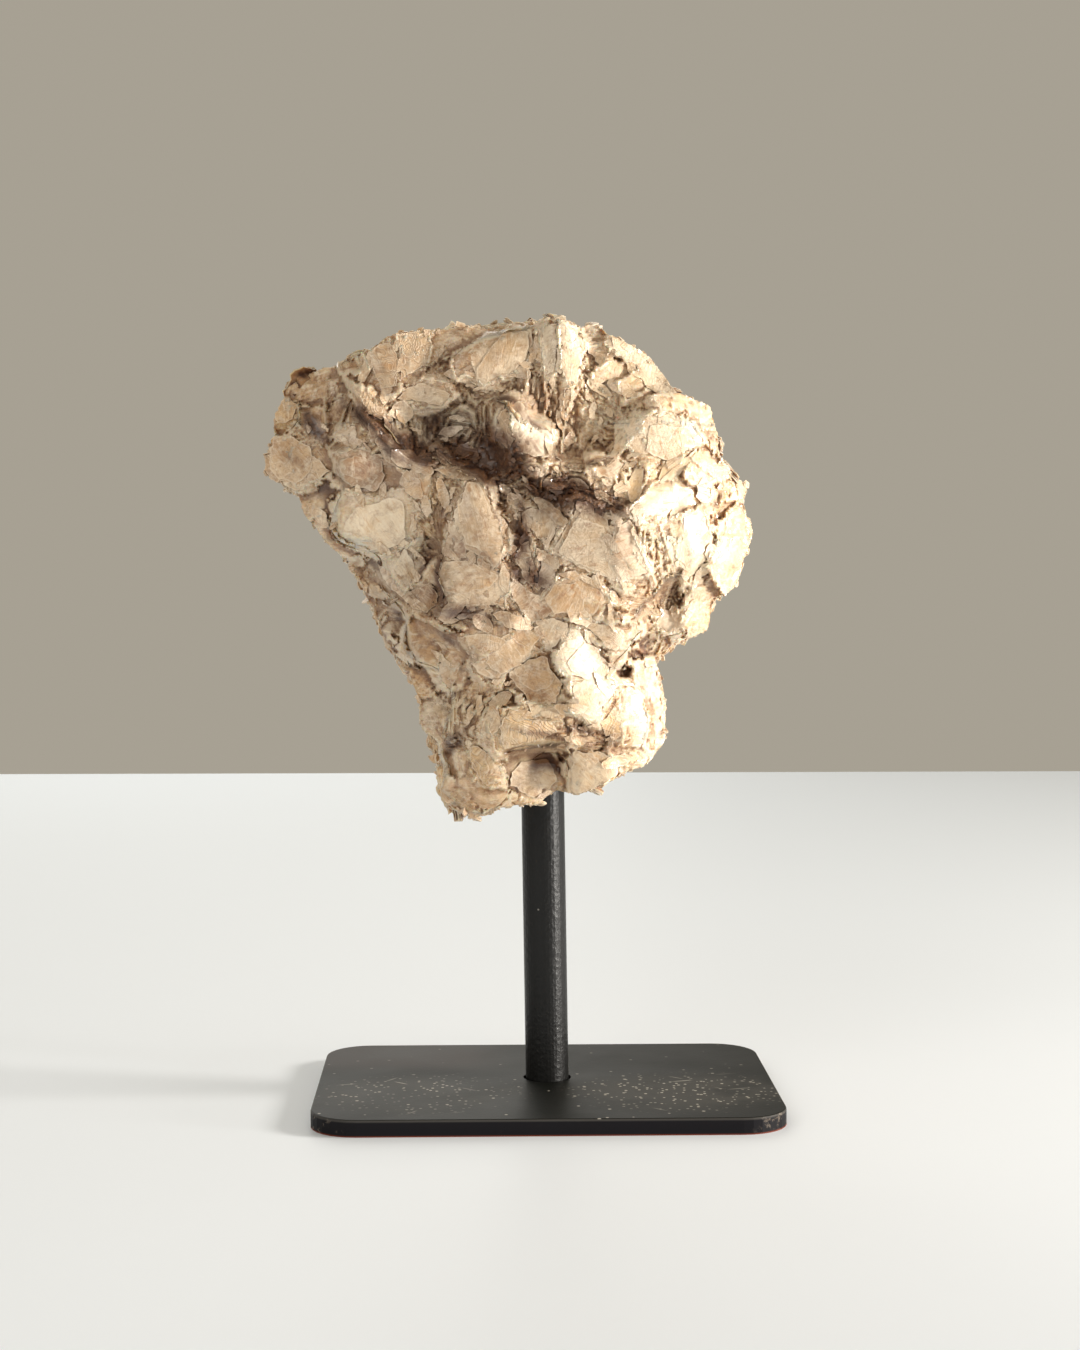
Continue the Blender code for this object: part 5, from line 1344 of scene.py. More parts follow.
    def face(self, index, entry, skirt):
        """A book with its face to the front: its skirt of lower leaves, or its top."""
        _, tint, surface, turn_and_tilt, ledges, outline = entry
        outline = np.array(outline, float)
        draw = np.random.default_rng(FACE_SEED + index)
        part = self.window(outline)
        x, z, jag = self.x[part], self.z[part], self.jag[part]
        rough = 1.2 if surface == "rough" else 0.75
        deep = inside_by(outline, x, z) + jag * rough + self.waver[part] * 0.3
        self.deepest[part] = np.maximum(self.deepest[part], deep)
        within = (deep > 0.0) & self.solid[part]
        if within.sum() < 4:
            return
        out = facing(*turn_and_tilt)
        cx, cz = outline.mean(0)
        base = self.smooth[part]
        middle = np.median(base[within])
        plane = middle + (out[0] * (x - cx) + out[2] * (z - cz)) / -out[1]
        plane = base - 0.1 + 2.4 * np.tanh((plane - base + 0.1) / 2.4)
        proud = step_at(self.level[part] - plane, 0.35, 0.35)
        plane = np.minimum(plane, self.level[part] + 0.05)
        size = math.sqrt(within.sum()) * MAP_STEP
        depth = plane + wash(x, z, 5.0, 100 + index) * 0.03 * size
        depth += wash(x, z, 1.6, 200 + index) * 0.07
        shade = self.tints[tint] * (1.0 + draw.normal(0.0, 0.04))
        block = (out, (cx, middle, cz))
        if skirt:
            self.skirt(index, part, deep, depth, proud, size, shade, block)
        else:
            depth = self.top(index, draw, part, deep, depth, proud, size, ledges, surface,
                             (cx, cz))
            shade = self.weathered(index, part, deep, proud, shade)
            self.lay(part, within, depth, self.owned(*block), shade, SURFACES[surface], True)

    def skirt(self, index, part, deep, depth, proud, size, shade, block):
        """Lower leaves that reach out from under a book, each further down."""
        x, z = self.x[part], self.z[part]
        reach = min(SKIRT_MOST, 1.2 + size * 0.18) * (0.6 + 0.8 * wash(x, z, 3.6, 500 + index))
        reach = reach * proud
        place = (wash(x, z, 1.7, 510 + index) * 0.25 - deep) / SKIRT_PITCH
        leaf = np.floor(place)
        drop = leaf + step_at(place - leaf, 0.78, 0.2)
        leaf = leaf.astype(np.int64)
        depth = depth + (0.35 + drop * SKIRT_PITCH * SKIRT_SLOPE)
        within = (deep <= 0.0) & (-deep < reach) & self.solid[part]
        within &= depth < self.depth[part]
        chance = hashed(leaf, leaf * 0, 520 + index)[..., None]
        warm = np.where(chance > 0.6, self.tints["golden"],
                        np.where(chance > 0.35, self.tints["tan"], self.tints["white"]))
        self.lay(part, within, depth, self.owned(*block), shade * 0.55 + warm * 0.42, (0.7, 0.3),
                 False)

    def top(self, index, draw, part, deep, depth, proud, size, ledges, surface, centre):
        """The depth of a book's face, with its broken rims, ledges and grooves."""
        x, z, jag = self.x[part], self.z[part], self.jag[part]
        cx, cz = centre
        for step in range(4):
            rim = 0.3 + step * draw.uniform(0.4, 0.85) + wash(x, z, 1.9, 300 + step) * 0.35
            depth += draw.uniform(0.08, 0.24) * proud * (
                1.0 - step_at(deep, rim + 0.2 * jag, 0.1))
        for step in range(ledges + 1):
            angle = draw.uniform(0.0, math.tau)
            run = (x - cx) * math.cos(angle) + (z - cz) * math.sin(angle)
            run = run + wash(x, z, 3.0, 400 + index * 3 + step) * 0.8 + jag * 0.5
            depth += draw.uniform(0.12, 0.3) * step_at(run, size * draw.uniform(0.05, 0.42), 0.1)
        angle = draw.uniform(0.0, math.tau)
        run = (x - cx) * math.cos(angle) + (z - cz) * math.sin(angle)
        place = (run + wash(x, z, 4.5, 620 + index) * 2.2) / (0.9 + size * 0.08)
        share = place - np.floor(place)
        depth += GROOVES[surface] * (np.minimum(share / 0.85, (1.0 - share) / 0.15) - 0.5)
        if surface in ("rough", "cracked"):
            depth -= jag * (0.28 if surface == "rough" else 0.1)
        return depth

    def weathered(self, index, part, deep, proud, shade):
        """A book's tint with warm stains on it and a fresh white rim."""
        x, z = self.x[part], self.z[part]
        stain = step_at(wash(x, z, 3.8, 640 + index) - deep * 0.12, 0.05, 0.5)[..., None] * 0.5
        warm = self.tints["golden" if index % 3 else "tan"]
        fresh = step_at(0.9 - deep + wash(x, z, 2.4, 660 + index), 0.5, 0.3) * proud * 0.6
        fresh = fresh[..., None]
        shade = shade * (1.0 - stain) + warm * stain
        return shade * (1.0 - fresh) + self.tints["white"] * fresh

    def ribs(self, index, entry):
        """A book seen on its edges: ridges along the leaves, each broken off elsewhere."""
        _, tint, grain, spacing, outline = entry
        outline = np.array(outline, float)
        part = self.window(outline)
        x, z, jag = self.x[part], self.z[part], self.jag[part]
        deep = inside_by(outline, x, z) + jag
        cx, cz = outline.mean(0)
        if isinstance(grain, tuple):
            arm = math.hypot(cx - grain[0], cz - grain[1])
            mean = math.atan2(cz - grain[1], cx - grain[0])
            angle = np.arctan2(z - grain[1], x - grain[0]) - mean
            over = (np.mod(angle + math.pi, math.tau) - math.pi) * arm
            along = np.hypot(x - grain[0], z - grain[1])
            grain = math.degrees(mean)
        else:
            angle = math.radians(grain)
            over = (z - cz) * math.cos(angle) - (x - cx) * math.sin(angle)
            along = (x - cx) * math.cos(angle) + (z - cz) * math.sin(angle)
        over = over + wash(over * 0.6, along * 0.25, 1.0, 600 + index) * 0.55
        place = over / (spacing * 1.25)
        leaf = np.floor(place)
        share = place - leaf
        leaf = leaf.astype(np.int64)
        off = np.zeros_like(leaf)
        end = deep - hashed(leaf, off, 700 + index) * 1.3 + wash(along, over, 1.0, 71) * 0.3
        within = (deep > 0.0) & self.solid[part]
        if within.sum() < 4:
            return
        edge = np.minimum(share / 0.7, (1.0 - share) / 0.3)
        ridge = (edge - 0.5) * 0.8 + (hashed(leaf, off, 800 + index) - 0.5) * 1.2
        ridge += wash(along, over * 3.0, 1.3, 72) * 0.2
        ridge = np.where(end > 0.0, ridge, -0.9)
        depth = self.smooth[part] + 0.1 - ridge
        angle = math.radians(grain)
        owner = self.owned((-math.sin(angle), -0.15, math.cos(angle)), (cx, 0.0, cz))
        shade = self.tints[tint] * (0.8 + 0.35 * hashed(leaf, off, 900 + index))[..., None]
        self.lay(part, within, depth, owner, shade, (0.9, 0.2), True)

    def stain(self):
        """Work out ridges and hollows, paint shade on the quietened steep parts, lay stains and
        painted light.
        """
        height = self.smooth - self.depth
        near = height - self.softened(height, 0.6)
        wide = height - self.softened(height, 3.2)
        # The relief mark: high on ridges, painted as highlight; low in recesses, painted as
        # shade.
        self.relief = np.clip(0.5 + near * 1.2 + wide * 0.1, 0.0, 1.0)
        inner = step_at(blurred(self.solid * 1.0, 3.0), 0.93, 0.06)
        valley = (self.softened(self.base, 0.9) - self.softened(self.base, 5.0)) * inner
        lift = np.gradient(self.softened(self.base, 0.5), MAP_STEP)
        deeper = step_at(blurred(self.solid * 1.0, 5.0), 0.97, 0.03)
        self.steep = np.clip(blurred(step_at(np.hypot(lift[0], lift[1]), STEEP, 0.8), 0.6)
                             * 1.4, 0.0, 1.0) * deeper
        # Painted shade: the steep walls take umber.
        shaded = self.steep[..., None] * 0.9
        self.tint = self.tint * (1.0 - shaded) + self.tints["umber"] * shaded
        self.depth += (self.softened(self.depth, 1.5) - self.depth) * self.steep
        self.relief += (0.45 - self.relief) * self.steep
        self.streak, self.crumb = self.streak * (1.0 - self.steep), self.crumb + self.steep * 0.4
        # Painted shade in the hollows: the valley, the cavities and the steep walls.
        self.hollow = np.clip(np.maximum(valley * 0.09 - wide * 0.22, self.steep * 0.5), 0.0,
                              0.7)
        self.gentle = self.softened(self.depth, 0.7)
        wander = wash(self.x, self.z, 4.0, 95) * 1.6
        # Stains, painted shade (more hollow) and painted highlight (below 0 depth: less hollow,
        # higher relief).
        for _, tint, (sx, sz), (long, short), turn, depth, cover in STAINS_SHADE_AND_LIGHT:
            angle = math.radians(turn)
            dx, dz = self.x - sx, self.z - sz
            u = (dx * math.cos(angle) + dz * math.sin(angle) + wander) / long
            v = (dz * math.cos(angle) - dx * math.sin(angle) + wander * 0.6)
            v = v / (short * STAIN_WIDER)
            spot = np.exp(-(u * u + v * v) * 0.8)
            spot = np.clip(spot * (1.0 + 0.5 * self.jag), 0.0, 1.0)
            self.hollow *= 1.0 + min(depth, 0.0) * spot
            self.relief += np.maximum(0.55 - self.relief, 0.0) * spot * max(-depth, 0.0)
            self.hollow = np.maximum(self.hollow, spot * depth)
            mix = (spot * cover)[..., None]
            self.tint = self.tint * (1.0 - mix) + self.tints[tint] * mix

    def spots(self, points):
        """Each point's place on the map, and the part of a step past it."""
        share = (DRAWING_PLANE - EYE[1]) / (points[:, 1] - EYE[1])
        drawn = EYE + (points - EYE) * share[:, None]
        return self.drawn_spots(drawn[:, (0, 2)])

    def drawn_spots(self, drawn):
        """Each drawn point's place on the map, and the part of a step past it."""
        high = np.array(self.x.shape)[::-1] - 2.001
        place = np.clip((drawn - MAP_LOW) / MAP_STEP, 0.0, high)
        whole = place.astype(int)
        return whole[:, 1], whole[:, 0], place - whole

    def read(self, values, points):
        """Map values at points, blended between the four nearest."""
        return blended(values, *self.spots(points))

    def between(self, inside):
        """Where small leaves lie: all but the insides of the books' faces."""
        return self.solid & (self.deepest < inside)

    def at(self, values, drawn):
        """Map values at drawn points, from the nearest spot of the map."""
        place = np.rint((drawn - MAP_LOW) / MAP_STEP).astype(int)
        high = np.array(self.x.shape)[::-1] - 1
        place = np.clip(place, 0, high)
        return values[place[:, 1], place[:, 0]]

    def on(self, drawn, lift):
        """Points over the relief at drawn points, lifted towards the eye."""
        depth = blended(self.gentle, *self.drawn_spots(drawn)) - lift
        flat = np.column_stack((drawn[:, 0], np.full(len(drawn), DRAWING_PLANE), drawn[:, 1]))
        return EYE + (flat - EYE) * ((depth - EYE[1]) / (DRAWING_PLANE - EYE[1]))[:, None]

    def share(self, points, normals):
        """How far each point belongs to the front."""
        sight = unit_rows(EYE - points)
        open_face = step_at(np.sum(sight * normals, axis=1), 0.08, 0.08)
        behind = points[:, 1] - self.read(self.smooth, points)
        solid = self.read(self.solid * 1.0, points)
        return open_face * (1.0 - step_at(behind, FRONT_REACH, 1.0)) * step_at(solid, 0.75, 0.2)

    def moved(self, points):
        """Points slid along their lines of sight onto the relief."""
        depth = self.read(self.depth, points)
        return EYE + (points - EYE) * ((depth - EYE[1]) / (points[:, 1] - EYE[1]))[:, None]


# ---- leaves draped over the front ----------------------------------------------
LEAF_RINGS = (0.0, 0.35, 0.7, 0.92, 1.0)
PALE_LEAF = (0.93, 0.86, 0.78)
TOP_LEAF_SEED = 7000
# How much of a leaf's tint is the relief's under it.
TINT_FROM_BELOW = 0.7


def draped(growth, front, outline, tint, marks, lift, thick, rise, draw, bridge):
    """A thin leaf that follows the relief, with one side lifted off it."""
    rim, _ = ragged(outline, draw, 0.28)
    centre = rim.mean(0)
    for _ in range(4):
        rim = np.where(front.at(front.solid, rim)[:, None], rim, centre + (rim - centre) * 0.8)
    if not front.at(front.solid, rim).all():
        return
    if np.std(front.at(front.depth, rim)) > bridge:
        return
    count = len(rim)
    shift, turn = draw.uniform(-SHEET_SHIFT, SHEET_SHIFT, 3), spun(draw.uniform(0.0, math.tau))
    flats = [centre + (rim - centre) * share for share in LEAF_RINGS[1:]]
    flats += [rim, centre + (rim - centre) * 0.6]
    unders = [0.0] * (len(LEAF_RINGS) - 1) + [thick, thick + 0.25]
    # Relief marks of the rings: high at the rim, painted as highlight; low under the leaf,
    # painted as shade.
    edges = [0.5, 0.5, 0.6, 0.85, 0.6, 0.3]
    points, sheets = [], []
    for flat, under in zip(flats + [centre[None], centre[None]], unders + [0.0, thick + 0.25]):
        raised = lift - under + np.maximum((flat - centre) @ rise, 0.0)
        points.append(front.on(flat, raised))
        sheets.append(np.column_stack(((flat - centre) @ turn, np.full(len(flat), -under))))
    sizes = [len(flat) for flat in points]
    look = np.column_stack((np.full(sum(sizes), marks[0]), np.full(sum(sizes), marks[1]),
                            np.repeat(edges + [0.5, 0.1], sizes)))
    drawn = np.concatenate(flats + [centre[None], centre[None]])
    # Painted shading: each leaf is paler towards one side.
    fade = (drawn - centre) @ turn[0] / max(np.ptp(rim, 0).max(), 1.0) * 0.3
    tint = front.at(front.tint, drawn) * TINT_FROM_BELOW + tint * 0.3
    tint = tint + (np.array(PALE_LEAF) - tint) * (0.15 + fade)[:, None].clip(0.0, 0.5)
    first = growth.add(np.concatenate(points), np.concatenate(sheets) + shift, tint, look)
    # Painted shade, taken from the relief under the leaf.
    growth.shut.append(np.clip(front.at(front.hollow, drawn) - 0.08, 0.0, 1.0))
    crown = first + len(flats) * count
    growth.fan(crown, first, count, 0.0)
    for ring in range(1, len(flats)):
        wall = 1.0 if ring == len(LEAF_RINGS) - 1 else 0.0
        growth.band(first + (ring - 1) * count, first + ring * count, count, wall)
    growth.foot(crown + 1, first + (len(flats) - 1) * count, count, 0.0)


def book_leaves(growth, front, tints, index, entry):
    """The top leaves of a drawn book, each broken off further back."""
    _, tint, surface, _, _, outline = entry
    outline = np.array(outline, float)
    centre = outline.mean(0)
    size = math.sqrt(np.ptp(outline[:, 0]) * np.ptp(outline[:, 1]))
    draw = np.random.default_rng(TOP_LEAF_SEED + index)
    bridge = 0.8 + size * 0.1
    for layer in range(int(size > 5.0) + int(size > 10.0)):
        grown = 0.98 - layer * draw.uniform(0.1, 0.2)
        line = (outline - centre) * grown
        for _ in range(1 + layer):
            way = unit(draw.normal(size=2))
            line = cut_back(line, way, (line @ way).max() * draw.uniform(0.35, 0.95))
        line = centre + line + draw.uniform(-0.05, 0.05, 2) * size
        shade = tints[tint] * draw.uniform(0.92, 1.06)
        draped(growth, front, line, shade, SURFACES[surface], 0.12 + 0.17 * layer,
               draw.uniform(0.12, 0.2), unit(draw.normal(size=2)) * draw.uniform(0.0, 0.05),
               draw, bridge)


def small_leaves(growth, front, tints, gap, sizes, room, seed):
    """Small leaves over the rubble and round the rims of the books."""
    draw = np.random.default_rng(seed)
    row, column = np.nonzero(room)
    spots = np.column_stack((front.x[row, column], front.z[row, column]))
    flat = np.column_stack((spots, np.zeros(len(spots))))
    for index in spread(flat, gap, draw).tolist():
        spot = spots[index]
        radius = draw.uniform(*sizes)
        slope = front.flow[row[index], column[index]] + draw.normal(0.0, 0.25)
        along = np.array((math.cos(slope), math.sin(slope)))
        shape = strewn_outline(draw, radius) * (draw.uniform(1.1, 1.8), draw.uniform(0.35, 0.8))
        outline = spot + shape @ np.array((along, (-along[1], along[0])))
        tint = front.tint[row[index], column[index]] * draw.uniform(0.85, 1.1)
        tint = tint + (tints["white"] - tint) * draw.uniform(0.0, 0.6)
        rise = unit(draw.normal(size=2)) * draw.uniform(0.0, 0.45)
        draped(growth, front, outline, tint, (0.5, 0.3), draw.uniform(0.05, 0.45),
               draw.uniform(0.1, 0.22), rise, draw, 0.3 + radius * 0.25)


# ---- strewn books ------------------------------------------------------------
STREWN_GAP = 5.2
STREWN_SURFACES = ("smooth", "smooth", "streaky", "rough", "cracked")
# How far a strewn book stays off the post's axis, and over its top.
POST_CLEARANCE = 9.0
TOP_CLEARANCE = 2.0


def strewn_outline(draw, radius):
    """An uneven flat outline round the middle."""
    corners = int(draw.integers(5, 9))
    turn = np.arange(corners) + draw.uniform(-0.3, 0.3, corners)
    turn = turn * math.tau / corners
    reach = radius * draw.uniform(0.78, 1.1, corners)
    slim = draw.uniform(0.6, 1.0)
    flat = np.column_stack((np.cos(turn) * reach, np.sin(turn) * reach * slim))
    return flat @ spun(draw.uniform(0.0, math.tau))


def pick_tint(draw, tints):
    """One of the strewn tints, by how often it comes."""
    names = [name for name, _ in STREWN_TINTS]
    odds = np.array([odd for _, odd in STREWN_TINTS])
    return tints[names[int(draw.choice(len(names), p=odds / odds.sum()))]]


def strewn_places(skin, points, normals, draw, count):
    """Where strewn books sit: the sides, the back and the top, clear of the post."""
    foot, top = post_axis()
    chosen = spread(points, STREWN_GAP, draw)
    kept = []
    for index in chosen.tolist():
        point, normal = points[index], normals[index]
        sight = unit(EYE - point)
        axis = foot + (top - foot) * (point[2] - foot[2]) / (top[2] - foot[2])
        near_post = (point[2] < top[2] + TOP_CLEARANCE
                     and np.linalg.norm((point - axis)[:2]) < POST_CLEARANCE)
        hit = skin.ray_cast(Vector(EYE), Vector(-sight))[3]
        if near_post or hit is None or hit > np.linalg.norm(point - EYE) - 1.5:
            continue
        kept.append((point, normal))
    return kept[:count]


def strewn_book(growth, skin, front, tints, place, sizes, draw):
    """A book of the sides or the back, kept close to the solid's skin."""
    point, normal = place
    radius = draw.uniform(sizes[0], sizes[1])
    out = unit(normal + draw.normal(size=3) * 0.3)
    right, up = across(out)
    outline = strewn_outline(draw, radius)
    corners = point + outline[:, :1] * right + outline[:, 1:] * up
    if front.share(corners, np.broadcast_to(unit(EYE - point), corners.shape)).max() > 0.1:
        return
    proud = -9.0
    for corner in corners:
        near, face_normal, _, _ = skin.find_nearest(Vector(corner))
        proud = max(proud, float((Vector(corner) - near) @ face_normal))
    middle = point - out * (max(proud - 0.7, 0.0) - 0.15)
    surface = STREWN_SURFACES[int(draw.integers(0, len(STREWN_SURFACES)))]
    book(growth, middle, out, outline, pick_tint(draw, tints), surface,
         int(draw.integers(1, 4)), draw, sizes[2])


# ---- painted shade in the hollows --------------------------------------------
HOLLOW_RAYS = 4
HOLLOW_REACH = 9.0


def hollows(points, normals, tree, draw):
    """How shut in each point is, from 0 in the open to 1 deep among the books; laid on as painted
    shade.
    """
    ways = unit_rows(draw.normal(size=(HOLLOW_RAYS, 3)))
    found = np.zeros(len(points))
    for way in ways:
        toward = unit_rows(normals * 1.1 + way)
        starts = points + normals * 0.25
        found += [0.0 if hit is None else max(0.0, 1.0 - hit / HOLLOW_REACH)
                  for hit in (tree.ray_cast(start, ray, HOLLOW_REACH)[3]
                              for start, ray in zip(starts.tolist(), toward.tolist()))]
    return found / HOLLOW_RAYS


def soup(meshes):
    """One search tree of several meshes, in millimetres."""
    points, faces, count = [], [], 0
    for mesh in meshes:
        mesh.calc_loop_triangles()
        corners = np.zeros(len(mesh.loop_triangles) * 3, np.int32)
        mesh.loop_triangles.foreach_get("vertices", corners)
        faces.append(corners.reshape(-1, 3) + count)
        points.append(read(mesh) / MM)
        count += len(mesh.vertices)
    return BVHTree.FromPolygons(np.concatenate(points).tolist(),
                                np.concatenate(faces).tolist())


# ---- materials ---------------------------------------------------------------
class Value:
    """A number that a shader works out, so that maths on it adds Math nodes."""

    def __init__(self, finish, link):
        self.finish, self.link = finish, link

    def _with(self, operation, first, second):
        return self.finish.node("ShaderNodeMath", {"operation": operation},
                                {0: first, 1: second})

    def __add__(self, other):
        return self._with("ADD", self, other)

    def __radd__(self, other):
        return self._with("ADD", other, self)

    def __sub__(self, other):
        return self._with("SUBTRACT", self, other)

    def __rsub__(self, other):
        return self._with("SUBTRACT", other, self)

    def __mul__(self, other):
        return self._with("MULTIPLY", self, other)

    def __rmul__(self, other):
        return self._with("MULTIPLY", other, self)

    def clipped(self):
        """The number kept from 0 to 1."""
        return self.finish.node("ShaderNodeClamp", {}, {"Value": self})


class Finish:
    """One material and its nodes."""

    def __init__(self, name):
        self.material = bpy.data.materials.new(name)
        self.material.use_nodes = True
        self.tree = self.material.node_tree
        self.tree.nodes.clear()

    def node(self, kind, settings, values, out=0):
        """Any node: its settings first, then its sockets' values or links."""
        node = self.tree.nodes.new(kind)
        for key, setting in settings.items():
            setattr(node, key, setting)
        for key, value in values.items():
            if isinstance(value, Value):
                self.tree.links.new(value.link, node.inputs[key])
            else:
                node.inputs[key].default_value = value
        return Value(self, node.outputs[out] if node.outputs else None)

    def attribute(self, name, out="Vector"):
        """An attribute of the mesh."""
        return self.node("ShaderNodeAttribute", {"attribute_name": name}, {}, out)

    def scaled(self, vector, factors):
        """A vector with each part scaled."""
        return self.node("ShaderNodeVectorMath", {"operation": "MULTIPLY"},
                         {0: vector, 1: factors})

    def moved(self, vector, by):
        """The sum of two vectors."""
        return self.node("ShaderNodeVectorMath", {"operation": "ADD"}, {0: vector, 1: by})

    def part(self, vector, axis):
        """One part of a vector: 0, 1 or 2."""
        return self.node("ShaderNodeSeparateXYZ", {}, {0: vector}, axis)

    def noise(self, vector, scale=1.0, detail=3.0, roughness=0.55, distortion=0.0, out=0):
        """Cloudy noise."""
        return self.node("ShaderNodeTexNoise", {}, {
            "Vector": vector, "Scale": scale, "Detail": detail, "Roughness": roughness,
            "Distortion": distortion}, out)

    def cells(self, vector, scale, feature="F1", randomness=1.0):
        """Distances in a field of random cells."""
        return self.node("ShaderNodeTexVoronoi", {"feature": feature}, {
            "Vector": vector, "Scale": scale, "Randomness": randomness})

    def ramp(self, value, low, high):
        """0 below low, 1 above high and smooth between."""
        return self.node("ShaderNodeMapRange", {"interpolation_type": "SMOOTHSTEP"}, {
            "Value": value, "From Min": low, "From Max": high})

    def mix(self, factor, first, second, blend="MIX"):
        """A blend of two colours."""
        first, second = (value if isinstance(value, Value) else (*value, 1.0)
                         for value in (first, second))
        return self.node("ShaderNodeMix", {"data_type": "RGBA", "blend_type": blend}, {
            0: factor, 6: first, 7: second}, 2)

    def bump(self, height, distance, strength):
        """A normal that follows a height."""
        return self.node("ShaderNodeBump", {}, {
            "Height": height, "Distance": distance, "Strength": strength})

    def surface(self, values):
        """End in a Principled shader."""
        shader = self.node("ShaderNodeBsdfPrincipled", {}, values)
        self.node("ShaderNodeOutputMaterial", {}, {"Surface": shader})
        return self.material


def mica_material(name, colours, deep):
    """Pearly leaves, laminated broken edges, painted shade with a brown stain in the hollows, and
    painted highlights on ridges.
    """
    made = Finish(name)
    sheet = made.attribute("sheet")
    tint = made.attribute("tint")
    wall = made.attribute("wall", "Fac")
    hollow = made.attribute("hollow", "Fac")
    look = made.attribute("look")
    streak, crumb, relief = (made.part(look, axis) for axis in (0, 1, 2))

    layers = made.noise(made.scaled(sheet, (0.07, 0.07, 3.4)), detail=3.0, roughness=0.7)
    fine_layers = made.noise(made.scaled(sheet, (0.16, 0.16, 9.0)), detail=2.0)
    bands = made.ramp(layers * 0.65 + fine_layers * 0.35, 0.38, 0.62)
    clouds_wide = made.noise(made.scaled(sheet, (0.15, 0.15, 0.4)), detail=4.0, roughness=0.6)
    clouds_near = made.noise(made.scaled(sheet, (0.6, 0.6, 0.6)), detail=4.0, roughness=0.65)
    streaks = made.noise(made.scaled(sheet, (0.22, 2.4, 0.5)), detail=3.0, roughness=0.65,
                         distortion=0.25)
    crumbs = made.noise(made.scaled(sheet, (1.5, 1.5, 1.5)), detail=4.0, roughness=0.7)
    contour = made.noise(made.scaled(sheet, (0.16, 0.1, 0.16)), detail=1.5, distortion=0.5) * 26.0
    saw = made.node("ShaderNodeMath", {"operation": "FRACT"}, {0: contour})
    lines = made.ramp(saw, 0.72, 0.98)
    glints = made.ramp(saw, 0.5, 0.72) * (1.0 - lines)
    veil = made.noise(made.scaled(sheet, (0.3, 0.3, 0.3)), detail=6.0, roughness=0.72,
                      distortion=0.4)
    drift = made.noise(made.scaled(sheet, (0.3, 1.3, 0.5)), detail=5.0, roughness=0.7,
                       distortion=0.8)
    stained = made.mix(made.ramp(clouds_wide, 0.46, 0.7) * 0.6, tint, colours["golden"],
                       "MULTIPLY")
    stained = made.mix(made.ramp(veil, 0.44, 0.66) * 0.75, stained, colours["shade"],
                       "MULTIPLY")
    pale = made.mix(made.ramp(clouds_near, 0.45, 0.7) * 0.5, stained, colours["white"])
    pale = made.mix(made.ramp(drift, 0.55, 0.7) * 0.6, pale, colours["white"])
    pale = made.mix((1.0 - made.ramp(drift, 0.3, 0.45)) * 0.6, pale, colours["amber"],
                    "MULTIPLY")
    face = made.mix(made.ramp(streaks, 0.5, 0.72) * streak * 0.6, pale, colours["edge"],
                    "MULTIPLY")
    face = made.mix(made.ramp(crumbs, 0.52, 0.72) * crumb * 0.5, face, colours["edge"],
                    "MULTIPLY")
    broken = made.mix(bands, made.mix(0.6, tint, colours["edge"], "MULTIPLY"),
                      made.mix(0.5, tint, colours["white"]))
    face = made.mix(lines * (0.02 + streak * 0.4), face, colours["edge"], "MULTIPLY")
    face = made.mix(glints * (0.04 + streak * 0.3), face, colours["white"])
    base = made.mix(wall * 0.8, face, broken)
    # Painted highlight where the relief mark is high, on ridges and rims; painted shade where it
    # is low, in recesses and under leaves.
    base = made.mix(made.ramp(relief, 0.58, 0.85) * 0.45, base, colours["white"])
    base = made.mix((1.0 - made.ramp(relief, 0.1, 0.46)) * 0.55, base, colours["edge"],
                    "MULTIPLY")
    # Painted shade with a brown stain, by how shut in each point lies.
    base = made.mix(made.ramp(hollow, 0.08, 0.6), base, colours["hollow"], "MULTIPLY")
    base = made.mix(1.0, base, colours["warmth"], "MULTIPLY")

    height = (bands * wall * 0.9 + streaks * streak * 0.5 + clouds_near * 0.35
              + saw * (1.0 - lines) * (0.04 + streak * 0.6) + drift * 0.8 + veil * 0.5
              + crumbs * (crumb * 0.8 + 0.08))
    return made.surface({
        "Base Color": base,
        "Roughness": 0.3 + wall * 0.22 + crumb * 0.12 + clouds_near * 0.16,
        "Coat Weight": (0.65 - wall * 0.45) * (1.0 - crumb * 0.5),
        "Coat Roughness": 0.14,
        "IOR": 1.56,
        "Subsurface Weight": deep,
        "Subsurface Radius": (1.0, 0.6, 0.32),
        "Subsurface Scale": 2.6 * MM,
        "Normal": made.bump(height, 0.26 * MM, 0.9),
    })


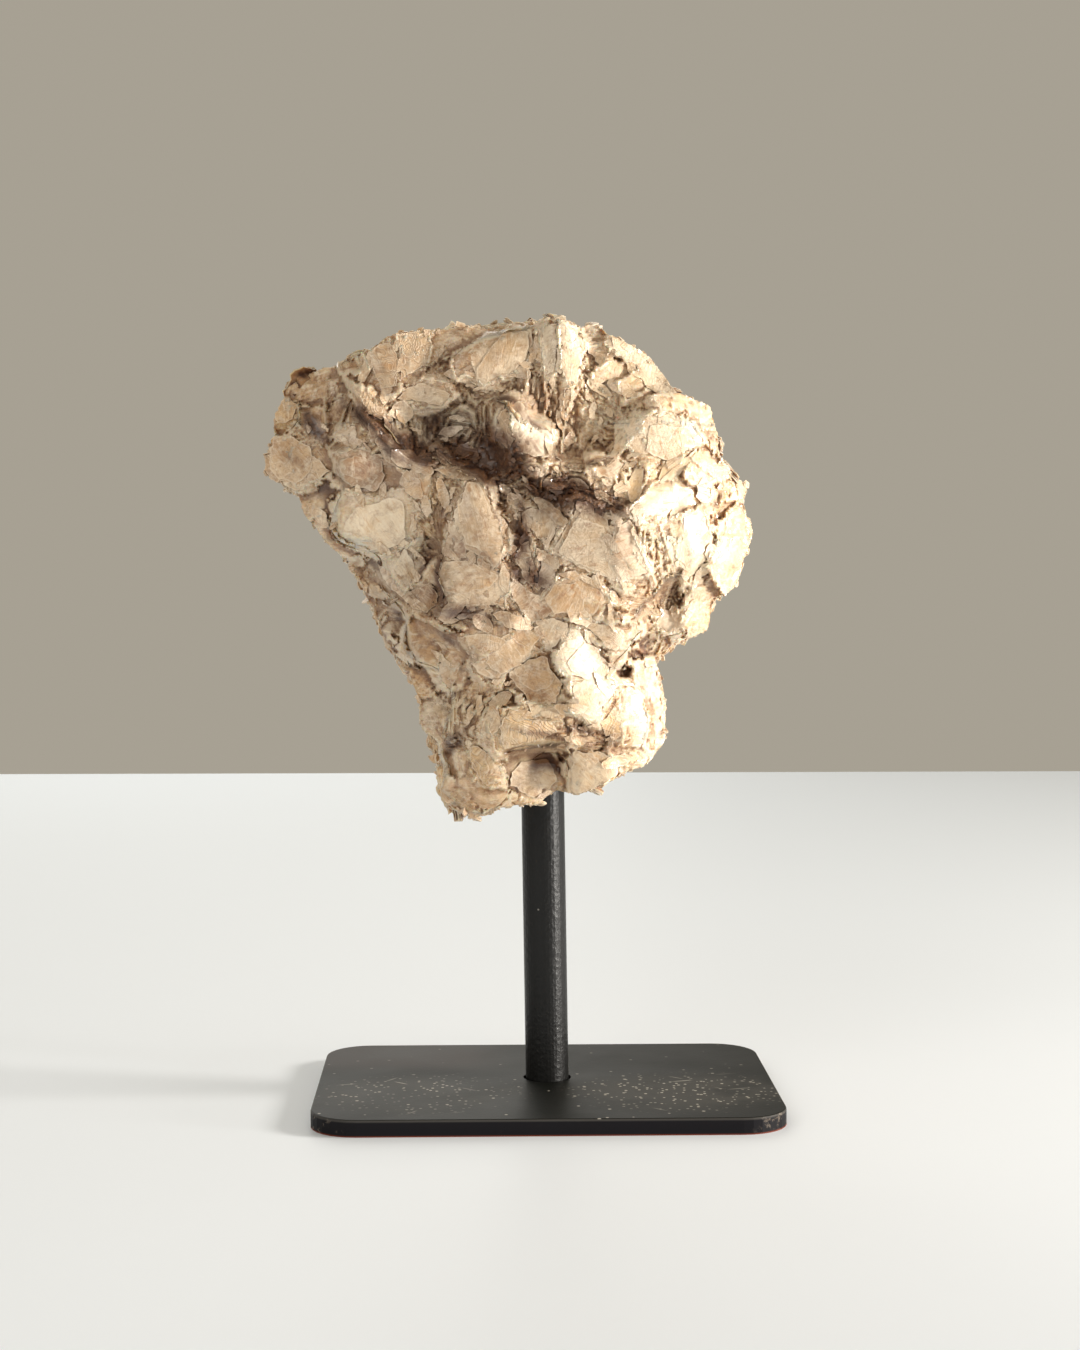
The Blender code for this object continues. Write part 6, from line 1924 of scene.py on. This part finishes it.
def plate_material(paint_finish):
    """Matt black paint with dust, scratches and worn corners."""
    made = Finish("base_black_paint")
    place = made.node("ShaderNodeTexCoord", {}, {}, "Object")
    facing_way = made.node("ShaderNodeNewGeometry", {}, {}, "Normal")
    up = made.part(facing_way, 2)
    x, y, z = (made.part(place, axis) for axis in (0, 1, 2))
    top = made.ramp(up, 0.5, 0.9)
    grain = made.noise(place, 1500.0, 3.0, 0.6)
    smudge = made.noise(made.scaled(place, (1.0, 1.6, 1.0)), 34.0, 4.0, 0.6)
    sides = []
    for middle, reach in ((-0.027, 0.018), (0.03, 0.02)):
        over = (x - middle) * (1.0 / reach)
        along = (y + 0.012) * (1.0 / 0.014)
        sides.append(1.0 - made.ramp(over * over + along * along, 0.2, 2.2))
    patches = (sides[0] + sides[1]).clipped() * (0.35 + made.ramp(
        made.noise(place, 90.0, 3.0), 0.4, 0.6) * 0.65)
    front = 1.0 - made.ramp(y, -0.012, 0.02)
    specks = 1.0 - made.ramp(made.cells(place, 620.0), 0.14, 0.26)
    flecks = 1.0 - made.ramp(made.cells(place, 230.0), 0.06, 0.11)
    hairs = []
    for turn, scale in ((35.0, 150.0), (-50.0, 170.0), (75.0, 140.0)):
        turned = made.node("ShaderNodeVectorRotate", {"rotation_type": "Z_AXIS"},
                           {"Vector": place, "Angle": math.radians(turn)})
        near = made.cells(made.scaled(turned, (1.0, 0.1, 0.0)), scale * 2.0)
        hairs.append(1.0 - made.ramp(near, 0.05, 0.09))
    marks = (hairs[0] + hairs[1] + hairs[2]).clipped()
    smear = made.ramp(y, 0.004, 0.018) * made.ramp(0.0 - x, 0.004, 0.02) * smudge
    dust = ((specks * patches + flecks * 0.8 + marks * patches + patches * smudge * 0.12)
            * (0.35 + front * 0.65) * top).clipped()
    base = made.mix(smudge * 0.6, tuple(paint_finish.plate),
                    tuple(c * 1.7 for c in paint_finish.plate))
    # Painted reflection: the sides take their own violet black, the top an olive one.
    base = made.mix(1.0 - top, base, tuple(paint_finish.edge))
    base = made.mix(smear * top * 0.22, base, tuple(paint_finish.smear))
    base = made.mix(dust, base, tuple(paint_finish.dust))
    corner = made.ramp(x * x + y * y, 0.0029, 0.0033)
    worn = corner * made.ramp(made.noise(place, 520.0, 4.0, 0.7), 0.55, 0.66) * (1.0 - top)
    low = 1.0 - made.ramp(z, 0.0001, 0.0004)
    # Painted highlight: a pale line along the top of the plate's sides, laid in the dust colour.
    rim = made.ramp(z, 0.0029, 0.0033) * (1.0 - made.ramp(up, 0.8, 0.95))
    base = made.mix(worn * 0.6, base, tuple(paint_finish.worn))
    base = made.mix(low * 0.45 * (1.0 - top), base, tuple(paint_finish.rust))
    base = made.mix(rim * 0.1, base, tuple(paint_finish.dust))
    return made.surface({
        "Base Color": base,
        "Roughness": 0.4 + smudge * 0.2 + dust * 0.3,
        "Normal": made.bump(grain + smudge * 0.3, 0.04 * MM, 0.7),
        "Specular IOR Level": 0.12,
    })


def post_material(paint_finish):
    """Satin black powder coat with a fine orange peel."""
    made = Finish("post_black_paint")
    place = made.node("ShaderNodeTexCoord", {}, {}, "Object")
    peel = made.noise(place, 1100.0, 3.0, 0.65)
    pits = made.cells(place, 1000.0)
    smudge = made.noise(place, 60.0, 3.0, 0.6)
    specks = 1.0 - made.ramp(made.cells(place, 210.0), 0.03, 0.07)
    base = made.mix(smudge * 0.4, tuple(paint_finish.post),
                    tuple(c * 1.5 for c in paint_finish.post))
    base = made.mix(specks * 0.6, base, tuple(paint_finish.dust))
    return made.surface({
        "Base Color": base,
        "Roughness": 0.32 + smudge * 0.06 + peel * 0.08,
        "Normal": made.bump(peel + pits * 0.7, 0.08 * MM, 1.0),
        "Specular IOR Level": 0.3,
    })


def floor_material(stage):
    """A plain pale floor."""
    made = Finish("pale_floor")
    place = made.node("ShaderNodeTexCoord", {}, {}, "Object")
    cloud = made.noise(place, 14.0, 2.0)
    base = made.mix(cloud * 0.06, tuple(stage.floor), tuple(c * 0.9 for c in stage.floor))
    return made.surface({"Base Color": base, "Roughness": 0.55})


# ---- crumbs ------------------------------------------------------------------
BOOK_SHAPES, BOOK_SHEET = 12, 0.14
CHIP_SHAPES, CHIP_SHEET = 6, 0.23


def crumb_leaf(name, draw, plates, thin):
    """A small chip of mica of one or more leaves, about one millimetre in radius."""
    growth = Growth()
    level = -thin * plates / 2.0
    bend = draw.uniform(-0.25, 0.25)
    base = strewn_outline(draw, 1.0)
    for _ in range(plates):
        outline = base * draw.uniform(0.72, 1.0)
        count = len(outline)
        shift = draw.uniform(-0.18, 0.18, 2)
        thick = thin * draw.uniform(0.6, 1.2)
        rise = bend * outline[:, 0] ** 2
        low = np.column_stack((outline + shift, rise + level))
        high = low + np.array((0.0, 0.0, thick))
        middle = np.array(((shift[0], shift[1], level), (shift[0], shift[1], level + thick)))
        points = np.concatenate((low, high, middle))
        look = np.column_stack((np.full(len(points), 0.4), np.full(len(points), 0.3),
                                np.concatenate((np.full(2 * count, 0.8), (0.0, 0.0)))))
        sheet = points + draw.uniform(-SHEET_SHIFT, SHEET_SHIFT, 3)
        first = growth.add(points, sheet, np.ones(3), look)
        for a in range(count):
            b = (a + 1) % count
            growth.join([(first + a, first + b, first + count + b, first + count + a)], 1.0)
            growth.join([(first + 2 * count + 1, first + count + a, first + count + b),
                         (first + 2 * count, first + b, first + a)], 0.0)
        level += thick * draw.uniform(0.95, 1.25)
    mesh = growth.mesh(name, (np.full(3, -1.0), np.full(3, 1.0)))
    mesh.attributes.remove(mesh.attributes["tint"])
    return bpy.data.objects.new(name, mesh)


def crumb_tree(name, material):
    """Geometry nodes that strew chips over a mesh."""
    tree = bpy.data.node_groups.new(name, "GeometryNodeTree")
    face = tree.interface
    face.new_socket("Geometry", in_out="OUTPUT", socket_type="NodeSocketGeometry")
    for label, kind in (("Geometry", "Geometry"), ("Chips", "Collection"), ("Gap", "Float"),
                        ("Smallest", "Float"), ("Largest", "Float"), ("Tilt", "Float"),
                        ("Seed", "Int")):
        face.new_socket(label, in_out="INPUT", socket_type=f"NodeSocket{kind}")
    nodes, links = tree.nodes, tree.links

    def add(kind, settings=None, values=None):
        node = nodes.new(kind)
        for key, setting in (settings or {}).items():
            setattr(node, key, setting)
        for key, value in (values or {}).items():
            if isinstance(value, bpy.types.NodeSocket):
                links.new(value, node.inputs[key])
            else:
                node.inputs[key].default_value = value
        return node

    given = add("NodeGroupInput").outputs
    room = add("GeometryNodeInputNamedAttribute", {"data_type": "FLOAT"}, {"Name": "room"})
    points = add("GeometryNodeDistributePointsOnFaces", {"distribute_method": "POISSON"}, {
        "Mesh": given["Geometry"], "Distance Min": given["Gap"], "Density Max": 4.0e6,
        "Density Factor": room.outputs["Attribute"], "Seed": given["Seed"]}).outputs
    low = add("ShaderNodeCombineXYZ")
    lean = add("ShaderNodeMath", {"operation": "MULTIPLY"}, {0: given["Tilt"], 1: -1.0})
    high = add("ShaderNodeCombineXYZ", None, {"X": given["Tilt"], "Y": given["Tilt"],
                                              "Z": math.tau})
    for axis in ("X", "Y"):
        links.new(lean.outputs[0], low.inputs[axis])
    turn = add("FunctionNodeRandomValue", {"data_type": "FLOAT_VECTOR"}, {
        0: low.outputs[0], 1: high.outputs[0], "Seed": given["Seed"]})
    spin = add("FunctionNodeEulerToRotation", None, {0: turn.outputs[0]})
    facing_way = add("FunctionNodeRotateRotation", {"rotation_space": "LOCAL"}, {
        0: points["Rotation"], 1: spin.outputs[0]})
    size = add("FunctionNodeRandomValue", {"data_type": "FLOAT"}, {
        2: given["Smallest"], 3: given["Largest"], "Seed": 11})
    chips = add("GeometryNodeCollectionInfo", {"transform_space": "ORIGINAL"}, {
        "Collection": given["Chips"], "Separate Children": True, "Reset Children": True})
    laid = add("GeometryNodeInstanceOnPoints", None, {
        "Points": points["Points"], "Instance": chips.outputs[0], "Pick Instance": True,
        "Rotation": facing_way.outputs[0], "Scale": size.outputs[1]})
    real = add("GeometryNodeRealizeInstances", None, {"Geometry": laid.outputs[0]})
    dressed = add("GeometryNodeSetMaterial", None, {"Geometry": real.outputs[0],
                                                    "Material": material})
    add("NodeGroupOutput", None, {"Geometry": dressed.outputs[0]})
    return tree


def set_inputs(modifier, values):
    """Set a Geometry Nodes modifier's inputs by their names."""
    for item in modifier.node_group.interface.items_tree:
        if item.item_type == "SOCKET" and item.in_out == "INPUT" and item.name in values:
            modifier[item.identifier] = values[item.name]


# ---- what the operators share ------------------------------------------------
def settings():
    """The scene's settings for this model."""
    return bpy.context.scene.mica_stand


def tint_table():
    """The tints by name."""
    tints = settings().tints
    return {name: np.array(getattr(tints, name)) for name in (
        "white", "cream", "tan", "golden", "brown", "grey", "lilac", "rose", "amber",
        "umber", "smoke")}


def mica_finish(thin):
    """The mica's material, for thick books or for thin leaves, made once."""
    name = "mica_leaf" if thin else "mica_book"
    if name not in bpy.data.materials:
        tints = settings().tints
        mica_material(name, {key: tuple(getattr(tints, key))
                             for key in ("white", "golden", "amber", "edge", "shade", "warmth",
                                         "hollow")},
                      0.0 if thin else 0.4)
    return bpy.data.materials[name]


# What one step leaves for the next: the heart's even mesh, the front's relief and
# the meshes that wait for their painted shade in the hollows.
WORK = {}


def keep(name, growth):
    """Turn a growth into a mesh that waits for its painted shade in the hollows."""
    mesh = growth.mesh(name, box_of_cluster())
    crisp(mesh)
    WORK[name] = mesh


class MICA_OT_front_books(bpy.types.Operator):
    """Lay the top leaves of the front's books on the relief"""

    bl_idname = "mica.front_books"
    bl_label = "Front Books"

    def execute(self, context):
        front, tints = WORK["front"], tint_table()
        growth = Growth()
        for index, entry in enumerate(FRONT_BOOKS):
            book_leaves(growth, front, tints, index, entry)
        keep("mica_front_books", growth)
        return {"FINISHED"}


# Small leaves: name, the gap between them, least and largest radius, how far they
# may lie over the books' faces, and the shift of their seed.
SMALL_LEAVES = (
    ("mica_front_leaves_a", 4.4, (1.4, 3.4), 0.5, 10),
    ("mica_front_leaves_b", 2.5, (0.5, 1.5), 0.2, 11),
)


class MICA_OT_front_leaves(bpy.types.Operator):
    """Lay small leaves over the rubble between the front's books"""

    bl_idname = "mica.front_leaves"
    bl_label = "Front Leaves"

    def execute(self, context):
        front, seed = WORK["front"], settings().sizes.seed
        for name, gap, sizes, inside, shift in SMALL_LEAVES:
            growth = Growth()
            small_leaves(growth, front, tint_table(), gap, sizes, front.between(inside),
                         seed + shift)
            keep(name, growth)
        return {"FINISHED"}


def rim_loops(rim):
    """Rim edges, in order, as closed loops."""
    onward = {}
    for a, b in rim:
        onward.setdefault(a, []).append(b)
    loops = []
    while onward:
        spot, loop = next(iter(onward)), []
        while spot in onward:
            ahead = onward[spot].pop()
            if not onward[spot]:
                del onward[spot]
            loop.append((spot, ahead))
            spot = ahead
        loops.append(loop)
    return loops


def heart_pieces(mesh, level, values):
    """Cut the heart into four closed pieces, one over the other."""
    quads = corner_numbers(mesh).reshape(-1, 4)
    points = read(mesh)
    face_level = level[quads[:, 0]]
    pieces = []
    for index in range(4):
        chosen = np.nonzero(face_level == index)[0]
        kept, local = np.unique(quads[chosen], return_inverse=True)
        faces = local.reshape(-1, 4)
        sides = np.concatenate([faces[:, (k, (k + 1) % 4)] for k in range(4)])
        known = {tuple(side) for side in sides.tolist()}
        loops = rim_loops(sorted((a, b) for a, b in known if (b, a) not in known))
        rim = sum(len(loop) for loop in loops)
        middles = [points[kept[[a for a, _ in loop]]].mean(0) for loop in loops]
        faces = faces.tolist() + [(b, a, len(kept) + number)
                                  for number, loop in enumerate(loops) for a, b in loop]
        piece = bpy.data.meshes.new(f"mica_heart_{'abcd'[index]}")
        piece.from_pydata(np.vstack([points[kept], *middles]).tolist(), [], faces)
        for name, kind, domain, data in values:
            if domain == "POINT":
                data = np.concatenate((data[kept], data[kept[[loop[0][0] for loop in loops]]]))
            elif domain == "FACE":
                data = np.concatenate((data[chosen], np.ones((rim, *data.shape[1:]))))
            else:
                data = data.reshape(-1, 4, 3)[chosen].reshape(-1, 3)
                data = np.concatenate((data, np.zeros((rim * 3, 3))))
            paint(piece, name, kind, domain, data)
        pieces.append(piece)
    return pieces


def sheet_places(mesh, moved, ways, middles, face_block, draw):
    """Where each face corner lies within the leaves of its block."""
    corners = corner_numbers(mesh)
    block = np.repeat(face_block, 4)
    place = moved[corners] / MM - middles[block]
    way = ways[block]
    helper = np.where(np.abs(way[:, 2:]) < 0.8, (0.0, 0.0, 1.0), (1.0, 0.0, 0.0))
    first = unit_rows(np.cross(way, helper))
    second = np.cross(way, first)
    shift = draw.uniform(-SHEET_SHIFT, SHEET_SHIFT, (len(ways), 3))[block]
    return np.column_stack((np.sum(place * first, 1), np.sum(place * second, 1),
                            np.sum(place * way, 1))) + shift


def walls(mesh, ways, face_block):
    """How far each face is broken edge and not leaf."""
    normals = np.zeros(len(mesh.polygons) * 3, np.float32)
    mesh.polygon_normals.foreach_get("vector", normals)
    along = np.abs(np.sum(normals.reshape(-1, 3) * ways[face_block], 1))
    return np.clip(1.25 - along * 1.5, 0.0, 1.0)


class MICA_OT_heart(bpy.types.Operator):
    """Break the solid's skin into cleavage blocks"""

    bl_idname = "mica.heart"
    bl_label = "Heart"

    def execute(self, context):
        sizes, tints = settings().sizes, tint_table()
        mesh = heart_mesh(sizes.mesh_step, sizes.filling)
        points, normals = read(mesh) / MM, read(mesh, "normal")
        WORK["even"] = (points.copy(), normals.copy())
        draw = np.random.default_rng(sizes.seed)
        front = WORK["front"] = Relief(soup([mesh]), tints)
        share = front.share(points, normals)
        rest = share < 0.999
        moved, owner, relief = points.copy(), np.zeros(len(points), int), np.zeros(len(points))
        moved[rest], owner[rest], ways, seeds, relief[rest] = cleave(
            points[rest], normals[rest], sizes.grain / MM, sizes.sink / MM, draw)
        owner[~rest] = nearest_seed(seeds, points[~rest])
        count = len(seeds)
        sunk = np.sum((points - moved) * normals, axis=1)
        moved = moved * (1.0 - share[:, None]) + front.moved(points) * share[:, None]
        low, high = box_of_cluster()
        moved = np.clip(off_the_post(moved) * MM, low, high)
        write(mesh, moved)
        level = np.searchsorted(np.quantile(points[:, 2], (0.25, 0.5, 0.75)), points[:, 2])
        block_tint = np.array([pick_tint(draw, tints) for _ in range(count)])
        block_tint *= draw.uniform(0.85, 1.05, (count, 1))
        is_front = share > 0.5
        row, column, _ = front.spots(points)
        owner = np.where(is_front, front.owner[row, column] + count, owner)
        ways, middles = np.vstack((ways, front.ways)), np.vstack((seeds, front.middles))
        face_block = owner[corner_numbers(mesh).reshape(-1, 4)[:, 0]]
        sheet = sheet_places(mesh, moved, ways, middles, face_block, draw)
        back_owner = np.where(owner < count, owner, 0)
        tint = np.where(is_front[:, None], front.read(front.tint, points),
                        block_tint[back_owner])
        sides = draw.uniform(0.1, 0.9, (2, count))[:, back_owner]
        look = np.column_stack((
            np.where(is_front, front.streak[row, column], sides[0]),
            np.where(is_front, front.crumb[row, column], sides[1]),
            np.where(is_front, front.read(front.relief, points), relief)))
        # Painted shade: the front's valley, cavities and shade spots, and elsewhere how far the
        # heart sinks below the skin.
        hollow = np.where(is_front, front.read(front.hollow, points),
                          np.clip((sunk - 0.7) * 0.45, 0.0, 0.8))
        WORK.update((piece.name, piece) for piece in heart_pieces(mesh, level, (
            ("tint", "FLOAT_VECTOR", "POINT", tint),
            ("sheet", "FLOAT_VECTOR", "CORNER", sheet),
            ("wall", "FLOAT", "FACE", walls(mesh, ways, face_block)),
            ("hollow", "FLOAT", "POINT", hollow),
            ("look", "FLOAT_VECTOR", "POINT", look))))
        return {"FINISHED"}


class MICA_OT_strewn_books(bpy.types.Operator):
    """Strew books over the sides, the back and the top"""

    bl_idname = "mica.strewn_books"
    bl_label = "Strewn Books"

    def execute(self, context):
        sizes, tints, skin = settings().sizes, tint_table(), skin_of_cluster()
        draw = np.random.default_rng(sizes.seed + 1)
        points, normals = WORK["even"]
        places = strewn_places(skin, points, normals, draw, sizes.strewn_count)
        reach = (sizes.strewn_least / MM, sizes.strewn_most / MM, sizes.leaf / MM)
        half = len(places) // 2
        for name, part in (("mica_strewn_books_a", places[:half]),
                           ("mica_strewn_books_b", places[half:])):
            growth = Growth()
            for place in part:
                strewn_book(growth, skin, WORK["front"], tints, place, reach, draw)
            keep(name, growth)
        return {"FINISHED"}


class MICA_OT_hollow_shade(bpy.types.Operator):
    """Paint shade into the hollows between the books, then set the mica on the stand"""

    bl_idname = "mica.hollows"
    bl_label = "Hollows"

    def execute(self, context):
        draw = np.random.default_rng(settings().sizes.seed + 2)
        names = [name for name in WORK if name.startswith("mica_")]
        tree = soup([WORK[name] for name in names])
        cover = soup([WORK[name] for name in names if "heart" not in name])
        for name in names:
            mesh = WORK[name]
            points, normals = read(mesh) / MM, read(mesh, "normal")
            # Painted shade: occlusion by rays, on the strewn books.
            if "strewn" in name:
                paint(mesh, "hollow", "FLOAT", "POINT", hollows(points, normals, tree, draw))
            if "heart" in name:
                room = [0.0 if cover.ray_cast(place, way, 5.0)[0] else 1.0
                        for place, way in zip(points.tolist(), normals.tolist())]
                front = WORK["front"]
                room = np.array(room) * clear_of_post(points)
                room *= front.share(points, normals) < 0.1
                room[-1] = 0.0
                paint(mesh, "room", "FLOAT", "POINT", room)
                crisp(mesh, 32.0)
            placed(name, mesh, mica_finish("front" in name))
        return {"FINISHED"}


def joined_heart():
    """The heart's pieces as one mesh that chips are strewn over."""
    work = bmesh.new()
    for letter in "abcd":
        work.from_mesh(WORK[f"mica_heart_{letter}"])
    caps = [face for face in work.faces if len(face.verts) == 3]
    bmesh.ops.delete(work, geom=caps, context="FACES")
    mesh = bpy.data.meshes.new("heart_joined")
    work.to_mesh(mesh)
    work.free()
    return mesh


class MICA_OT_crumbs(bpy.types.Operator):
    """Strew small books and chips over the heart with Geometry Nodes"""

    bl_idname = "mica.crumbs"
    bl_label = "Crumbs"

    def strewn(self, context, name, chips, values):
        """One strewing of the heart with a collection of chips."""
        material = mica_finish(True)
        item = bpy.data.objects.new("crumb_work", joined_heart())
        context.scene.collection.objects.link(item)
        strew = item.modifiers.new("Crumbs", "NODES")
        strew.node_group = crumb_tree(f"{name}_tree", material)
        set_inputs(strew, {"Chips": chips, **values})
        seen = item.evaluated_get(context.evaluated_depsgraph_get())
        mesh = bpy.data.meshes.new_from_object(seen)
        low, high = box_of_cluster()
        write(mesh, np.clip(read(mesh), low, high))
        mesh.name = name
        bpy.data.objects.remove(item)
        for chip in list(chips.objects):
            bpy.data.objects.remove(chip)
        bpy.data.collections.remove(chips)
        if not mesh.polygons:
            raise RuntimeError("nothing was strewn")
        crisp(mesh, 30.0)
        placed(name, mesh, material)

    def execute(self, context):
        crumbs, seed = settings().crumbs, settings().sizes.seed
        draw = np.random.default_rng(seed + 3)
        books = bpy.data.collections.new("mica_small_book_shapes")
        for index in range(BOOK_SHAPES):
            books.objects.link(crumb_leaf(f"small_book_{index:02d}", draw, 2 + index % 3,
                                          BOOK_SHEET))
        self.strewn(context, "mica_small_books", books, {
            "Gap": crumbs.book_gap, "Smallest": crumbs.book_least,
            "Largest": crumbs.book_most, "Tilt": 1.0, "Seed": seed})
        chips = bpy.data.collections.new("mica_chip_shapes")
        for index in range(CHIP_SHAPES):
            chips.objects.link(crumb_leaf(f"chip_{index}", draw, 1 + index % 2, CHIP_SHEET))
        self.strewn(context, "mica_crumbs", chips, {
            "Gap": crumbs.crumb_gap, "Smallest": crumbs.crumb_least,
            "Largest": crumbs.crumb_most, "Tilt": 0.9, "Seed": seed + 1})
        return {"FINISHED"}


class MICA_OT_stand(bpy.types.Operator):
    """Paint the plate and the post"""

    bl_idname = "mica.stand"
    bl_label = "Stand"

    def execute(self, context):
        for node, material in (("base_plate", plate_material(settings().paint)),
                               ("post", post_material(settings().paint))):
            slots = frame["nodes"][node].data.materials
            slots.clear()
            slots.append(material)
        return {"FINISHED"}


# Lights: name, the setting of its power, width, height, place in metres, and tone.
LIGHTS = (
    ("key_light", "key_power", 0.2, 0.2, (0.85, -0.09, 0.37), (1.0, 0.93, 0.84)),
    ("strip_light", "strip_power", 0.05, 0.07, (0.5, -0.21, 0.04), (1.0, 0.96, 0.9)),
    ("fill_light", "fill_power", 0.7, 0.7, (-0.6, -0.75, 0.55), (1.0, 0.97, 0.93)),
    ("back_light", "rim_power", 0.8, 0.8, (-0.25, 0.85, 0.5), (1.0, 0.99, 0.94)),
)
LIGHTS_AIM = (0.0, 0.0, 0.11)
# The floor's half width and its near and far edges, in metres.
FLOOR_SIDE = 2.2
FLOOR_FRONT = -1.6
FLOOR_BACK = 0.73
# The camera's place and focal length in millimetres, and how far it looks down and
# is turned to the left, in degrees.
CAMERA_PLACE = (-14.83, -484.07, 119.17)
CAMERA_LENS = 59.0
CAMERA_DOWN = 3.076
CAMERA_TURN = -1.612


class MICA_OT_stage(bpy.types.Operator):
    """Set up the floor, the lights and the camera"""

    bl_idname = "mica.stage"
    bl_label = "Stage"

    def execute(self, context):
        stage = settings().stage
        shape = bmesh.new()
        corners = [shape.verts.new(place) for place in (
            (-FLOOR_SIDE, FLOOR_FRONT, 0.0), (FLOOR_SIDE, FLOOR_FRONT, 0.0),
            (FLOOR_SIDE, FLOOR_BACK, 0.0), (-FLOOR_SIDE, FLOOR_BACK, 0.0))]
        shape.faces.new(corners)
        mesh = bpy.data.meshes.new("floor")
        shape.to_mesh(mesh)
        shape.free()
        mesh.materials.append(floor_material(stage))
        floor = bpy.data.objects.new("floor", mesh)
        context.scene.collection.objects.link(floor)
        world = bpy.data.worlds.new("backdrop")
        world.use_nodes = True
        light = world.node_tree.nodes["Background"]
        light.inputs["Color"].default_value = (*stage.backdrop, 1.0)
        light.inputs["Strength"].default_value = stage.backdrop_strength
        context.scene.world = world
        for name, power, wide, tall, place, tone in LIGHTS:
            lamp = bpy.data.lights.new(name, "AREA")
            lamp.shape = "RECTANGLE"
            lamp.size, lamp.size_y = wide, tall
            lamp.energy, lamp.color = getattr(stage, power), tone
            item = bpy.data.objects.new(name, lamp)
            item.location = place
            aim = Vector(LIGHTS_AIM) - item.location
            item.rotation_euler = aim.to_track_quat("-Z", "Y").to_euler()
            context.scene.collection.objects.link(item)
        camera = bpy.data.cameras.new("camera")
        camera.lens, camera.sensor_width = CAMERA_LENS, 36.0
        camera.clip_start, camera.clip_end = 0.01, 20.0
        item = bpy.data.objects.new("camera", camera)
        item.location = Vector(CAMERA_PLACE) * MM
        item.rotation_euler = (math.radians(90.0 - CAMERA_DOWN), 0.0,
                               math.radians(CAMERA_TURN))
        context.scene.collection.objects.link(item)
        context.scene.camera = item
        context.scene.view_settings.view_transform = "Standard"
        return {"FINISHED"}


class MicaStandSettings(bpy.types.PropertyGroup):
    """All settings of the model."""

    tints: PointerProperty(type=MicaTints)
    sizes: PointerProperty(type=MicaSizes)
    crumbs: PointerProperty(type=FlakeSizes)
    paint: PointerProperty(type=PaintFinish)
    stage: PointerProperty(type=StageSettings)


class MICA_PT_panel(bpy.types.Panel):
    """Steps that build the model, in order"""

    bl_idname = "MICA_PT_panel"
    bl_label = "Mica on Stand"
    bl_space_type = "VIEW_3D"
    bl_region_type = "UI"
    bl_category = "Mica"

    def draw(self, context):
        for step in STEPS:
            self.layout.operator(step.bl_idname)
        for group in ("tints", "sizes", "crumbs", "paint", "stage"):
            values = getattr(context.scene.mica_stand, group)
            box = self.layout.box()
            box.label(text=group.title())
            for name in values.bl_rna.properties.keys():
                if name not in ("rna_type", "name"):
                    box.prop(values, name)


STEPS = (MICA_OT_stand, MICA_OT_heart, MICA_OT_front_books, MICA_OT_front_leaves,
         MICA_OT_strewn_books, MICA_OT_hollow_shade, MICA_OT_crumbs, MICA_OT_stage)
CLASSES = (MicaTints, MicaSizes, FlakeSizes, PaintFinish, StageSettings, MicaStandSettings,
           *STEPS, MICA_PT_panel)


def register():
    """Make the settings, the steps and the panel known."""
    for item in CLASSES:
        bpy.utils.register_class(item)
    bpy.types.Scene.mica_stand = PointerProperty(type=MicaStandSettings)


def unregister():
    """Undo register."""
    del bpy.types.Scene.mica_stand
    for item in reversed(CLASSES):
        bpy.utils.unregister_class(item)


def main():
    """Build everything."""
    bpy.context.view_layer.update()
    register()
    for step in STEPS:
        family, name = step.bl_idname.split(".")
        getattr(getattr(bpy.ops, family), name)()


if __name__ == "__main__":
    main()
